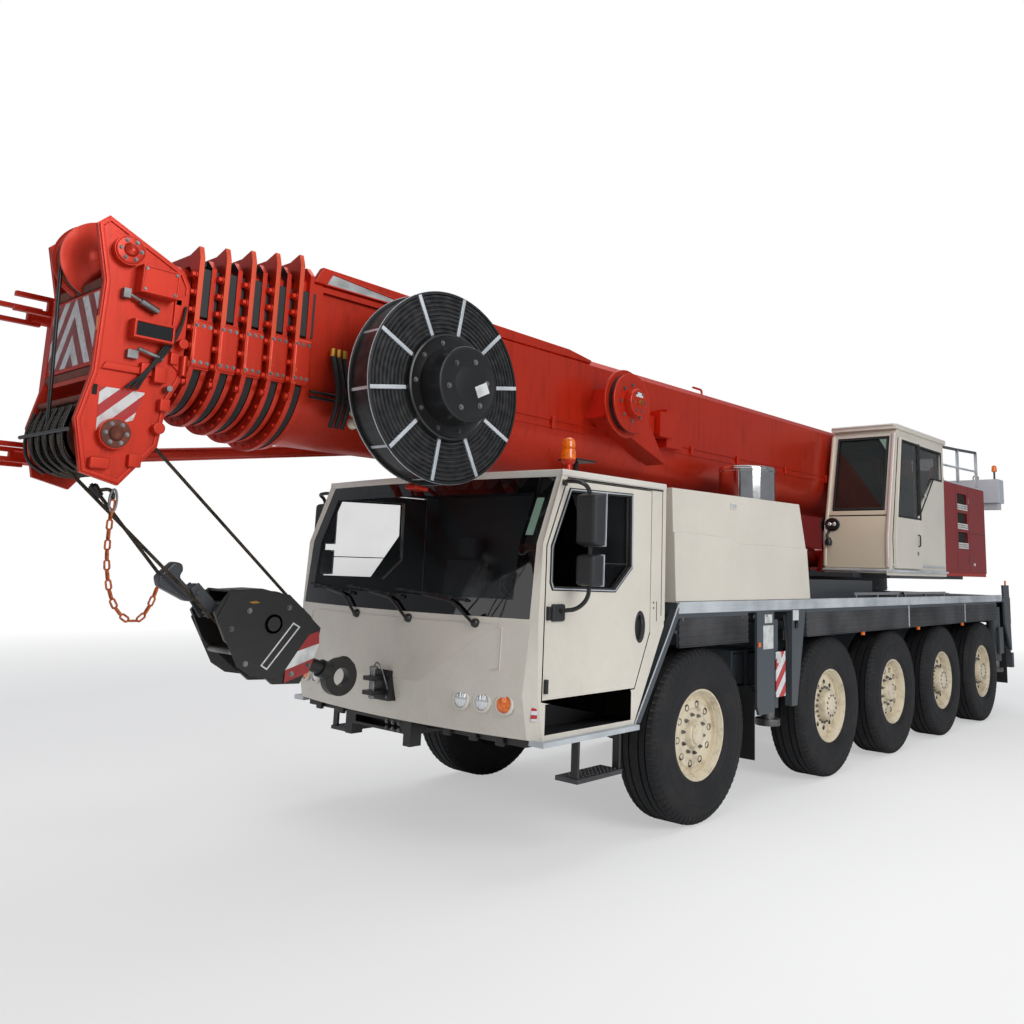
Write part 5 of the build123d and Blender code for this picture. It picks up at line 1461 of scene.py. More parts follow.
class CRANE_OT_boom(bpy.types.Operator):
    """Telescopic boom: sections with their collars, pads and hoses"""
    bl_idname = "crane.boom"
    bl_label = "Boom"

    def collar(self, half, top, front, spacing=0.108):
        """Bolts, wear pads and side boxes of one collar's left side, as painted pieces."""
        face_bolts = [at(front, half + 0.030, 3.0 + spacing * row) for row in range(7)]
        pieces = [painted(bolts(face_bolts, AHEAD, 0.021, 0.030), finish.red)]
        pad = slab("pad", front - 0.145, front - 0.028, half - 0.003, half + 0.032, 3.40, 3.70)
        pieces.append(clad(pad, finish.plastic, 0.006))
        box = slab("box", front - 0.130, front + 0.004, half - 0.004, half + 0.066, 3.085, 3.375)
        pieces.append(clad(box, finish.red, 0.022, 4))
        studs = bolts([at(front - 0.10 + 0.04 * column, half + 0.065, z) for column in range(3) for z in (3.12, 3.34)],
                      LEFT, 0.009, 0.008)
        pieces.append(painted(studs, finish.steel))
        top_pads = [slab("top_pad", front - 0.088, front - 0.03, 0.10 * place + 0.02, 0.10 * place + 0.085,
                         top - 0.002, top + 0.036) for place in range(3)]
        pieces.append(clad(joined("top_pads", top_pads), finish.plastic, 0.004))
        return pieces

    def belly(self, half, bottom, front):
        """Dark sliding pads round the underside, between the collar's two plates."""
        turns = [math.radians(angle) for angle in range(-78, 79, 12)]
        ring = under_arc(half, bottom, 0.036, turns) + under_arc(half, bottom, -0.004, turns[::-1])
        band = plate("belly", [at(front - 0.086, y, z) for y, z in ring], (0.052, 0, 0))
        studs = [at(front - 0.002, y, z) for y, z in under_arc(half, bottom, 0.034, turns[1:-1])]
        return [clad(band, finish.rubber), painted(bolts(studs, AHEAD, 0.013, 0.012), finish.red)]

    def section(self, index, node, body):
        half, top, bottom, front = SECTIONS[index]
        tube = skin(node, finish.red, 0.004)
        # painted highlight: the collar plates' outer and top edge faces take a lighter red
        repainted(tube, finish.red_edge, lambda place, normal: front - 0.029 < place.x - AXLE_1 < front + 0.001
                  and abs(normal.x) < 0.8 and (abs(place.y) > half + 0.055 or place.z > top + 0.05))
        repainted(tube, finish.black, lambda place, normal: abs(place.y) < half - 0.009 and place.z < top - 0.009
                  and place.z > bottom + 0.02 and place.x - AXLE_1 < front - 0.02 and index > 0 and abs(normal.x) > 0.9)
        left = joined("left", self.collar(half, top, front))
        parts = [tube, left, mirrored(left)] + self.belly(half, bottom, front)
        return done(joined(node + "_dressed", parts), None, body, "red_paint", [node])

    def base_fittings(self):
        """Curb with its slot on the top edge, hoses, rails and guide rollers on the base section."""
        curb = prism("curb", [(0.4, 3.818), (0.7, 3.86), (3.18, 3.905), (3.24, 3.79), (0.4, 3.79)], 0.372, 0.420)
        curb = clad(curb, finish.red, 0.006)
        slot = prism("slot", [(2.60, 3.832), (3.11, 3.872), (3.15, 3.792), (2.62, 3.792)], 0.4195, 0.4225)
        bar = framed("slot_rim", along([(2.585, 3.838), (3.115, 3.882), (3.165, 3.785), (2.60, 3.785)], 0.418), 0.012,
                     (0, 0.010, 0))
        # painted shade: a thin black disc stands for the hole in the base section's side
        hole = turned("hole", at(2.28, 0.4215, 3.64), LEFT, [(0, 0), (0, 0.022), (0.002, 0.022), (0.002, 0)], 20)
        lines = [pipe("line", [at(1.95, 0.436, z), at(3.22, 0.436, z + 0.006)], 0.010, 0, 8) for z in (3.02, 3.055)]
        hoses = []
        for step in range(3):
            x = 3.09 - 0.045 * step
            hoses.append(pipe("hose", [at(x, 0.46, 3.32), at(x - 0.01, 0.49, 3.22 - 0.03 * step),
                                       at(x - 0.03, 0.51, 3.08), at(x - 0.03, 0.50, 2.97), at(x - 0.06, 0.40, 2.86)],
                              0.017, 0.05, 8))
        tips = [turned_bar("tip", at(3.09 - 0.045 * step, 0.46, 3.31), at(3.09 - 0.045 * step, 0.459, 3.365), 0.020, 6)
                for step in range(3)]
        roller = turned("roller", at(2.872, 0.42, 2.985), LEFT,
                        [(0, 0), (0, 0.040), (0.02, 0.036), (0.05, 0.036), (0.07, 0.040), (0.072, 0.016),
                         (0.085, 0.014), (0.086, 0)], 32)
        rollers = [roller, moved(copied(roller), (0, 0, -0.085))]
        post = pipe("mast", [at(-1.62, 0.28, 3.82), at(-1.62, 0.28, 3.905), at(-1.45, 0.28, 3.905)], 0.012, 0.03)
        guides = [turned_bar("guide", at(x, -0.15, 3.868), at(x, 0.15, 3.868), 0.028, 24) for x in (-1.56, 1.5)]
        brackets = [ease(slab("clip", x - 0.02, x + 0.02, 0.428, 0.452, 3.135, 3.235), 0.004) for x in
                    (-5.4, -4.3, -3.2, -2.1, -1.2, 0.9, 1.6)]
        groups = [(curb, None), (ease(slot, 0), finish.slot), (ease(bar, 0.003), finish.red),
                  (ease(hole, 0), finish.black), (joined("lines", lines), finish.black),
                  (joined("hoses", hoses), finish.rubber), (ease(joined("tips", tips), 0.002), finish.brass),
                  (ease(joined("rollers", rollers), 0), finish.rim), (post, finish.red),
                  (ease(joined("guides", guides), 0.003), finish.steel), (joined("clips", brackets), finish.red)]
        pieces = [painted(piece, material) if material else piece for piece, material in groups]
        done(joined("boom_fittings", pieces), None, "boom_base", "red_paint")

    def execute(self, context):
        for index, node in enumerate(["boom_base"] + [f"boom_section_{step}" for step in range(1, 5)]):
            self.section(index, node, body_of(node))
        self.base_fittings()
        return {"FINISHED"}


class CRANE_OT_head(bpy.types.Operator):
    """Boom head: side plates, sheaves with their rope, warning plates and a reflector"""
    bl_idname = "crane.head"
    bl_label = "Boom head"

    def execute(self, context):
        node = "boom_head"
        body = body_of(node)
        head = skin(node, finish.red, 0.005)

        def reach(place, centre):
            return math.hypot(place.x - AXLE_1 - centre[0], place.z - centre[1])

        repainted(head, finish.roller, lambda place, normal: abs(place.y) < 0.26 and
                  reach(place, LOWER_SHEAVE) < 0.209)
        repainted(head, finish.black, lambda place, normal: abs(place.y) < 0.015 and place.x - AXLE_1 > 4.52)
        repainted(head, finish.red, lambda place, normal: abs(place.y) > 0.352 and
                  (reach(place, LOWER_SHEAVE) < 0.09 or reach(place, UPPER_SHEAVE) < 0.09))
        parts = [head] + self.sheaves() + self.plates() + self.fittings() + self.rollers()
        done(joined("boom_head_dressed", parts), None, body, "red_paint", [node])
        return {"FINISHED"}

    def sheaves(self):
        """Grooved rims with the rope's turns in them, the upper bell and the axle bosses."""
        parts = []
        groove = [(-0.030, 0.214), (-0.022, 0.218), (-0.014, 0.2125), (-0.009, 0.212), (0.0, 0.220), (0.009, 0.212),
                  (0.014, 0.2125), (0.022, 0.218), (0.030, 0.214), (0.030, 0.185), (-0.030, 0.185), (-0.030, 0.214)]
        for y in (-0.210, -0.105, 0, 0.105, 0.210):
            rim = turned("rim", at(LOWER_SHEAVE[0], y, LOWER_SHEAVE[1]), LEFT, groove, 64)
            parts.append(clad(rim, finish.rope))
        upper = [(along_it, radius + 0.006) for along_it, radius in groove]
        rim = turned("rim", at(UPPER_SHEAVE[0], 0, UPPER_SHEAVE[1]), LEFT, upper, 64)
        parts.append(clad(rim, finish.roller))
        bell = [(-0.075, 0.236), (-0.060, 0.238), (-0.052, 0.226), (-0.050, 0.215), (0.0, 0.212), (0.020, 0.216),
                (0.026, 0.232), (0.040, 0.232), (0.050, 0.190), (0.080, 0.120), (0.140, 0.085), (0.250, 0.078),
                (0.262, 0.105), (0.300, 0.105), (0.300, 0.0)]
        wheel = turned("bell", at(UPPER_SHEAVE[0], 0, UPPER_SHEAVE[1]), LEFT, [(-0.075, 0.0)] + bell, 72)
        parts.append(clad(wheel, finish.red))
        for centre in (UPPER_SHEAVE, LOWER_SHEAVE):
            boss = turned("boss", at(centre[0], 0.392, centre[1]), LEFT,
                          [(0, 0), (0, 0.078), (0.010, 0.078), (0.014, 0.070), (0.014, 0.040), (0.030, 0.036),
                           (0.034, 0.028), (0.026, 0.018), (0.026, 0)], 40)
            ring = ringed(bolt(at(centre[0] + 0.056, 0.405, centre[1]), LEFT, 0.009, 0.010), 6, LEFT,
                          at(centre[0], 0.4, centre[1]))
            colour = finish.red if centre == UPPER_SHEAVE else finish.roller
            cap = joined("cap", [clad(boss, colour), painted(ring, finish.steel)])
            parts += [cap, mirrored(cap)]
        return parts

    def plates(self):
        """Screen box, plain box and warning plates."""
        parts = []
        screen = slab("screen", 4.128, 4.322, 0.4195, 0.423, 3.196, 3.274)
        shade = framed("shade", along([(4.112, 3.182), (4.338, 3.182), (4.338, 3.288), (4.112, 3.288)], 0.418), 0.014,
                       (0, 0.014, 0))
        lid = framed("lid", along([(4.122, 3.442), (4.328, 3.442), (4.328, 3.598), (4.122, 3.598)], 0.4395), 0.010,
                     (0, 0.006, 0))
        parts += [painted(screen, finish.screen), clad(shade, finish.red, 0.003),
                  clad(lid, finish.red, 0.002)]
        parts.append(painted(bolts([at(4.14 + 0.17 * a, 0.440, 3.46 + 0.12 * b) for a in (0, 1) for b in (0, 1)],
                                   LEFT, 0.008, 0.008), finish.steel))
        stripes = prism("stripes", [(4.212, 2.893), (4.451, 2.893), (4.446, 2.650), (4.261, 2.729)], 0.3495, 0.3530)
        parts.append(painted(stripes, finish.warning_stripes))
        # painted shade: a dark plate stands for the opening in the side plate
        window = prism("window", [(4.462, 2.842), (4.488, 2.842), (4.488, 2.90), (4.462, 2.90)], 0.349, 0.3515)
        parts.append(painted(window, finish.dark_hole))
        return parts

    def fittings(self):
        """Edge flanges, lugs, hose bundle and small parts on the side plates."""
        parts = []
        edge = [(4.02, 3.01), (4.02, 3.555), (4.063, 3.632), (4.498, 3.842), (4.552, 3.787), (4.482, 3.48),
                (4.492, 2.97), (4.552, 2.70), (4.494, 2.426), (4.302, 2.373), (4.118, 2.602), (4.086, 2.862)]
        rim_plates = framed("rim_plate", along(edge, 0.349), 0.022, (0, 0.010, 0))
        parts.append(clad(rim_plates, finish.red, 0.003))
        lugs = [slab("lug", 4.12, 4.19, 0.349, 0.400, 2.955, 3.045), slab("lug", 4.21, 4.26, 0.349, 0.385, 2.98, 3.06),
                slab("lug", 4.08, 4.14, 0.349, 0.395, 2.80, 2.87), slab("lug", 4.37, 4.47, 0.349, 0.392, 2.445, 2.505),
                slab("lug", 4.20, 4.27, 0.349, 0.380, 2.47, 2.54), slab("lug", 4.05, 4.10, 0.349, 0.378, 3.08, 3.15),
                turned_bar("lug", at(4.02, 0.37, 3.02), at(4.02, 0.37, 3.14), 0.022, 20),
                turned_bar("lug", at(4.05, 0.30, 3.20), at(4.05, 0.42, 3.20), 0.030, 24),
                turned_bar("lug", at(4.13, 0.30, 2.70), at(4.13, 0.40, 2.70), 0.034, 24)]
        parts.append(clad(joined("lugs", lugs), finish.red, 0.006))
        small = [slab("clip", 4.14, 4.18, 0.352, 0.386, 3.085, 3.125),
                 slab("clip", 4.28, 4.34, 0.352, 0.384, 3.07, 3.12),
                 turned_bar("clip", at(4.17, 0.388, 3.10), at(4.29, 0.388, 3.13), 0.012, 12),
                 turned_bar("clip", at(4.10, 0.36, 2.93), at(4.10, 0.41, 2.93), 0.018, 16)]
        parts.append(clad(joined("clips", small), finish.steel, 0.003))
        hose = [pipe("hose", [at(4.04, 0.375, 3.43), at(4.06, 0.392, 3.30), at(4.12 + 0.02 * k, 0.392, 3.15),
                              at(4.22, 0.392, 3.02), at(4.27 + 0.03 * k, 0.380, 2.90)], 0.008, 0.06, 8)
                for k in range(3)]
        parts.append(painted(joined("hoses", hose), finish.rubber))
        tab = slab("tab", 4.06, 4.095, 0.352, 0.362, 3.432, 3.468)
        parts.append(clad(tab, finish.pale_plate, 0.003))
        board = slab("chevron", 4.4895, 4.4935, -0.315, 0.305, 3.03, 3.425)
        parts.append(painted(board, finish.chevrons))
        # painted glow: the reflector takes the amber lens finish, which glows faintly
        reflector = slab("reflector", 4.4905, 4.496, 0.315, 0.345, 3.20, 3.28)
        parts.append(clad(reflector, finish.amber, 0.002))
        return parts

    def rollers(self):
        """Rollers, rope guards, the little cylinder and gussets."""
        parts = []
        for x, z, radius in ((4.455, 3.485, 0.042), (4.462, 2.985, 0.036), (4.50, 2.83, 0.022)):
            roller = turned("roller", at(x, -0.315, z), LEFT,
                            [(0, 0), (0, radius), (0.02, radius), (0.03, radius * 0.86), (0.60, radius * 0.86),
                             (0.61, radius), (0.63, radius), (0.63, 0)], 28)
            parts.append(clad(roller, finish.roller))
        guards = [pipe("guard", [at(4.46, y, 2.44), at(4.56, y, 2.50), at(4.585, y, 2.64), at(4.545, y, 2.78)], 0.010,
                        0.05, 8) for y in (-0.26, -0.157, -0.052, 0.052, 0.157, 0.26)]
        guards.append(pipe("guard", [at(4.582, -0.335, 2.64), at(4.582, 0.335, 2.64)], 0.012, 0, 8))
        parts.append(painted(joined("guards", guards), finish.black))
        ram = [turned_bar("ram", at(4.20, 0.385, 3.36), at(4.30, 0.385, 3.40), 0.020, 16),
               turned_bar("ram", at(4.29, 0.385, 3.396), at(4.37, 0.385, 3.428), 0.010, 12),
               slab("link", 4.36, 4.40, 0.352, 0.395, 3.40, 3.455)]
        parts.append(clad(joined("ram", ram), finish.steel, 0.002))
        gussets = [prism("gusset", [(4.02, 3.03), (4.02, 3.52), (4.10, 3.46), (4.10, 3.09)], 0.349, 0.362),
                   prism("gusset", [(4.16, 2.99), (4.46, 2.99), (4.44, 3.03), (4.18, 3.03)], 0.349, 0.368)]
        parts.append(clad(joined("gussets", gussets), finish.red, 0.004))
        return parts


REEL, REEL_R = (2.550, 3.140), 0.640
DRUM = (0.250, 3.420)


class CRANE_OT_reels(bpy.types.Operator):
    """Cable reel and small drum on the boom's left side"""
    bl_idname = "crane.reels"
    bl_label = "Cable reels"

    def cable_reel(self, spokes=10, turns=10):
        centre = at(REEL[0], 0, REEL[1])

        def spun(name, y, profile, steps=80):
            return ease(turned(name, centre + Vector((0, y, 0)), LEFT, profile, steps), 0)

        parts = [painted(spun("back_plate", 0.795, [(0, 0.076), (0, 0.63), (0.006, 0.63), (0.006, 0.076)]),
                         finish.black)]
        # wound cable: one round ridge a turn on both faces
        coil = [(0.0, 0.30)]
        pitch = (0.622 - 0.33) / turns
        for turn in range(turns):
            inner = 0.33 + pitch * turn
            coil += [(-0.004, inner + 0.002), (-0.014, inner + pitch * 0.3), (-0.014, inner + pitch * 0.7),
                     (-0.004, inner + pitch - 0.002)]
        front = [(0.176 - along_it, radius) for along_it, radius in coil]
        parts.append(painted(spun("coil", 0.808, coil + front[::-1]), finish.cable))
        flange = [(0, 0.20), (0, 0.350), (0.018, 0.360), (0.040, 0.352), (0.044, 0.340), (0.030, 0.325), (0.030, 0.262),
                  (0.200, 0.250), (0.207, 0.243), (0.207, 0.215), (0.200, 0.208), (0.196, 0.120), (0.204, 0.112),
                  (0.204, 0)]
        parts.append(painted(spun("hub", 0.993, flange), finish.black))
        for y in (0.790, 0.985):
            rim = [(0, REEL_R - 0.020), (0, REEL_R - 0.003), (0.003, REEL_R), (0.013, REEL_R), (0.016, REEL_R - 0.003),
                   (0.016, REEL_R - 0.020), (0, REEL_R - 0.020)]
            parts.append(painted(spun("rim", y, rim, 96), finish.black))
            bright = [(0.004, REEL_R - 0.001), (0.004, REEL_R + 0.002), (0.010, REEL_R + 0.002),
                      (0.010, REEL_R - 0.001), (0.004, REEL_R - 0.001)]
            parts.append(painted(spun("bright", y, bright, 96), finish.silver))
        bars = []
        for y in (0.788, 0.988):
            bars.append(ringed(ease(slab("spoke", REEL[0] + 0.335, REEL[0] + REEL_R - 0.008, y, y + 0.018,
                                         REEL[1] - 0.013, REEL[1] + 0.013), 0.003), spokes, LEFT, centre,
                               math.tau * 0.25 / spokes))
        bars.append(ringed(ease(slab("tie", REEL[0] + REEL_R - 0.03, REEL[0] + REEL_R - 0.018, 0.80, 0.99,
                                     REEL[1] - 0.010, REEL[1] + 0.010), 0.002), spokes, LEFT, centre,
                           math.tau * 0.25 / spokes))
        parts.append(painted(joined("spokes", bars), finish.silver))
        end = ringed(bolt(at(REEL[0] + 0.165, 1.190, REEL[1]), LEFT, 0.014, 0.013), 6, LEFT, centre, 0.2)
        ring = ringed(bolt(at(REEL[0] + 0.295, 1.022, REEL[1]), LEFT, 0.012, 0.012), 10, LEFT, centre)
        parts.append(painted(joined("reel_bolts", [end, ring]), finish.steel))
        label = slab("labels", REEL[0] - 0.15, REEL[0] - 0.04, 1.199, 1.2025, REEL[1] - 0.105, REEL[1] - 0.030)
        parts.append(painted(rotated(label, 0.45, LEFT, centre), finish.pale_plate))
        done(joined("cable_reel_dressed", parts), None, body_of("cable_reel"), "black_steel", ["cable_reel"])

    def small_drum(self):
        centre = at(DRUM[0], 0, DRUM[1])

        def spun(name, y, profile):
            return ease(turned(name, centre + Vector((0, y, 0)), LEFT, profile, 72), 0)

        body = [(0, 0.06), (0, 0.292), (0.004, 0.300), (0.026, 0.300), (0.030, 0.292), (0.030, 0.242), (0.074, 0.242),
                (0.076, 0.254), (0.080, 0.260), (0.096, 0.260), (0.100, 0.254), (0.100, 0.200), (0.092, 0.190),
                (0.092, 0.125), (0.160, 0.120), (0.170, 0.110), (0.170, 0.030), (0.178, 0.026), (0.178, 0)]
        parts = [painted(spun("drum", 0.680, body), finish.red)]
        wound = [(0.032, 0.240)]
        for turn in range(4):
            wound += [(0.034 + 0.010 * turn, 0.252), (0.041 + 0.010 * turn, 0.252), (0.0425 + 0.010 * turn, 0.247)]
        parts.append(painted(spun("wound", 0.680, wound + [(0.073, 0.240)]), finish.cable))
        ring = ringed(bolt(at(DRUM[0] + 0.160, 0.772, DRUM[1]), LEFT, 0.012, 0.014), 8, LEFT, centre)
        hub = ringed(bolt(at(DRUM[0] + 0.085, 0.849, DRUM[1]), LEFT, 0.009, 0.010), 6, LEFT, centre)
        parts.append(painted(joined("drum_bolts", [ring, hub]), finish.steel))
        label = slab("label", DRUM[0] - 0.05, DRUM[0] + 0.05, 0.8495, 0.852, DRUM[1] + 0.045, DRUM[1] + 0.085)
        parts.append(painted(label, finish.pale_plate))
        nipple = turned("nipple", centre + Vector((0, 0.855, 0)), LEFT,
                        [(0, 0), (0, 0.024), (0.012, 0.024), (0.014, 0.014), (0.030, 0.012), (0.030, 0)], 6)
        parts.append(painted(nipple, finish.brass))
        done(joined("small_drum_dressed", parts), None, body_of("small_drum"), "red_paint", ["small_drum"])

    def reel_stand(self):
        """Red arms behind the reel, with guards outside its rim."""
        centre = at(REEL[0], 0, REEL[1])
        parts = []
        for angle in (95, 150, 275):
            arm = slab("arm", REEL[0] + 0.05, REEL[0] + 0.675, 0.752, 0.776, REEL[1] - 0.035, REEL[1] + 0.035)
            guard = slab("guard", REEL[0] + 0.652, REEL[0] + 0.680, 0.752, 0.860, REEL[1] - 0.055, REEL[1] + 0.055)
            parts += [rotated(ease(piece, 0.006), -math.radians(angle), LEFT, centre) for piece in (arm, guard)]
        done(joined("reel_stand", parts), finish.red, "boom_base", "red_paint")

    def execute(self, context):
        self.cable_reel()
        self.reel_stand()
        self.small_drum()
        return {"FINISHED"}


RAIL_X0, RAIL_X1 = -8.346, 0.360


class CRANE_OT_deck(bpy.types.Operator):
    """Deck: aluminium rails, ribbed guards, side panels, plates, bars and rear steps"""
    bl_idname = "crane.deck"
    bl_label = "Deck"

    def rails(self):
        profile = [(1.358, 1.650), (1.366, 1.650), (1.366, 1.676), (1.372, 1.680), (1.372, 1.692), (1.366, 1.696),
                   (1.366, 1.724), (1.374, 1.728), (1.374, 1.741), (1.340, 1.744), (1.340, 1.738), (1.358, 1.736)]
        rail = plate("rail", [at(RAIL_X0, y, z) for y, z in profile], (RAIL_X1 - RAIL_X0, 0, 0))
        done(both("deck_rails", ease(rail, 0.0015)), finish.silver, "carrier", "polished_steel")

    def guards(self):
        sheets = []
        for rear, front in ((-0.730, 0.350), (-8.09, -1.85)):
            ribs = [(1.396 + 0.048 * rib, 1.412 + 0.048 * rib) for rib in range(5)]
            profile = [(1.3555, 1.389)]
            for low, high in ribs:
                profile += [(1.361, low - 0.003), (1.3665, low), (1.3665, high), (1.361, high + 0.003)]
            profile.append((1.3555, 1.643))
            sheet = plate("guard", [at(rear, y, z) for y, z in profile], (front - rear, 0, 0))
            sheets.append(ease(sheet, 0))
            sheets.append(slab("lip", rear, front, 1.330, 1.3685, 1.383, 1.392))
        seams = [slab("seam", x - 0.012, x + 0.012, 1.360, 1.3695, 1.392, 1.642) for x in (-4.543, -6.62)]
        done(both("guard_sheets", joined("guards", sheets)), finish.guard, "carrier", "polished_steel")
        done(both("guard_seams", ease(joined("seams", seams), 0.002)), finish.silver, "carrier", "polished_steel")

    def side_panels(self):
        # painted highlight: a pale line along the fender's front edge, where its edge face catches the light
        edge = pipe("edge", along([(0.352, 1.730), (0.474, 1.528), (0.908, 0.872)], 1.3595), 0.006, 0.05, 8)
        studs = bolts([at(0.30 + 0.1 * a, 1.360, 1.60 - 0.09 * a) for a in (0, 1)] +
                      [at(x, 1.360, 1.60) for x in (-0.62, -0.83, -1.06)], LEFT, 0.011, 0.008)
        done(both("fender_edges", joined("edges", [painted(edge, finish.pale_grey), painted(studs, finish.steel)])),
             None, "carrier", "polished_steel")
        plates = [slab("plate", -1.000, -1.185, 1.359, 1.363, 1.305, 1.515),
                  slab("plate", -1.030, -1.165, 1.359, 1.363, 1.535, 1.612)]
        done(ease(joined("blank_plates", plates), 0.002), finish.pale_plate, "carrier", "polished_steel")
        board = slab("left_striped_board", -1.275, -1.452, 1.334, 1.342, 0.862, 1.268)
        done(mirrored(board, "right_striped_board"), finish.board_stripes, "carrier", "lamp_amber")
        done(board, finish.board_stripes, "outrigger_beam_front_left", "lamp_amber")
        label = slab("label", -1.292, -1.372, 1.3405, 1.3425, 1.165, 1.262)
        carrier = slab("post", -1.36, -1.39, 1.20, 1.336, 0.90, 0.93)
        done(both("board_labels", joined("labels", [painted(label, finish.pale_plate),
                                                    painted(carrier, finish.black)])), None, "carrier",
             "polished_steel")
        bracket = prism("bracket", [(-1.575, 1.642), (-1.690, 1.642), (-1.690, 1.545), (-1.575, 1.545)], 1.358, 1.364)
        lamp = turned("lamp", at(-1.640, 1.362, 1.50), LEFT, [(0, 0), (0, 0.030), (0.012, 0.030), (0.018, 0.0)],
                      24)
        tag = joined("tag", [clad(bracket, finish.pale_plate, 0.003), clad(lamp, finish.black),
                             painted(slab("clip", -1.61, -1.67, 1.34, 1.36, 1.47, 1.55), finish.black)])
        done(both("bracket_tags", tag), None, "carrier", "polished_steel")
        flap = slab("flap", -0.905, -0.893, 0.97, 1.33, 0.36, 0.93)
        low = slab("flap_rear", -8.62, -8.608, 0.97, 1.33, 0.42, 0.95)
        done(both("mud_flaps", ease(joined("flaps", [flap, low]), 0.004)), finish.rubber, "carrier", "black_steel")
        # hydraulic lines and a valve behind the panel
        lines = [pipe("line", [at(-1.50, 1.30, 1.60 - 0.02 * k), at(-1.53 - 0.02 * k, 1.315, 1.30),
                               at(-1.50, 1.28, 1.05 - 0.05 * k), at(-1.40, 1.20, 0.95)], 0.011, 0.08, 8)
                 for k in range(3)]
        valve = ease(slab("valve", -1.48, -1.56, 1.20, 1.31, 1.36, 1.46), 0.008)
        done(both("valves_and_lines", joined("lines", lines + [valve])), finish.black, "carrier", "black_steel")

    def execute(self, context):
        node = "deck_and_guards"
        deck = skin(node, finish.grey, 0.004)
        repainted(deck, finish.chrome, lambda place, normal: 1.742 < place.z < 1.81 and 1.27 < abs(place.y) < 1.31)
        repainted(deck, finish.black, lambda place, normal: place.x - AXLE_1 < -8.84)
        repainted(deck, finish.dark_grey, lambda place, normal: place.z > 1.745 and abs(place.y) < 1.2)
        done(deck, None, "carrier", "deck_grey", [node])
        self.rails()
        self.guards()
        self.side_panels()
        # tread plate strips on the deck and bumper boards at the rear
        studs = [slab("rib", x - 0.05, x + 0.05, y - 0.006, y + 0.006, 1.735, 1.742)
                 for x in [-4.3 - 0.16 * step for step in range(24)] for y in (1.16, 1.20)]
        done(both("tread_ribs", joined("ribs", studs)), finish.guard, "carrier", "polished_steel")
        board = plate("board", [at(-8.902, y, z) for y, z in ((0.30, 0.66), (0.30, 0.84), (1.33, 0.84), (1.33, 0.66))],
                      (-0.004, 0, 0))
        done(both("rear_boards", board), finish.board_stripes_y, "carrier", "lamp_amber")
        return {"FINISHED"}


class CRANE_OT_cover(bpy.types.Operator):
    """Engine cover and the silencer above it"""
    bl_idname = "crane.cover"
    bl_label = "Engine cover and exhaust"

    def execute(self, context):
        cover = skin("engine_cover", finish.cream, 0.016)
        done(cover, None, "carrier", "cream_paint", ["engine_cover"])
        crease = pipe("crease", along([(0.425, 2.284), (-0.428, 2.274), (-0.585, 2.223), (-1.886, 2.223)], 1.3545),
                      0.007, 0.05, 8)
        joint = pipe("joint", along([(0.401, 1.744), (-1.945, 1.744)], 1.357), 0.004, 0, 8)
        handle = framed("handle", along([(-0.435, 2.585), (-0.545, 2.585), (-0.545, 2.530), (-0.435, 2.530)], 1.347),
                        0.012, (0, 0.012, 0))
        latch = slab("latch", -0.455, -0.525, 1.347, 1.352, 2.545, 2.572)
        pieces = [painted(crease, finish.cream_light), painted(joint, finish.rubber),
                  clad(handle, finish.cream_light, 0.003), painted(latch, finish.silver)]
        done(both("cover_trim", joined("trim", pieces)), None, "carrier", "cream_paint")
        slats = [prism("slat", [(0.20 - 0.075 * k, 2.651), (0.16 - 0.075 * k, 2.651), (0.145 - 0.075 * k, 2.668),
                                (0.17 - 0.075 * k, 2.668)], -1.1, -0.55) for k in range(14)]
        done(joined("cooling_slats", slats), finish.plastic, "carrier", "black_steel")
        x, y, top = -1.68, 0.80, 3.040
        drum = turned("drum", at(x, y, 2.50), UP, [(0, 0), (0, 0.286), (0.492, 0.286), (0.496, 0.291), (0.516, 0.291),
                                                   (0.520, 0.286), (0.532, 0.286), (0.540, 0.280), (0.540, 0.255),
                                                   (0.530, 0.245), (0.530, 0.0)], 96)
        band = turned("band", at(x, y, 2.66), UP, [(0, 0.284), (0, 0.290), (0.03, 0.290), (0.03, 0.284), (0, 0.284)],
                      96)
        cap = turned("cap", at(x, y, top - 0.008), UP,
                     [(0, 0.0), (0, 0.262), (0.006, 0.258), (0.020, 0.20), (0.024, 0)], 64)
        stub = turned("stub", at(x - 0.26, y, 2.95), (-1, 0, 0),
                      [(0, 0.058), (0.16, 0.062), (0.17, 0.068), (0.185, 0.068), (0.19, 0.062), (0.219, 0.064),
                       (0.219, 0.056), (0.10, 0.054), (0.10, 0)], 40)
        posts = [pipe("post", [at(-1.83, 0.74, 2.45), at(-1.83, 0.74, 3.062)], 0.026),
                 pipe("post", [at(-2.03, 0.86, 2.40), at(-2.03, 0.86, 3.05)], 0.012)]
        parts = [clad(drum, finish.chrome), clad(band, finish.steel),
                 clad(cap, finish.heat_steel), clad(stub, finish.heat_steel),
                 painted(joined("posts", posts), finish.chrome)]
        done(joined("exhaust_dressed", parts), None, "carrier", "polished_steel", ["exhaust"])
        return {"FINISHED"}


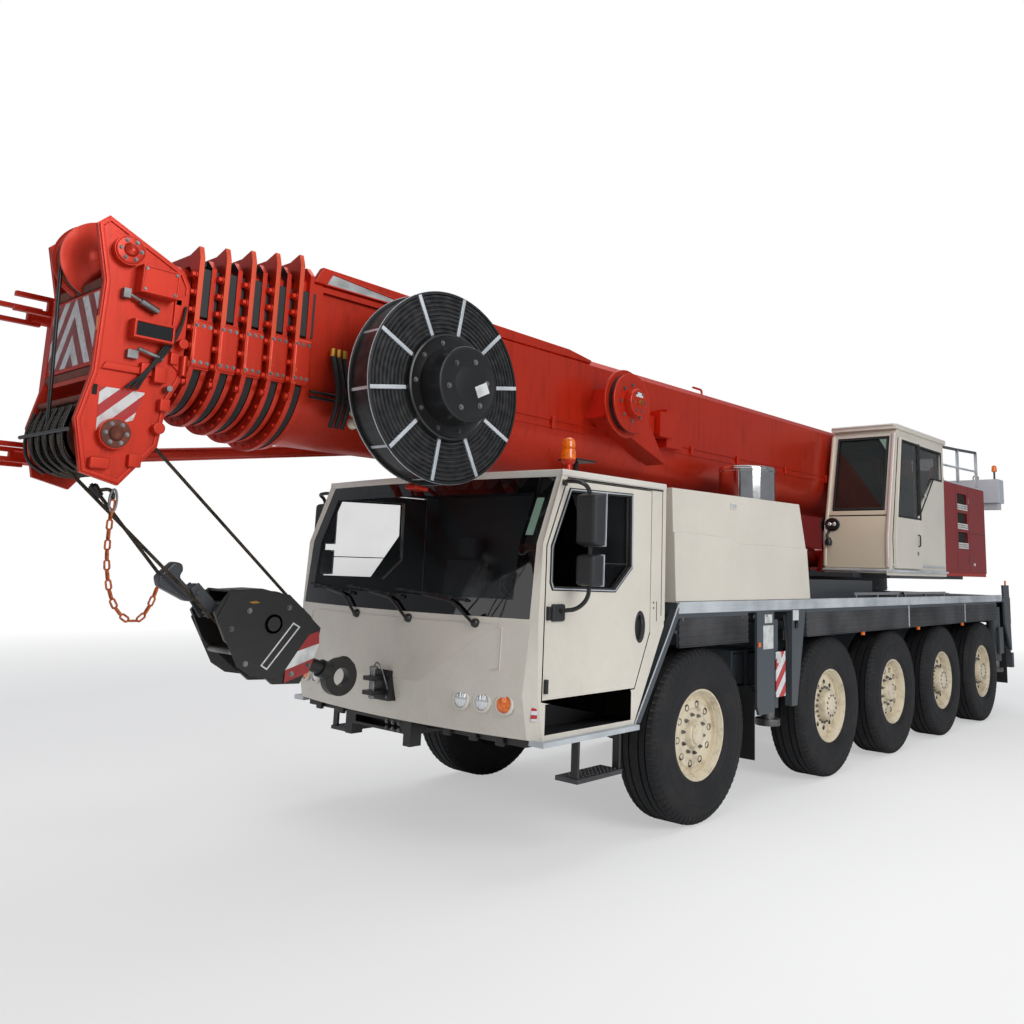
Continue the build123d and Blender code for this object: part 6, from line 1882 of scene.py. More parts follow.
def laid_rope(name, start, end, radius, lay=0.075, strands=6):
    """A laid rope between two points: strands wound round a core by the screw modifier."""
    start, end = Vector(start), Vector(end)
    length = (end - start).length
    turns = length / lay
    clear()
    thin = radius * 0.42
    bpy.ops.mesh.primitive_circle_add(vertices=6, radius=thin, location=(radius - thin, 0, 0),
                                      rotation=(math.radians(70), 0, 0))
    strand = bpy.context.object
    strand.name = name
    settle(strand)
    modify(strand, "SCREW", axis="Z", angle=math.tau * turns, screw_offset=length, steps=max(8, int(turns * 10)),
           render_steps=max(8, int(turns * 10)), use_merge_vertices=False, use_smooth_shade=True)
    rope = ringed(face_out(strand), strands, UP, (0, 0, 0))
    core = turned_bar("core", (0, 0, 0), (0, 0, length), radius * 0.62, 8)
    rope = joined(name, [rope, core])
    turn = (end - start).to_track_quat("Z", "Y").to_matrix().to_4x4()
    rope.data.transform(Matrix.Translation(start) @ turn)
    return ease(rope, 0)


# hoist block, ropes and sling chain
BLOCK_AXIS, BLOCK_SHEAVE_R, ROPE_R = (3.175, 1.582), 0.205, 0.011
CHAIN_ROUTE = [(4.215, 0.100, 2.300), (4.222, 0.104, 2.110), (4.205, 0.096, 1.900), (4.150, 0.084, 1.712),
               (4.030, 0.062, 1.600), (3.920, 0.036, 1.655), (3.872, 0.014, 1.806)]
CHAIN_WIDTH, CHAIN_PITCH = 0.040, 0.0580


def route_line(name, points):
    """Points along a smooth line that the route's points steer."""
    curve = bpy.data.curves.new(name, "CURVE")
    curve.dimensions = "3D"
    curve.resolution_u = 24
    spline = curve.splines.new("NURBS")
    spline.points.add(len(points) - 1)
    for point, place in zip(spline.points, points):
        point.co = (*place, 1)
    spline.order_u = 3
    spline.use_endpoint_u = True
    holder = bpy.data.objects.new(name, curve)
    bpy.context.collection.objects.link(holder)
    bpy.context.view_layer.update()
    mesh = bpy.data.meshes.new_from_object(holder)
    line = [vertex.co.copy() for vertex in mesh.vertices]
    bpy.data.objects.remove(holder)
    bpy.data.meshes.remove(mesh)
    return line


def stations(line, spacing):
    """(place, direction) at even distances, end to end, along a line of points."""
    whole = sum((end - start).length for start, end in zip(line, line[1:]))
    spacing = whole / round(whole / spacing)
    found, reached, target = [], 0.0, spacing / 2
    for start, end in zip(line, line[1:]):
        step = (end - start).length
        while target <= reached + step:
            found.append((start.lerp(end, (target - reached) / step), (end - start).normalized()))
            target += spacing
        reached += step
    return found, reached


class CRANE_OT_hook(bpy.types.Operator):
    """Hook block, hoist ropes, wedge socket and sling chain"""
    bl_idname = "crane.hook"
    bl_label = "Hook block and chain"

    def block(self):
        node = "hook_block"
        block = skin(node, finish.black, 0.006)
        repainted(block, finish.roller, lambda place, normal: abs(place.y) < 0.112 and 0.10 <
                  math.hypot(place.x - AXLE_1 - BLOCK_AXIS[0], place.z - BLOCK_AXIS[1]) < 0.206)
        parts = [block]
        cover = [(3.480, 1.79), (3.25, 1.80), (3.05, 1.745), (2.90, 1.62), (2.86, 1.50), (3.02, 1.31), (3.13, 1.235),
                 (3.30, 1.265), (3.40, 1.33), (3.56, 1.62)]
        cheek = prism("cheek", cover, 0.1545, 0.163)
        strip = framed("strip", along([(3.034, 1.588), (2.980, 1.558), (3.198, 1.297), (3.245, 1.328)], 0.1625), 0.009,
                       (0, 0.003, 0))
        reds = [prism("red", [(2.985, 1.404), (2.908, 1.506), (2.835, 1.525), (2.828, 1.445)], 0.1565, 0.1645),
                prism("red", [(3.067, 1.289), (2.862, 1.352), (2.895, 1.262), (3.068, 1.209)], 0.1565, 0.1645)]
        pale = prism("pales", [(2.985, 1.404), (2.828, 1.445), (2.862, 1.352), (3.067, 1.289)], 0.1565, 0.1640)
        studs = bolts([at(x, 0.163, z) for x, z in ((3.349, 1.668), (3.071, 1.683), (3.46, 1.56), (3.348, 1.345),
                                                    (3.02, 1.262), (2.90, 1.31))], LEFT, 0.013, 0.010)
        boss = turned("boss", at(BLOCK_AXIS[0], 0.162, BLOCK_AXIS[1]), LEFT,
                      [(0, 0), (0, 0.062), (0.008, 0.060), (0.008, 0.045), (0.004, 0.040), (0.004, 0)], 36)
        wear = prism("wear", [(3.36, 1.722), (3.31, 1.728), (3.28, 1.716), (3.33, 1.712)], 0.1625, 0.1645)
        sides = [clad(cheek, finish.black, 0.003), clad(strip, finish.pale_plate, 0.001),
                 painted(joined("reds", reds), finish.sign_red), painted(pale, finish.pale_plate),
                 painted(studs, finish.steel), clad(boss, finish.black), painted(wear, finish.brass)]
        side = joined("side", sides)
        parts += [side, mirrored(side)]
        hood = [(3.47, 1.793), (3.25, 1.803), (3.06, 1.758), (2.93, 1.665)]
        lid = plate("hood", [at(x, -0.128, z) for x, z in hood] + [at(x, -0.128, z - 0.012) for x, z in hood[::-1]],
                    (0, 0.256, 0))
        parts.append(clad(lid, finish.black, 0.003))
        spacers = [turned_bar("spacer", at(x, -0.15, z), at(x, 0.15, z), 0.020, 20) for x, z in
                   ((3.42, 1.70), (3.42, 1.42), (2.95, 1.50), (3.10, 1.26))]
        parts.append(clad(joined("spacers", spacers), finish.steel, 0.002))
        catch = pipe("catch", [at(2.66, 0.0, 1.21), at(2.61, 0.0, 1.30), at(2.49, 0.0, 1.33), at(2.42, 0.0, 1.26)],
                     0.012, 0.04)
        parts.append(painted(catch, finish.black))
        done(joined("hook_block_dressed", parts), None, body_of(node), "black_steel", [node])

    def ropes(self):
        span_x, span_z = LOWER_SHEAVE[0] - BLOCK_AXIS[0], LOWER_SHEAVE[1] - BLOCK_AXIS[1]
        span = math.hypot(span_x, span_z)
        parts = []
        for side in (1, -1):
            across_x, across_z = -side * span_z / span, side * span_x / span
            low, high = BLOCK_SHEAVE_R + ROPE_R, BLOCK_SHEAVE_R + 0.014
            parts.append(laid_rope("fall", at(BLOCK_AXIS[0] + across_x * low, 0.080, BLOCK_AXIS[1] + across_z * low),
                                   at(LOWER_SHEAVE[0] + across_x * high, 0.105, LOWER_SHEAVE[1] + across_z * high),
                                   ROPE_R))
        parts.append(laid_rope("dead_end", at(3.84, 0, 1.86), at(4.30, 0, 2.385), ROPE_R))
        for part in parts:
            painted(part, finish.rope)
        ferrule = turned("ferrule", at(4.245, 0, 2.312), Vector((0.055, 0, 0.075)),
                         [(0, 0.012), (0.01, 0.026), (0.075, 0.028), (0.085, 0.020), (0.085, 0)], 24)
        eye = pipe("eye", [at(4.262, 0.01, 2.352), at(4.225, 0.06, 2.362), at(4.213, 0.10, 2.335),
                           at(4.215, 0.10, 2.305)], 0.011, 0.02)
        ring = framed("ring", [at(4.215 + 0.026 * math.cos(turn), 0.100, 2.293 + 0.072 * math.sin(turn))
                               for turn in [math.tau * step / 24 for step in range(24)]], 0.010, (0, 0.012, 0))
        socket = plate("socket", along([(3.885, 1.872), (3.795, 1.962), (3.738, 1.950), (3.728, 1.905), (3.752, 1.872),
                                        (3.672, 1.798), (3.640, 1.838), (3.602, 1.815), (3.600, 1.765), (3.640, 1.725),
                                        (3.690, 1.722), (3.868, 1.812)], -0.040), (0, 0.080, 0))
        forks = [plate("fork", along([(3.690, 1.800), (3.640, 1.838), (3.500, 1.700), (3.520, 1.628), (3.560, 1.618)],
                                     y), (0, 0.014, 0)) for y in (-0.060, 0.046)]
        pins = [turned_bar("pin", at(x, -0.068, z), at(x, 0.068, z), 0.016, 18) for x,
                z in ((3.640, 1.775), (3.545, 1.658))]
        iron = joined("iron", [ease(socket, 0.018, 3)] + [ease(fork, 0.006) for fork in forks] +
                      [ease(pin, 0.003) for pin in pins])
        parts += [clad(ferrule, finish.black), painted(eye, finish.rope), clad(ring, finish.steel, 0.004),
                  painted(iron, finish.dark_grey)]
        done(joined("hook_ropes_dressed", parts), None, body_of("hook_ropes"), "black_steel", ["hook_ropes"])

    def chain(self):
        line = route_line("chain_line", [at(*place) for place in CHAIN_ROUTE])
        places, reached = stations(line, CHAIN_PITCH)
        clear()
        bpy.ops.mesh.primitive_torus_add(major_radius=0.0135, minor_radius=0.0062, major_segments=20, minor_segments=8)
        link = settle(bpy.context.object)
        for side in (1, -1):
            choose_faces(link, lambda place, normal: place.x * side > 0)
            bpy.ops.transform.translate(value=(side * 0.0145, 0, 0))
        ease(link, 0)
        links = []
        for number, (place, direction) in enumerate(places):
            across = Vector(LEFT) if number % 2 else direction.cross(Vector(LEFT)).normalized()
            up = direction.cross(across).normalized()
            turn = Matrix((direction, across, up)).transposed().to_4x4()
            one = copied(link, "link")
            one.data.transform(Matrix.Translation(place) @ turn)
            links.append(one)
        bpy.data.objects.remove(link)
        chain = done(joined("sling_chain_links", links), finish.chain, body_of("sling_chain"), "orange_chain",
                     ["sling_chain"])
        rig.cord(chain, exit=at(*CHAIN_ROUTE[0]), length=reached, diameter=CHAIN_WIDTH, far_end="object",
                stiffness="limp", lay="hanging", path=line)

    def execute(self, context):
        self.block()
        self.ropes()
        self.chain()
        return {"FINISHED"}


def cushion(name, low, high, crown=0.22, lean=0.0):
    """A crowned pad: an eased box, divided, rounded towards a ball and smoothed."""
    piece = cut_box(name, low, high)
    size = Vector(high) - Vector(low)
    middle_point = (Vector(high) + Vector(low)) / 2
    modify(piece, "BEVEL", width=min(size) * 0.30, segments=3, limit_method="NONE")
    edit(piece)
    bpy.ops.mesh.select_all(action="SELECT")
    bpy.ops.mesh.subdivide(number_cuts=3, smoothness=0.0)
    clear()
    piece.data.transform(Matrix.Translation(-middle_point))
    modify(piece, "CAST", factor=crown * 0.5, cast_type="CUBOID", use_x=True, use_y=True, use_z=False)
    piece.data.transform(Matrix.Translation(middle_point))
    modify(piece, "SUBSURF", levels=1, render_levels=1)
    if lean:
        rotated(piece, lean, LEFT, (middle_point.x, middle_point.y, low[2]))
    pick(piece)
    bpy.ops.object.shade_smooth()
    return piece


def seat(name, body, x, y, z, width=0.48, lean=-0.13):
    """A sprung seat facing forward: base, cushion, backrest and headrest."""
    pad = cushion(name + "_cushion", at(x - 0.06, y - width / 2, z), at(x + 0.42, y + width / 2, z + 0.13))
    back = cushion(name + "_back", at(x - 0.13, y - width / 2 + 0.01, z + 0.08),
                   at(x + 0.01, y + width / 2 - 0.01, z + 0.68), lean=lean)
    head = cushion(name + "_headrest", at(x - 0.19, y - 0.13, z + 0.70), at(x - 0.10, y + 0.13, z + 0.90), lean=lean)
    for piece in (pad, back, head):
        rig.padded(done(piece, finish.fabric, body, "interior"), fill=0.8)
    seams = [pipe("seam", [at(x + 0.02 + 0.12 * k, y - width / 2 + 0.05, z + 0.1285),
                           at(x + 0.02 + 0.12 * k, y + width / 2 - 0.05, z + 0.1285)], 0.003, 0, 6) for k in range(3)]
    frame_parts = [slab("base", x, x + 0.30, y - width * 0.38, y + width * 0.38, z - 0.19, z + 0.01),
                   slab("shell", x - 0.165, x - 0.140, y - width / 2 + 0.04, y + width / 2 - 0.04, z + 0.05, z + 0.55),
                   slab("slide", x + 0.02, x + 0.34, y - width * 0.30, y + width * 0.30, z - 0.03, z + 0.02)]
    frame_parts += [turned_bar("stalk", at(x - 0.16, y + side * 0.06, z + 0.60),
                               at(x - 0.18, y + side * 0.06, z + 0.76), 0.008, 10) for side in (1, -1)]
    shell = clad(joined("shell", frame_parts), finish.plastic, 0.012)
    done(joined(name + "_frame", [shell, painted(joined("seams", seams), finish.rubber)]), None, body, "interior")


class CRANE_OT_interior(bpy.types.Operator):
    """Seats, wheel and dashboard of both cabs"""
    bl_idname = "crane.interior"
    bl_label = "Cab interiors"

    def execute(self, context):
        node = "cab_interior"
        trim = skin(node, finish.plastic, 0.008)
        dropped(trim, lambda place, normal: place.z > 1.155 and place.x - AXLE_1 < 1.27 and 0.40 < abs(place.y) < 1.1)
        done(trim, None, "carrier", "interior", [node])
        for side, side_name in ((1, "left"), (-1, "right")):
            seat("seat_" + side_name, "carrier", 0.86, side * 0.72, 1.345)
        gauges = [turned("gauge", at(1.66, 0.72 + 0.10 * k, 1.655), (-0.7, 0, 0.7),
                         [(0, 0), (0, 0.04), (0.012, 0.042), (0.014, 0.036), (0.008, 0.0)], 24) for k in (-1, 0, 1)]
        done(joined("gauges", [ease(each, 0) for each in gauges]), finish.screen, "carrier", "interior")
        node = "crane_cab_interior"
        trim = skin(node, finish.plastic, 0.006)
        dropped(trim, lambda place, normal: 2.415 < place.z and -5.61 < place.x - AXLE_1 < -5.0
                and 0.67 < place.y < 1.14)
        done(trim, None, "superstructure", "interior", [node])
        seat("operator_seat", "superstructure", -5.45, 0.905, 2.425, width=0.45)
        levers = [pipe("lever", [at(-5.02, y, 2.60), at(-5.0, y, 2.72)], 0.012) for y in (0.63, 1.18)]
        knobs = [turned("knob", at(-5.0, y, 2.70), UP,
                        [(0, 0.012), (0.02, 0.024), (0.06, 0.026), (0.085, 0.016), (0.09, 0)], 20)
                 for y in (0.63, 1.18)]
        done(ease(joined("levers", levers + knobs), 0), finish.black, "superstructure", "interior")
        return {"FINISHED"}


CRANE_CAB_FRONT = [(-4.090, 2.055), (-4.110, 2.450), (-4.400, 3.730)]


def cab_front_x(z, out=0.0):
    """Where the crane cab's front wall lies at a height."""
    (x0, z0), (x1, z1) = CRANE_CAB_FRONT[:2] if z < 2.45 else CRANE_CAB_FRONT[1:]
    return x0 + (x1 - x0) * (z - z0) / (z1 - z0) + out


class CRANE_OT_crane_cab(bpy.types.Operator):
    """Crane operator's cab: shell, glass, door, pillars, lamps and rails"""
    bl_idname = "crane.crane_cab"
    bl_label = "Crane cab"

    def shell(self):
        node = "crane_cab_shell"
        shell = skin(node, finish.cream, 0.010, flatten=False)
        repainted(shell, finish.plastic, lambda place, normal: -6.05 < place.x - AXLE_1 < cab_front_x(place.z, -0.02)
                  and 0.535 < place.y < 1.318 - 0.04 and 2.09 < place.z < 3.755)
        done(shell, None, "superstructure", "cream_paint", [node])
        glass = painted(refined("crane_cab_glass", 0.0015, flatten=False), finish.cab_glass)
        done(glass, None, "superstructure", "glass", ["crane_cab_glass"])
        # lower front panel, window frame and roof cap
        panel = plate("panel", along([(cab_front_x(2.075, 0.002), 2.075), (cab_front_x(2.45, 0.002), 2.45),
                                      (cab_front_x(2.695, 0.002), 2.695), (cab_front_x(2.695, 0.014), 2.695),
                                      (cab_front_x(2.45, 0.014), 2.45), (cab_front_x(2.075, 0.014), 2.075)], 0.520),
                      (0, 0.770, 0))
        bar = plate("bar", along([(cab_front_x(2.480, -0.03), 2.480), (cab_front_x(2.765, -0.03), 2.765),
                                  (cab_front_x(2.765, 0.010), 2.765), (cab_front_x(2.715, 0.010), 2.715)], 0.505),
                    (0, 0.800, 0))
        frame_line = [at(cab_front_x(z, 0.004), y, z) for y,
                      z in ((0.575, 2.775), (1.235, 2.775), (1.235, 3.690), (0.575, 3.690))]
        gasket = framed("gasket", frame_line, 0.026, (0.010, 0, 0.002))
        line = slab("line", cab_front_x(2.70, -0.01), cab_front_x(2.70, 0.008), 0.505, 1.312, 2.697, 2.713)
        cap = plate("cap", [at(x, y, 3.822) for x, y in ((-6.135, 0.49), (-4.36, 0.49), (-4.33, 0.52), (-4.33, 1.31),
                                                         (-4.36, 1.342), (-6.135, 1.342))], (0, 0, 0.022))
        done(ease(panel, 0.006), finish.cream_warm, "superstructure", "cream_paint").name = "lower_front_panel"
        pieces = [clad(bar, finish.cream_warm, 0.006), clad(gasket, finish.rubber, 0.003),
                  painted(line, finish.rubber), clad(cap, finish.cream_light, 0.008, 3)]
        pillar = pipe("pillar", [at(cab_front_x(z, 0.004), 1.300, z) for z in (2.09, 2.45, 3.10, 3.725)], 0.030, 0.0,
                      16)
        far_pillar = pipe("pillar", [at(cab_front_x(z, 0.0), 0.512, z) for z in (2.09, 2.45, 3.10, 3.725)], 0.026,
                          0.0, 16)
        pieces += [painted(pillar, finish.pillar), painted(far_pillar, finish.cream_warm)]
        sill = slab("sill", -6.06, -4.06, 1.306, 1.352, 2.035, 2.062)
        front_sill = slab("sill", -4.10, -4.045, 0.49, 1.352, 2.035, 2.062)
        pieces.append(clad(joined("sill", [sill, front_sill]), finish.silver, 0.006))
        corner = [at(cab_front_x(3.66, 0.012), 1.12, 3.66), at(cab_front_x(3.66, 0.012), 1.225, 3.66),
                  at(cab_front_x(3.50, 0.012), 1.225, 3.50)]
        pieces.append(painted(plate("tint", corner, (0.002, 0, 0)), finish.pale_green))
        done(joined("crane_cab_trim", pieces), None, "superstructure", "cream_paint")

    def lamps(self):
        back = turned("pad", at(cab_front_x(2.60, 0.012), 0.60, 2.595), AHEAD,
                      [(0, 0), (0, 0.080), (0.030, 0.084), (0.040, 0.070), (0.040, 0)], 32)
        back.data.transform(Matrix.Translation(at(0, 0.60, 0)) @ Matrix.Diagonal((1, 1.15, 1,
                                                                                  1)) @ Matrix.Translation(-at(0,
                                                                                                               0.60,
                                                                                                               0)))
        eyes = [turned("eye", at(cab_front_x(2.60, 0.050), y, 2.60), AHEAD,
                       [(0, 0), (0, 0.026), (0.008, 0.020), (0.010, 0)], 24) for y in (0.570, 0.632)]
        arm = pipe("arm", [at(-4.12, 0.56, 2.52), at(-4.06, 0.55, 2.47), at(-4.055, 0.57, 2.40)], 0.016, 0.02)
        pot = turned("pot", at(-4.055, 0.57, 2.34), UP,
                     [(0, 0), (0, 0.040), (0.05, 0.048), (0.09, 0.030), (0.10, 0)], 24)
        pieces = [clad(back, finish.black), clad(joined("eyes", eyes), finish.lamp_clear),
                  painted(joined("pot", [arm, ease(pot, 0)]), finish.black)]
        done(joined("twin_lamp", pieces), None, "superstructure", "black_steel")
        roof_lamp = turned("roof_lamp", at(-5.9, 0.62, 3.84), UP,
                           [(0, 0), (0, 0.05), (0.02, 0.05), (0.06, 0.045), (0.075, 0.02), (0.078, 0)], 24)
        done(ease(roof_lamp, 0), finish.black, "superstructure", "black_steel")

    def door(self):
        node = "crane_cab_door"
        door = skin(node, finish.cream, 0, flatten=False)
        repainted(door, finish.cab_glass, lambda place, normal: 1.333 < place.y < 1.343 and abs(normal.y) > 0.9
                  and place.z > 2.49)
        ease(door, 0.005)
        fill = prism("fill", [(-4.262, 2.46), (-4.318, 2.700), (-5.05, 2.700), (-5.05, 2.46)], 1.3435, 1.357)
        strip = slab("strip", -5.079, -5.042, 1.3575, 1.3610, 2.69, 3.665)
        trim = [clad(fill, finish.cream, 0.003), painted(strip, finish.rubber)]
        outline = [(-4.318, 2.700), (-4.490, 3.650), (-5.040, 3.650), (-5.040, 2.700)]
        trim.append(clad(framed("seal", along(grown_outline(outline, 0.010), 1.350), 0.026, (0, 0.010, 0)),
                         finish.rubber, 0.003))
        handle = pipe("handle", [at(-4.95, 1.358, 2.50), at(-4.95, 1.385, 2.50), at(-4.95, 1.385, 2.36),
                                 at(-4.95, 1.358, 2.36)], 0.009, 0.02)
        trim.append(painted(handle, finish.black))
        lock = turned("lock", at(-4.93, 1.357, 2.27), LEFT, [(0, 0), (0, 0.022), (0.006, 0.022), (0.006, 0)], 20)
        trim.append(clad(lock, finish.steel))
        done(joined("crane_cab_door_dressed", [door] + trim), None, body_of(node), "cream_paint", [node])
        # wedge of panel under the rear side glass, with its seal
        outline = [(-5.112, 2.700), (-5.112, 3.665), (-6.015, 3.665), (-6.015, 3.262), (-5.700, 3.262)]
        seal = framed("seal", along(outline, 1.309), 0.026, (0, 0.008, 0))
        fill = prism("fill", [(-5.10, 2.69), (-5.10, 2.83), (-5.22, 2.83)], 1.288, 1.3125)
        strip = slab("strip", -5.126, -5.081, 1.3090, 1.3165, 2.69, 3.665)
        tag = turned("tag", at(-5.381, 1.306, 3.027), LEFT, [(0, 0), (0, 0.024), (0.010, 0.024), (0.012, 0)], 24)
        rail = slab("rail", -6.02, -4.20, 1.308, 1.330, 2.108, 2.128)
        done(joined("side_trim", [clad(seal, finish.rubber, 0.003), painted(strip, finish.rubber),
                                  clad(fill, finish.cream, 0.002), clad(tag, finish.pale_plate),
                                  clad(rail, finish.silver, 0.003)]), None, "superstructure", "cream_paint")

    def execute(self, context):
        self.shell()
        self.lamps()
        self.door()
        return {"FINISHED"}


SLEW_X, BOOM_PIVOT, WINCH = -5.1, (-7.1, 3.05), (-8.380, 3.470)


class CRANE_OT_tail(bpy.types.Operator):
    """Slewing platform, powerhouse, winch, counterweight and luffing cylinder"""
    bl_idname = "crane.tail"
    bl_label = "Superstructure"

    def powerhouse(self):
        node = "powerhouse_and_tank"
        house = skin(node, finish.dark_red, 0.008, flatten=False)
        repainted(house, finish.silver, lambda place, normal: place.z > 3.31 and place.y > 1.0)
        done(house, None, "superstructure", "red_paint", [node])
        slats, hollows = [], []
        slots = [(3.170 - 0.272 * level - 0.150, 3.170 - 0.272 * level) for level in range(3)]
        sheets = [slab("sheet", x0, x1, 1.2990, 1.3010, 2.062, 3.294) for x0,
                  x1 in ((-7.897, -7.068), (-6.662, -6.113))]
        sheets += [slab("sheet", -7.068, -6.662, 1.2990, 1.3010, z0, z1) for z0, z1 in
                   zip([2.062] + [high for low, high in slots[::-1]], [low for low, high in slots[::-1]] + [3.294])]
        done(joined("powerhouse_sheets", sheets), finish.dark_red, "superstructure", "red_paint")
        for low, top in slots:
            # painted shade: dark sheets at the back of the louvre slots
            hollows.append(slab("hollow", -7.066, -6.664, 1.2745, 1.277, top - 0.148, top - 0.002))
            for step in range(3):
                z = top - 0.150 - 0.030 * step
                slats.append(prism("slat", [(-7.075, z), (-6.655, z), (-6.655, z - 0.022), (-7.075, z - 0.022)],
                                   1.298, 1.312))
        done(joined("louvre_backs", hollows), finish.dark_hole, "superstructure", "black_steel")
        done(ease(joined("louvre_slats", slats), 0.003), finish.pale_plate, "superstructure", "polished_steel")
        edge = slab("edge", -7.91, -6.10, 1.22, 1.306, 3.295, 3.309)
        knob = turned("knob", at(-7.315, 1.298, 2.178), LEFT, [(0, 0), (0, 0.022), (0.02, 0.022), (0.024, 0)], 20)
        seams = [slab("seam", x - 0.003, x + 0.003, 1.3000, 1.3018, 2.07, 3.285) for x in (-6.60, -7.135)]
        seams.append(slab("seam", -7.9, -7.14, 1.3000, 1.3018, 2.62, 2.626))
        hinges = [turned_bar("hinge", at(-7.135, 1.303, z), at(-7.135, 1.303, z + 0.08), 0.010, 12)
                  for z in (2.2, 3.05)]
        posts = [pipe("rail", [at(x0, 1.215, z0), at(x1, 1.215, z1)], 0.021, 0, 12) for x0, z0, x1, z1 in
                 ((-6.18, 3.79, -7.0, 3.83), (-7.0, 3.83, -7.86, 3.88))]
        pieces = [clad(edge, finish.pale_grey, 0.003), clad(knob, finish.pale_plate),
                  painted(joined("seams", seams), finish.rubber), clad(joined("hinges", hinges), finish.steel, 0.002),
                  painted(joined("rails", posts), finish.dark_grey)]
        done(joined("powerhouse_trim", pieces), None, "superstructure", "polished_steel")
        grille = [slab("bar", -7.5 + 0.055 * k, -7.475 + 0.055 * k, 0.62, 1.18, 3.299, 3.307) for k in range(22)]
        done(joined("roof_grille", grille), finish.black, "superstructure", "black_steel")
        cap = turned("cap", at(-6.6, -0.9, 2.90), UP,
                     [(0, 0), (0, 0.07), (0.03, 0.07), (0.035, 0.06), (0.035, 0)], 28)
        straps = [slab("strap", x, x + 0.06, -1.256, -0.543, 2.06, 2.906) for x in (-6.45, -7.5)]
        done(joined("tank_trim", [clad(cap, finish.black), painted(joined("straps", straps), finish.black)]), None,
             "superstructure", "black_steel")

    def winch(self):
        node = "hoist_winch"
        parts = [skin(node, finish.red, 0.005)]
        profile = [(-0.392, 0.205)]
        for turn in range(32):
            start = -0.390 + 0.02437 * turn
            profile += [(start + 0.003, 0.224), (start + 0.009, 0.231), (start + 0.0155, 0.231),
                        (start + 0.0215, 0.224)]
        profile.append((0.392, 0.205))
        centre = at(WINCH[0], 0, WINCH[1])
        wound = turned("wound", centre, LEFT, profile, 56)
        parts.append(clad(wound, finish.rope))
        studs = ringed(bolt(at(WINCH[0] + 0.24, 0.429, WINCH[1]), LEFT, 0.014, 0.012), 8, LEFT, centre)
        studs = joined("studs", [studs, mirrored(studs)])
        parts.append(painted(studs, finish.steel))
        done(joined("hoist_winch_dressed", parts), None, body_of(node), "red_paint", [node])

    def platform(self):
        node = "slew_platform"
        platform = skin(node, finish.red, 0.006)
        repainted(platform, finish.dark_grey, lambda place, normal: place.z < 2.02)
        repainted(platform, finish.steel, lambda place, normal: abs(place.y) > 0.522 and abs(normal.y) > 0.9 and
                  math.hypot(place.x - AXLE_1 - BOOM_PIVOT[0], place.z - BOOM_PIVOT[1]) < 0.15)
        done(platform, None, "superstructure", "red_paint", [node])
        ring = ringed(bolt(at(SLEW_X + 0.80, 0, 1.832), UP, 0.022, 0.022), 36, UP, at(SLEW_X, 0, 1.8))
        done(ring, finish.steel, "carrier", "polished_steel")
        pins = ringed(bolt(at(BOOM_PIVOT[0] + 0.10, 0.535, BOOM_PIVOT[1]), LEFT, 0.014, 0.012), 8, LEFT,
                      at(BOOM_PIVOT[0], 0.5, BOOM_PIVOT[1]))
        done(both("pivot_bolts", pins), finish.steel, "superstructure", "polished_steel")
        hoses = [pipe("hose", [at(-6.25 - 0.06 * k, 0.43, 2.35), at(-6.0 - 0.05 * k, 0.47, 2.72),
                               at(-6.35, 0.47, 2.95 - 0.03 * k), at(-6.62, 0.45, 2.90 - 0.04 * k)], 0.018, 0.12, 8)
                 for k in range(3)]
        done(both("platform_hoses", joined("hoses", hoses)), finish.rubber, "superstructure", "black_steel")

    def cylinder(self):
        done(skin("luff_barrel", finish.red, 0.005), None, body_of("luff_barrel"), "red_paint", ["luff_barrel"])
        done(skin("luff_rod", finish.chrome, 0.003), None, body_of("luff_rod"), "polished_steel", ["luff_rod"])

    def weight(self):
        node = "counterweight"
        done(skin(node, finish.pale_grey, 0.020), None, "superstructure", "counterweight_grey", [node])
        eyes = [framed("eye", [at(-8.90, y + 0.05 * math.cos(turn), 3.60 + 0.05 * math.sin(turn)) for turn in
                               [math.tau * step / 20 for step in range(20)]], 0.016, (0.02, 0, 0)) for y in (-0.9, 0.9)]
        posts = [pipe("post", [at(-8.93, y, 3.55), at(-8.93, y, 3.70)], 0.016) for y in (-1.18, 1.18)]
        lamps = [turned("lamp", at(-8.93, y, 3.695), UP,
                        [(0, 0), (0, 0.038), (0.03, 0.042), (0.09, 0.036), (0.105, 0.015), (0.107, 0)], 24)
                 for y in (-1.18, 1.18)]
        boxes = [slab("box", -8.82, -8.99, 0.98, 1.25, 3.08, 3.182),
                 slab("box", -8.80, -8.95, -1.25, -0.98, 3.08, 3.182)]
        pieces = [clad(joined("eyes", eyes), finish.steel, 0.004), painted(joined("posts", posts), finish.dark_grey),
                  clad(joined("lamps", lamps), finish.amber), clad(joined("boxes", boxes), finish.pale_grey, 0.01)]
        done(joined("counterweight_fittings", pieces), None, "superstructure", "counterweight_grey")
        board = plate("board", [at(-9.0215, y, z) for y, z in ((0.55, 3.22), (0.55, 3.50), (1.25, 3.50),
                                                               (1.25, 3.22))], (-0.003, 0, 0))
        done(both("tail_boards", board), finish.board_stripes_y, "superstructure", "lamp_amber")

    def execute(self, context):
        self.powerhouse()
        self.winch()
        self.platform()
        self.cylinder()
        self.weight()
        return {"FINISHED"}


STEPS = (CRANE_OT_hook, CRANE_OT_wheels, CRANE_OT_chassis, CRANE_OT_cab, CRANE_OT_doors, CRANE_OT_interior,
         CRANE_OT_deck, CRANE_OT_cover, CRANE_OT_boom, CRANE_OT_head, CRANE_OT_reels, CRANE_OT_crane_cab,
         CRANE_OT_tail, CRANE_OT_rest, CRANE_OT_stage)


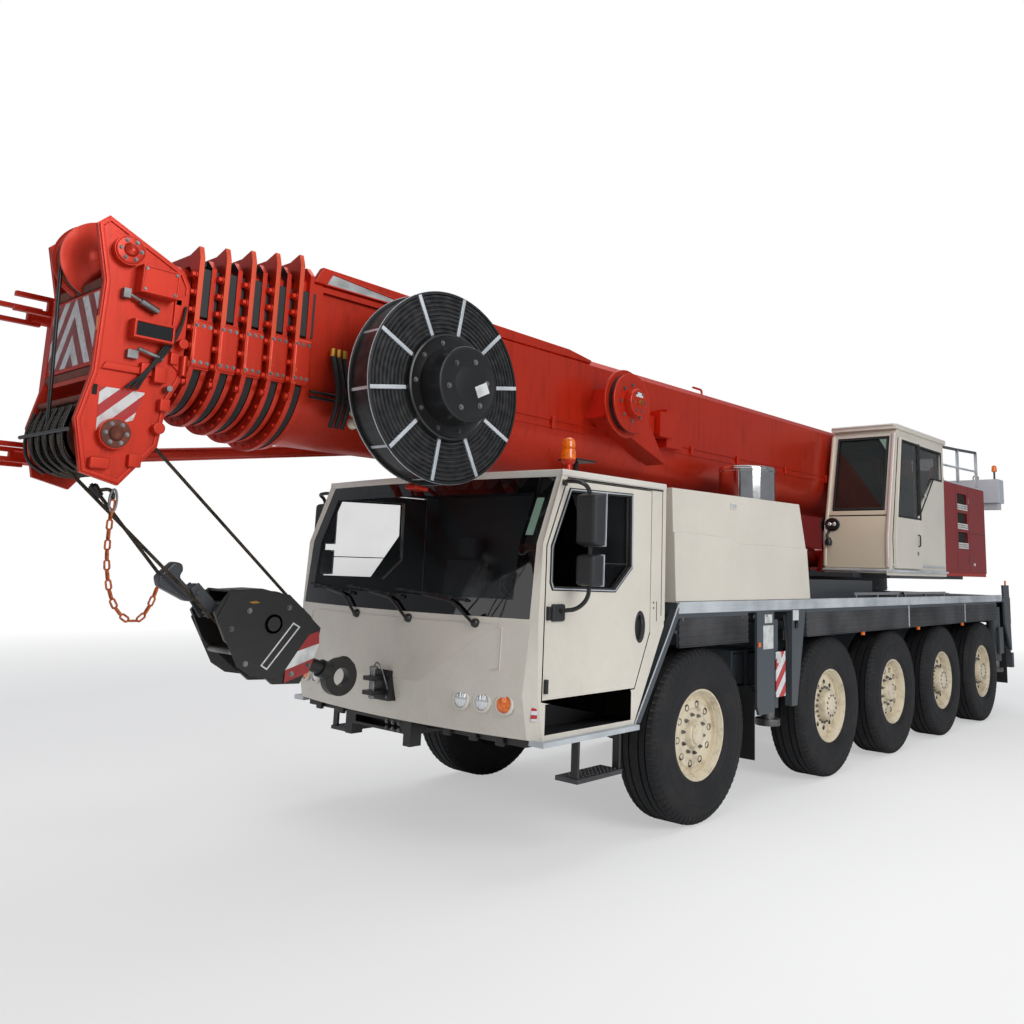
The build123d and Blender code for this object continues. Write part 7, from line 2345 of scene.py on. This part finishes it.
class CRANE_PT_panel(bpy.types.Panel):
    """Lists the crane's building steps"""
    bl_idname = "CRANE_PT_panel"
    bl_label = "Crane"
    bl_space_type = "VIEW_3D"
    bl_region_type = "UI"
    bl_category = "Crane"

    def draw(self, context):
        column = self.layout.column()
        for name in ("cream", "boom_red", "tank_red", "frame_grey"):
            column.prop(context.scene.crane_colours, name)
        for step in STEPS:
            column.operator(step.bl_idname)


CLASSES = (CraneColours, CraneCamera, *STEPS, CRANE_PT_panel)


def register():
    for each in CLASSES:
        bpy.utils.register_class(each)
    bpy.types.Scene.crane_colours = bpy.props.PointerProperty(type=CraneColours)
    bpy.types.Scene.crane_camera = bpy.props.PointerProperty(type=CraneCamera)


def unregister():
    del bpy.types.Scene.crane_camera
    del bpy.types.Scene.crane_colours
    for each in reversed(CLASSES):
        bpy.utils.unregister_class(each)


def main():
    register()
    bpy.context.scene.view_settings.view_transform = "Standard"
    for step in STEPS:
        group, name = step.bl_idname.split(".")
        getattr(getattr(bpy.ops, group), name)()
    clear()
    sizes = {"cad": [list(corner) for corner in CAD_BOX], "visual": [list(corner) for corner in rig.bounds()]}
    with open("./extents.json", "w") as file:
        json.dump(sizes, file)


if __name__ == "__main__":
    main()
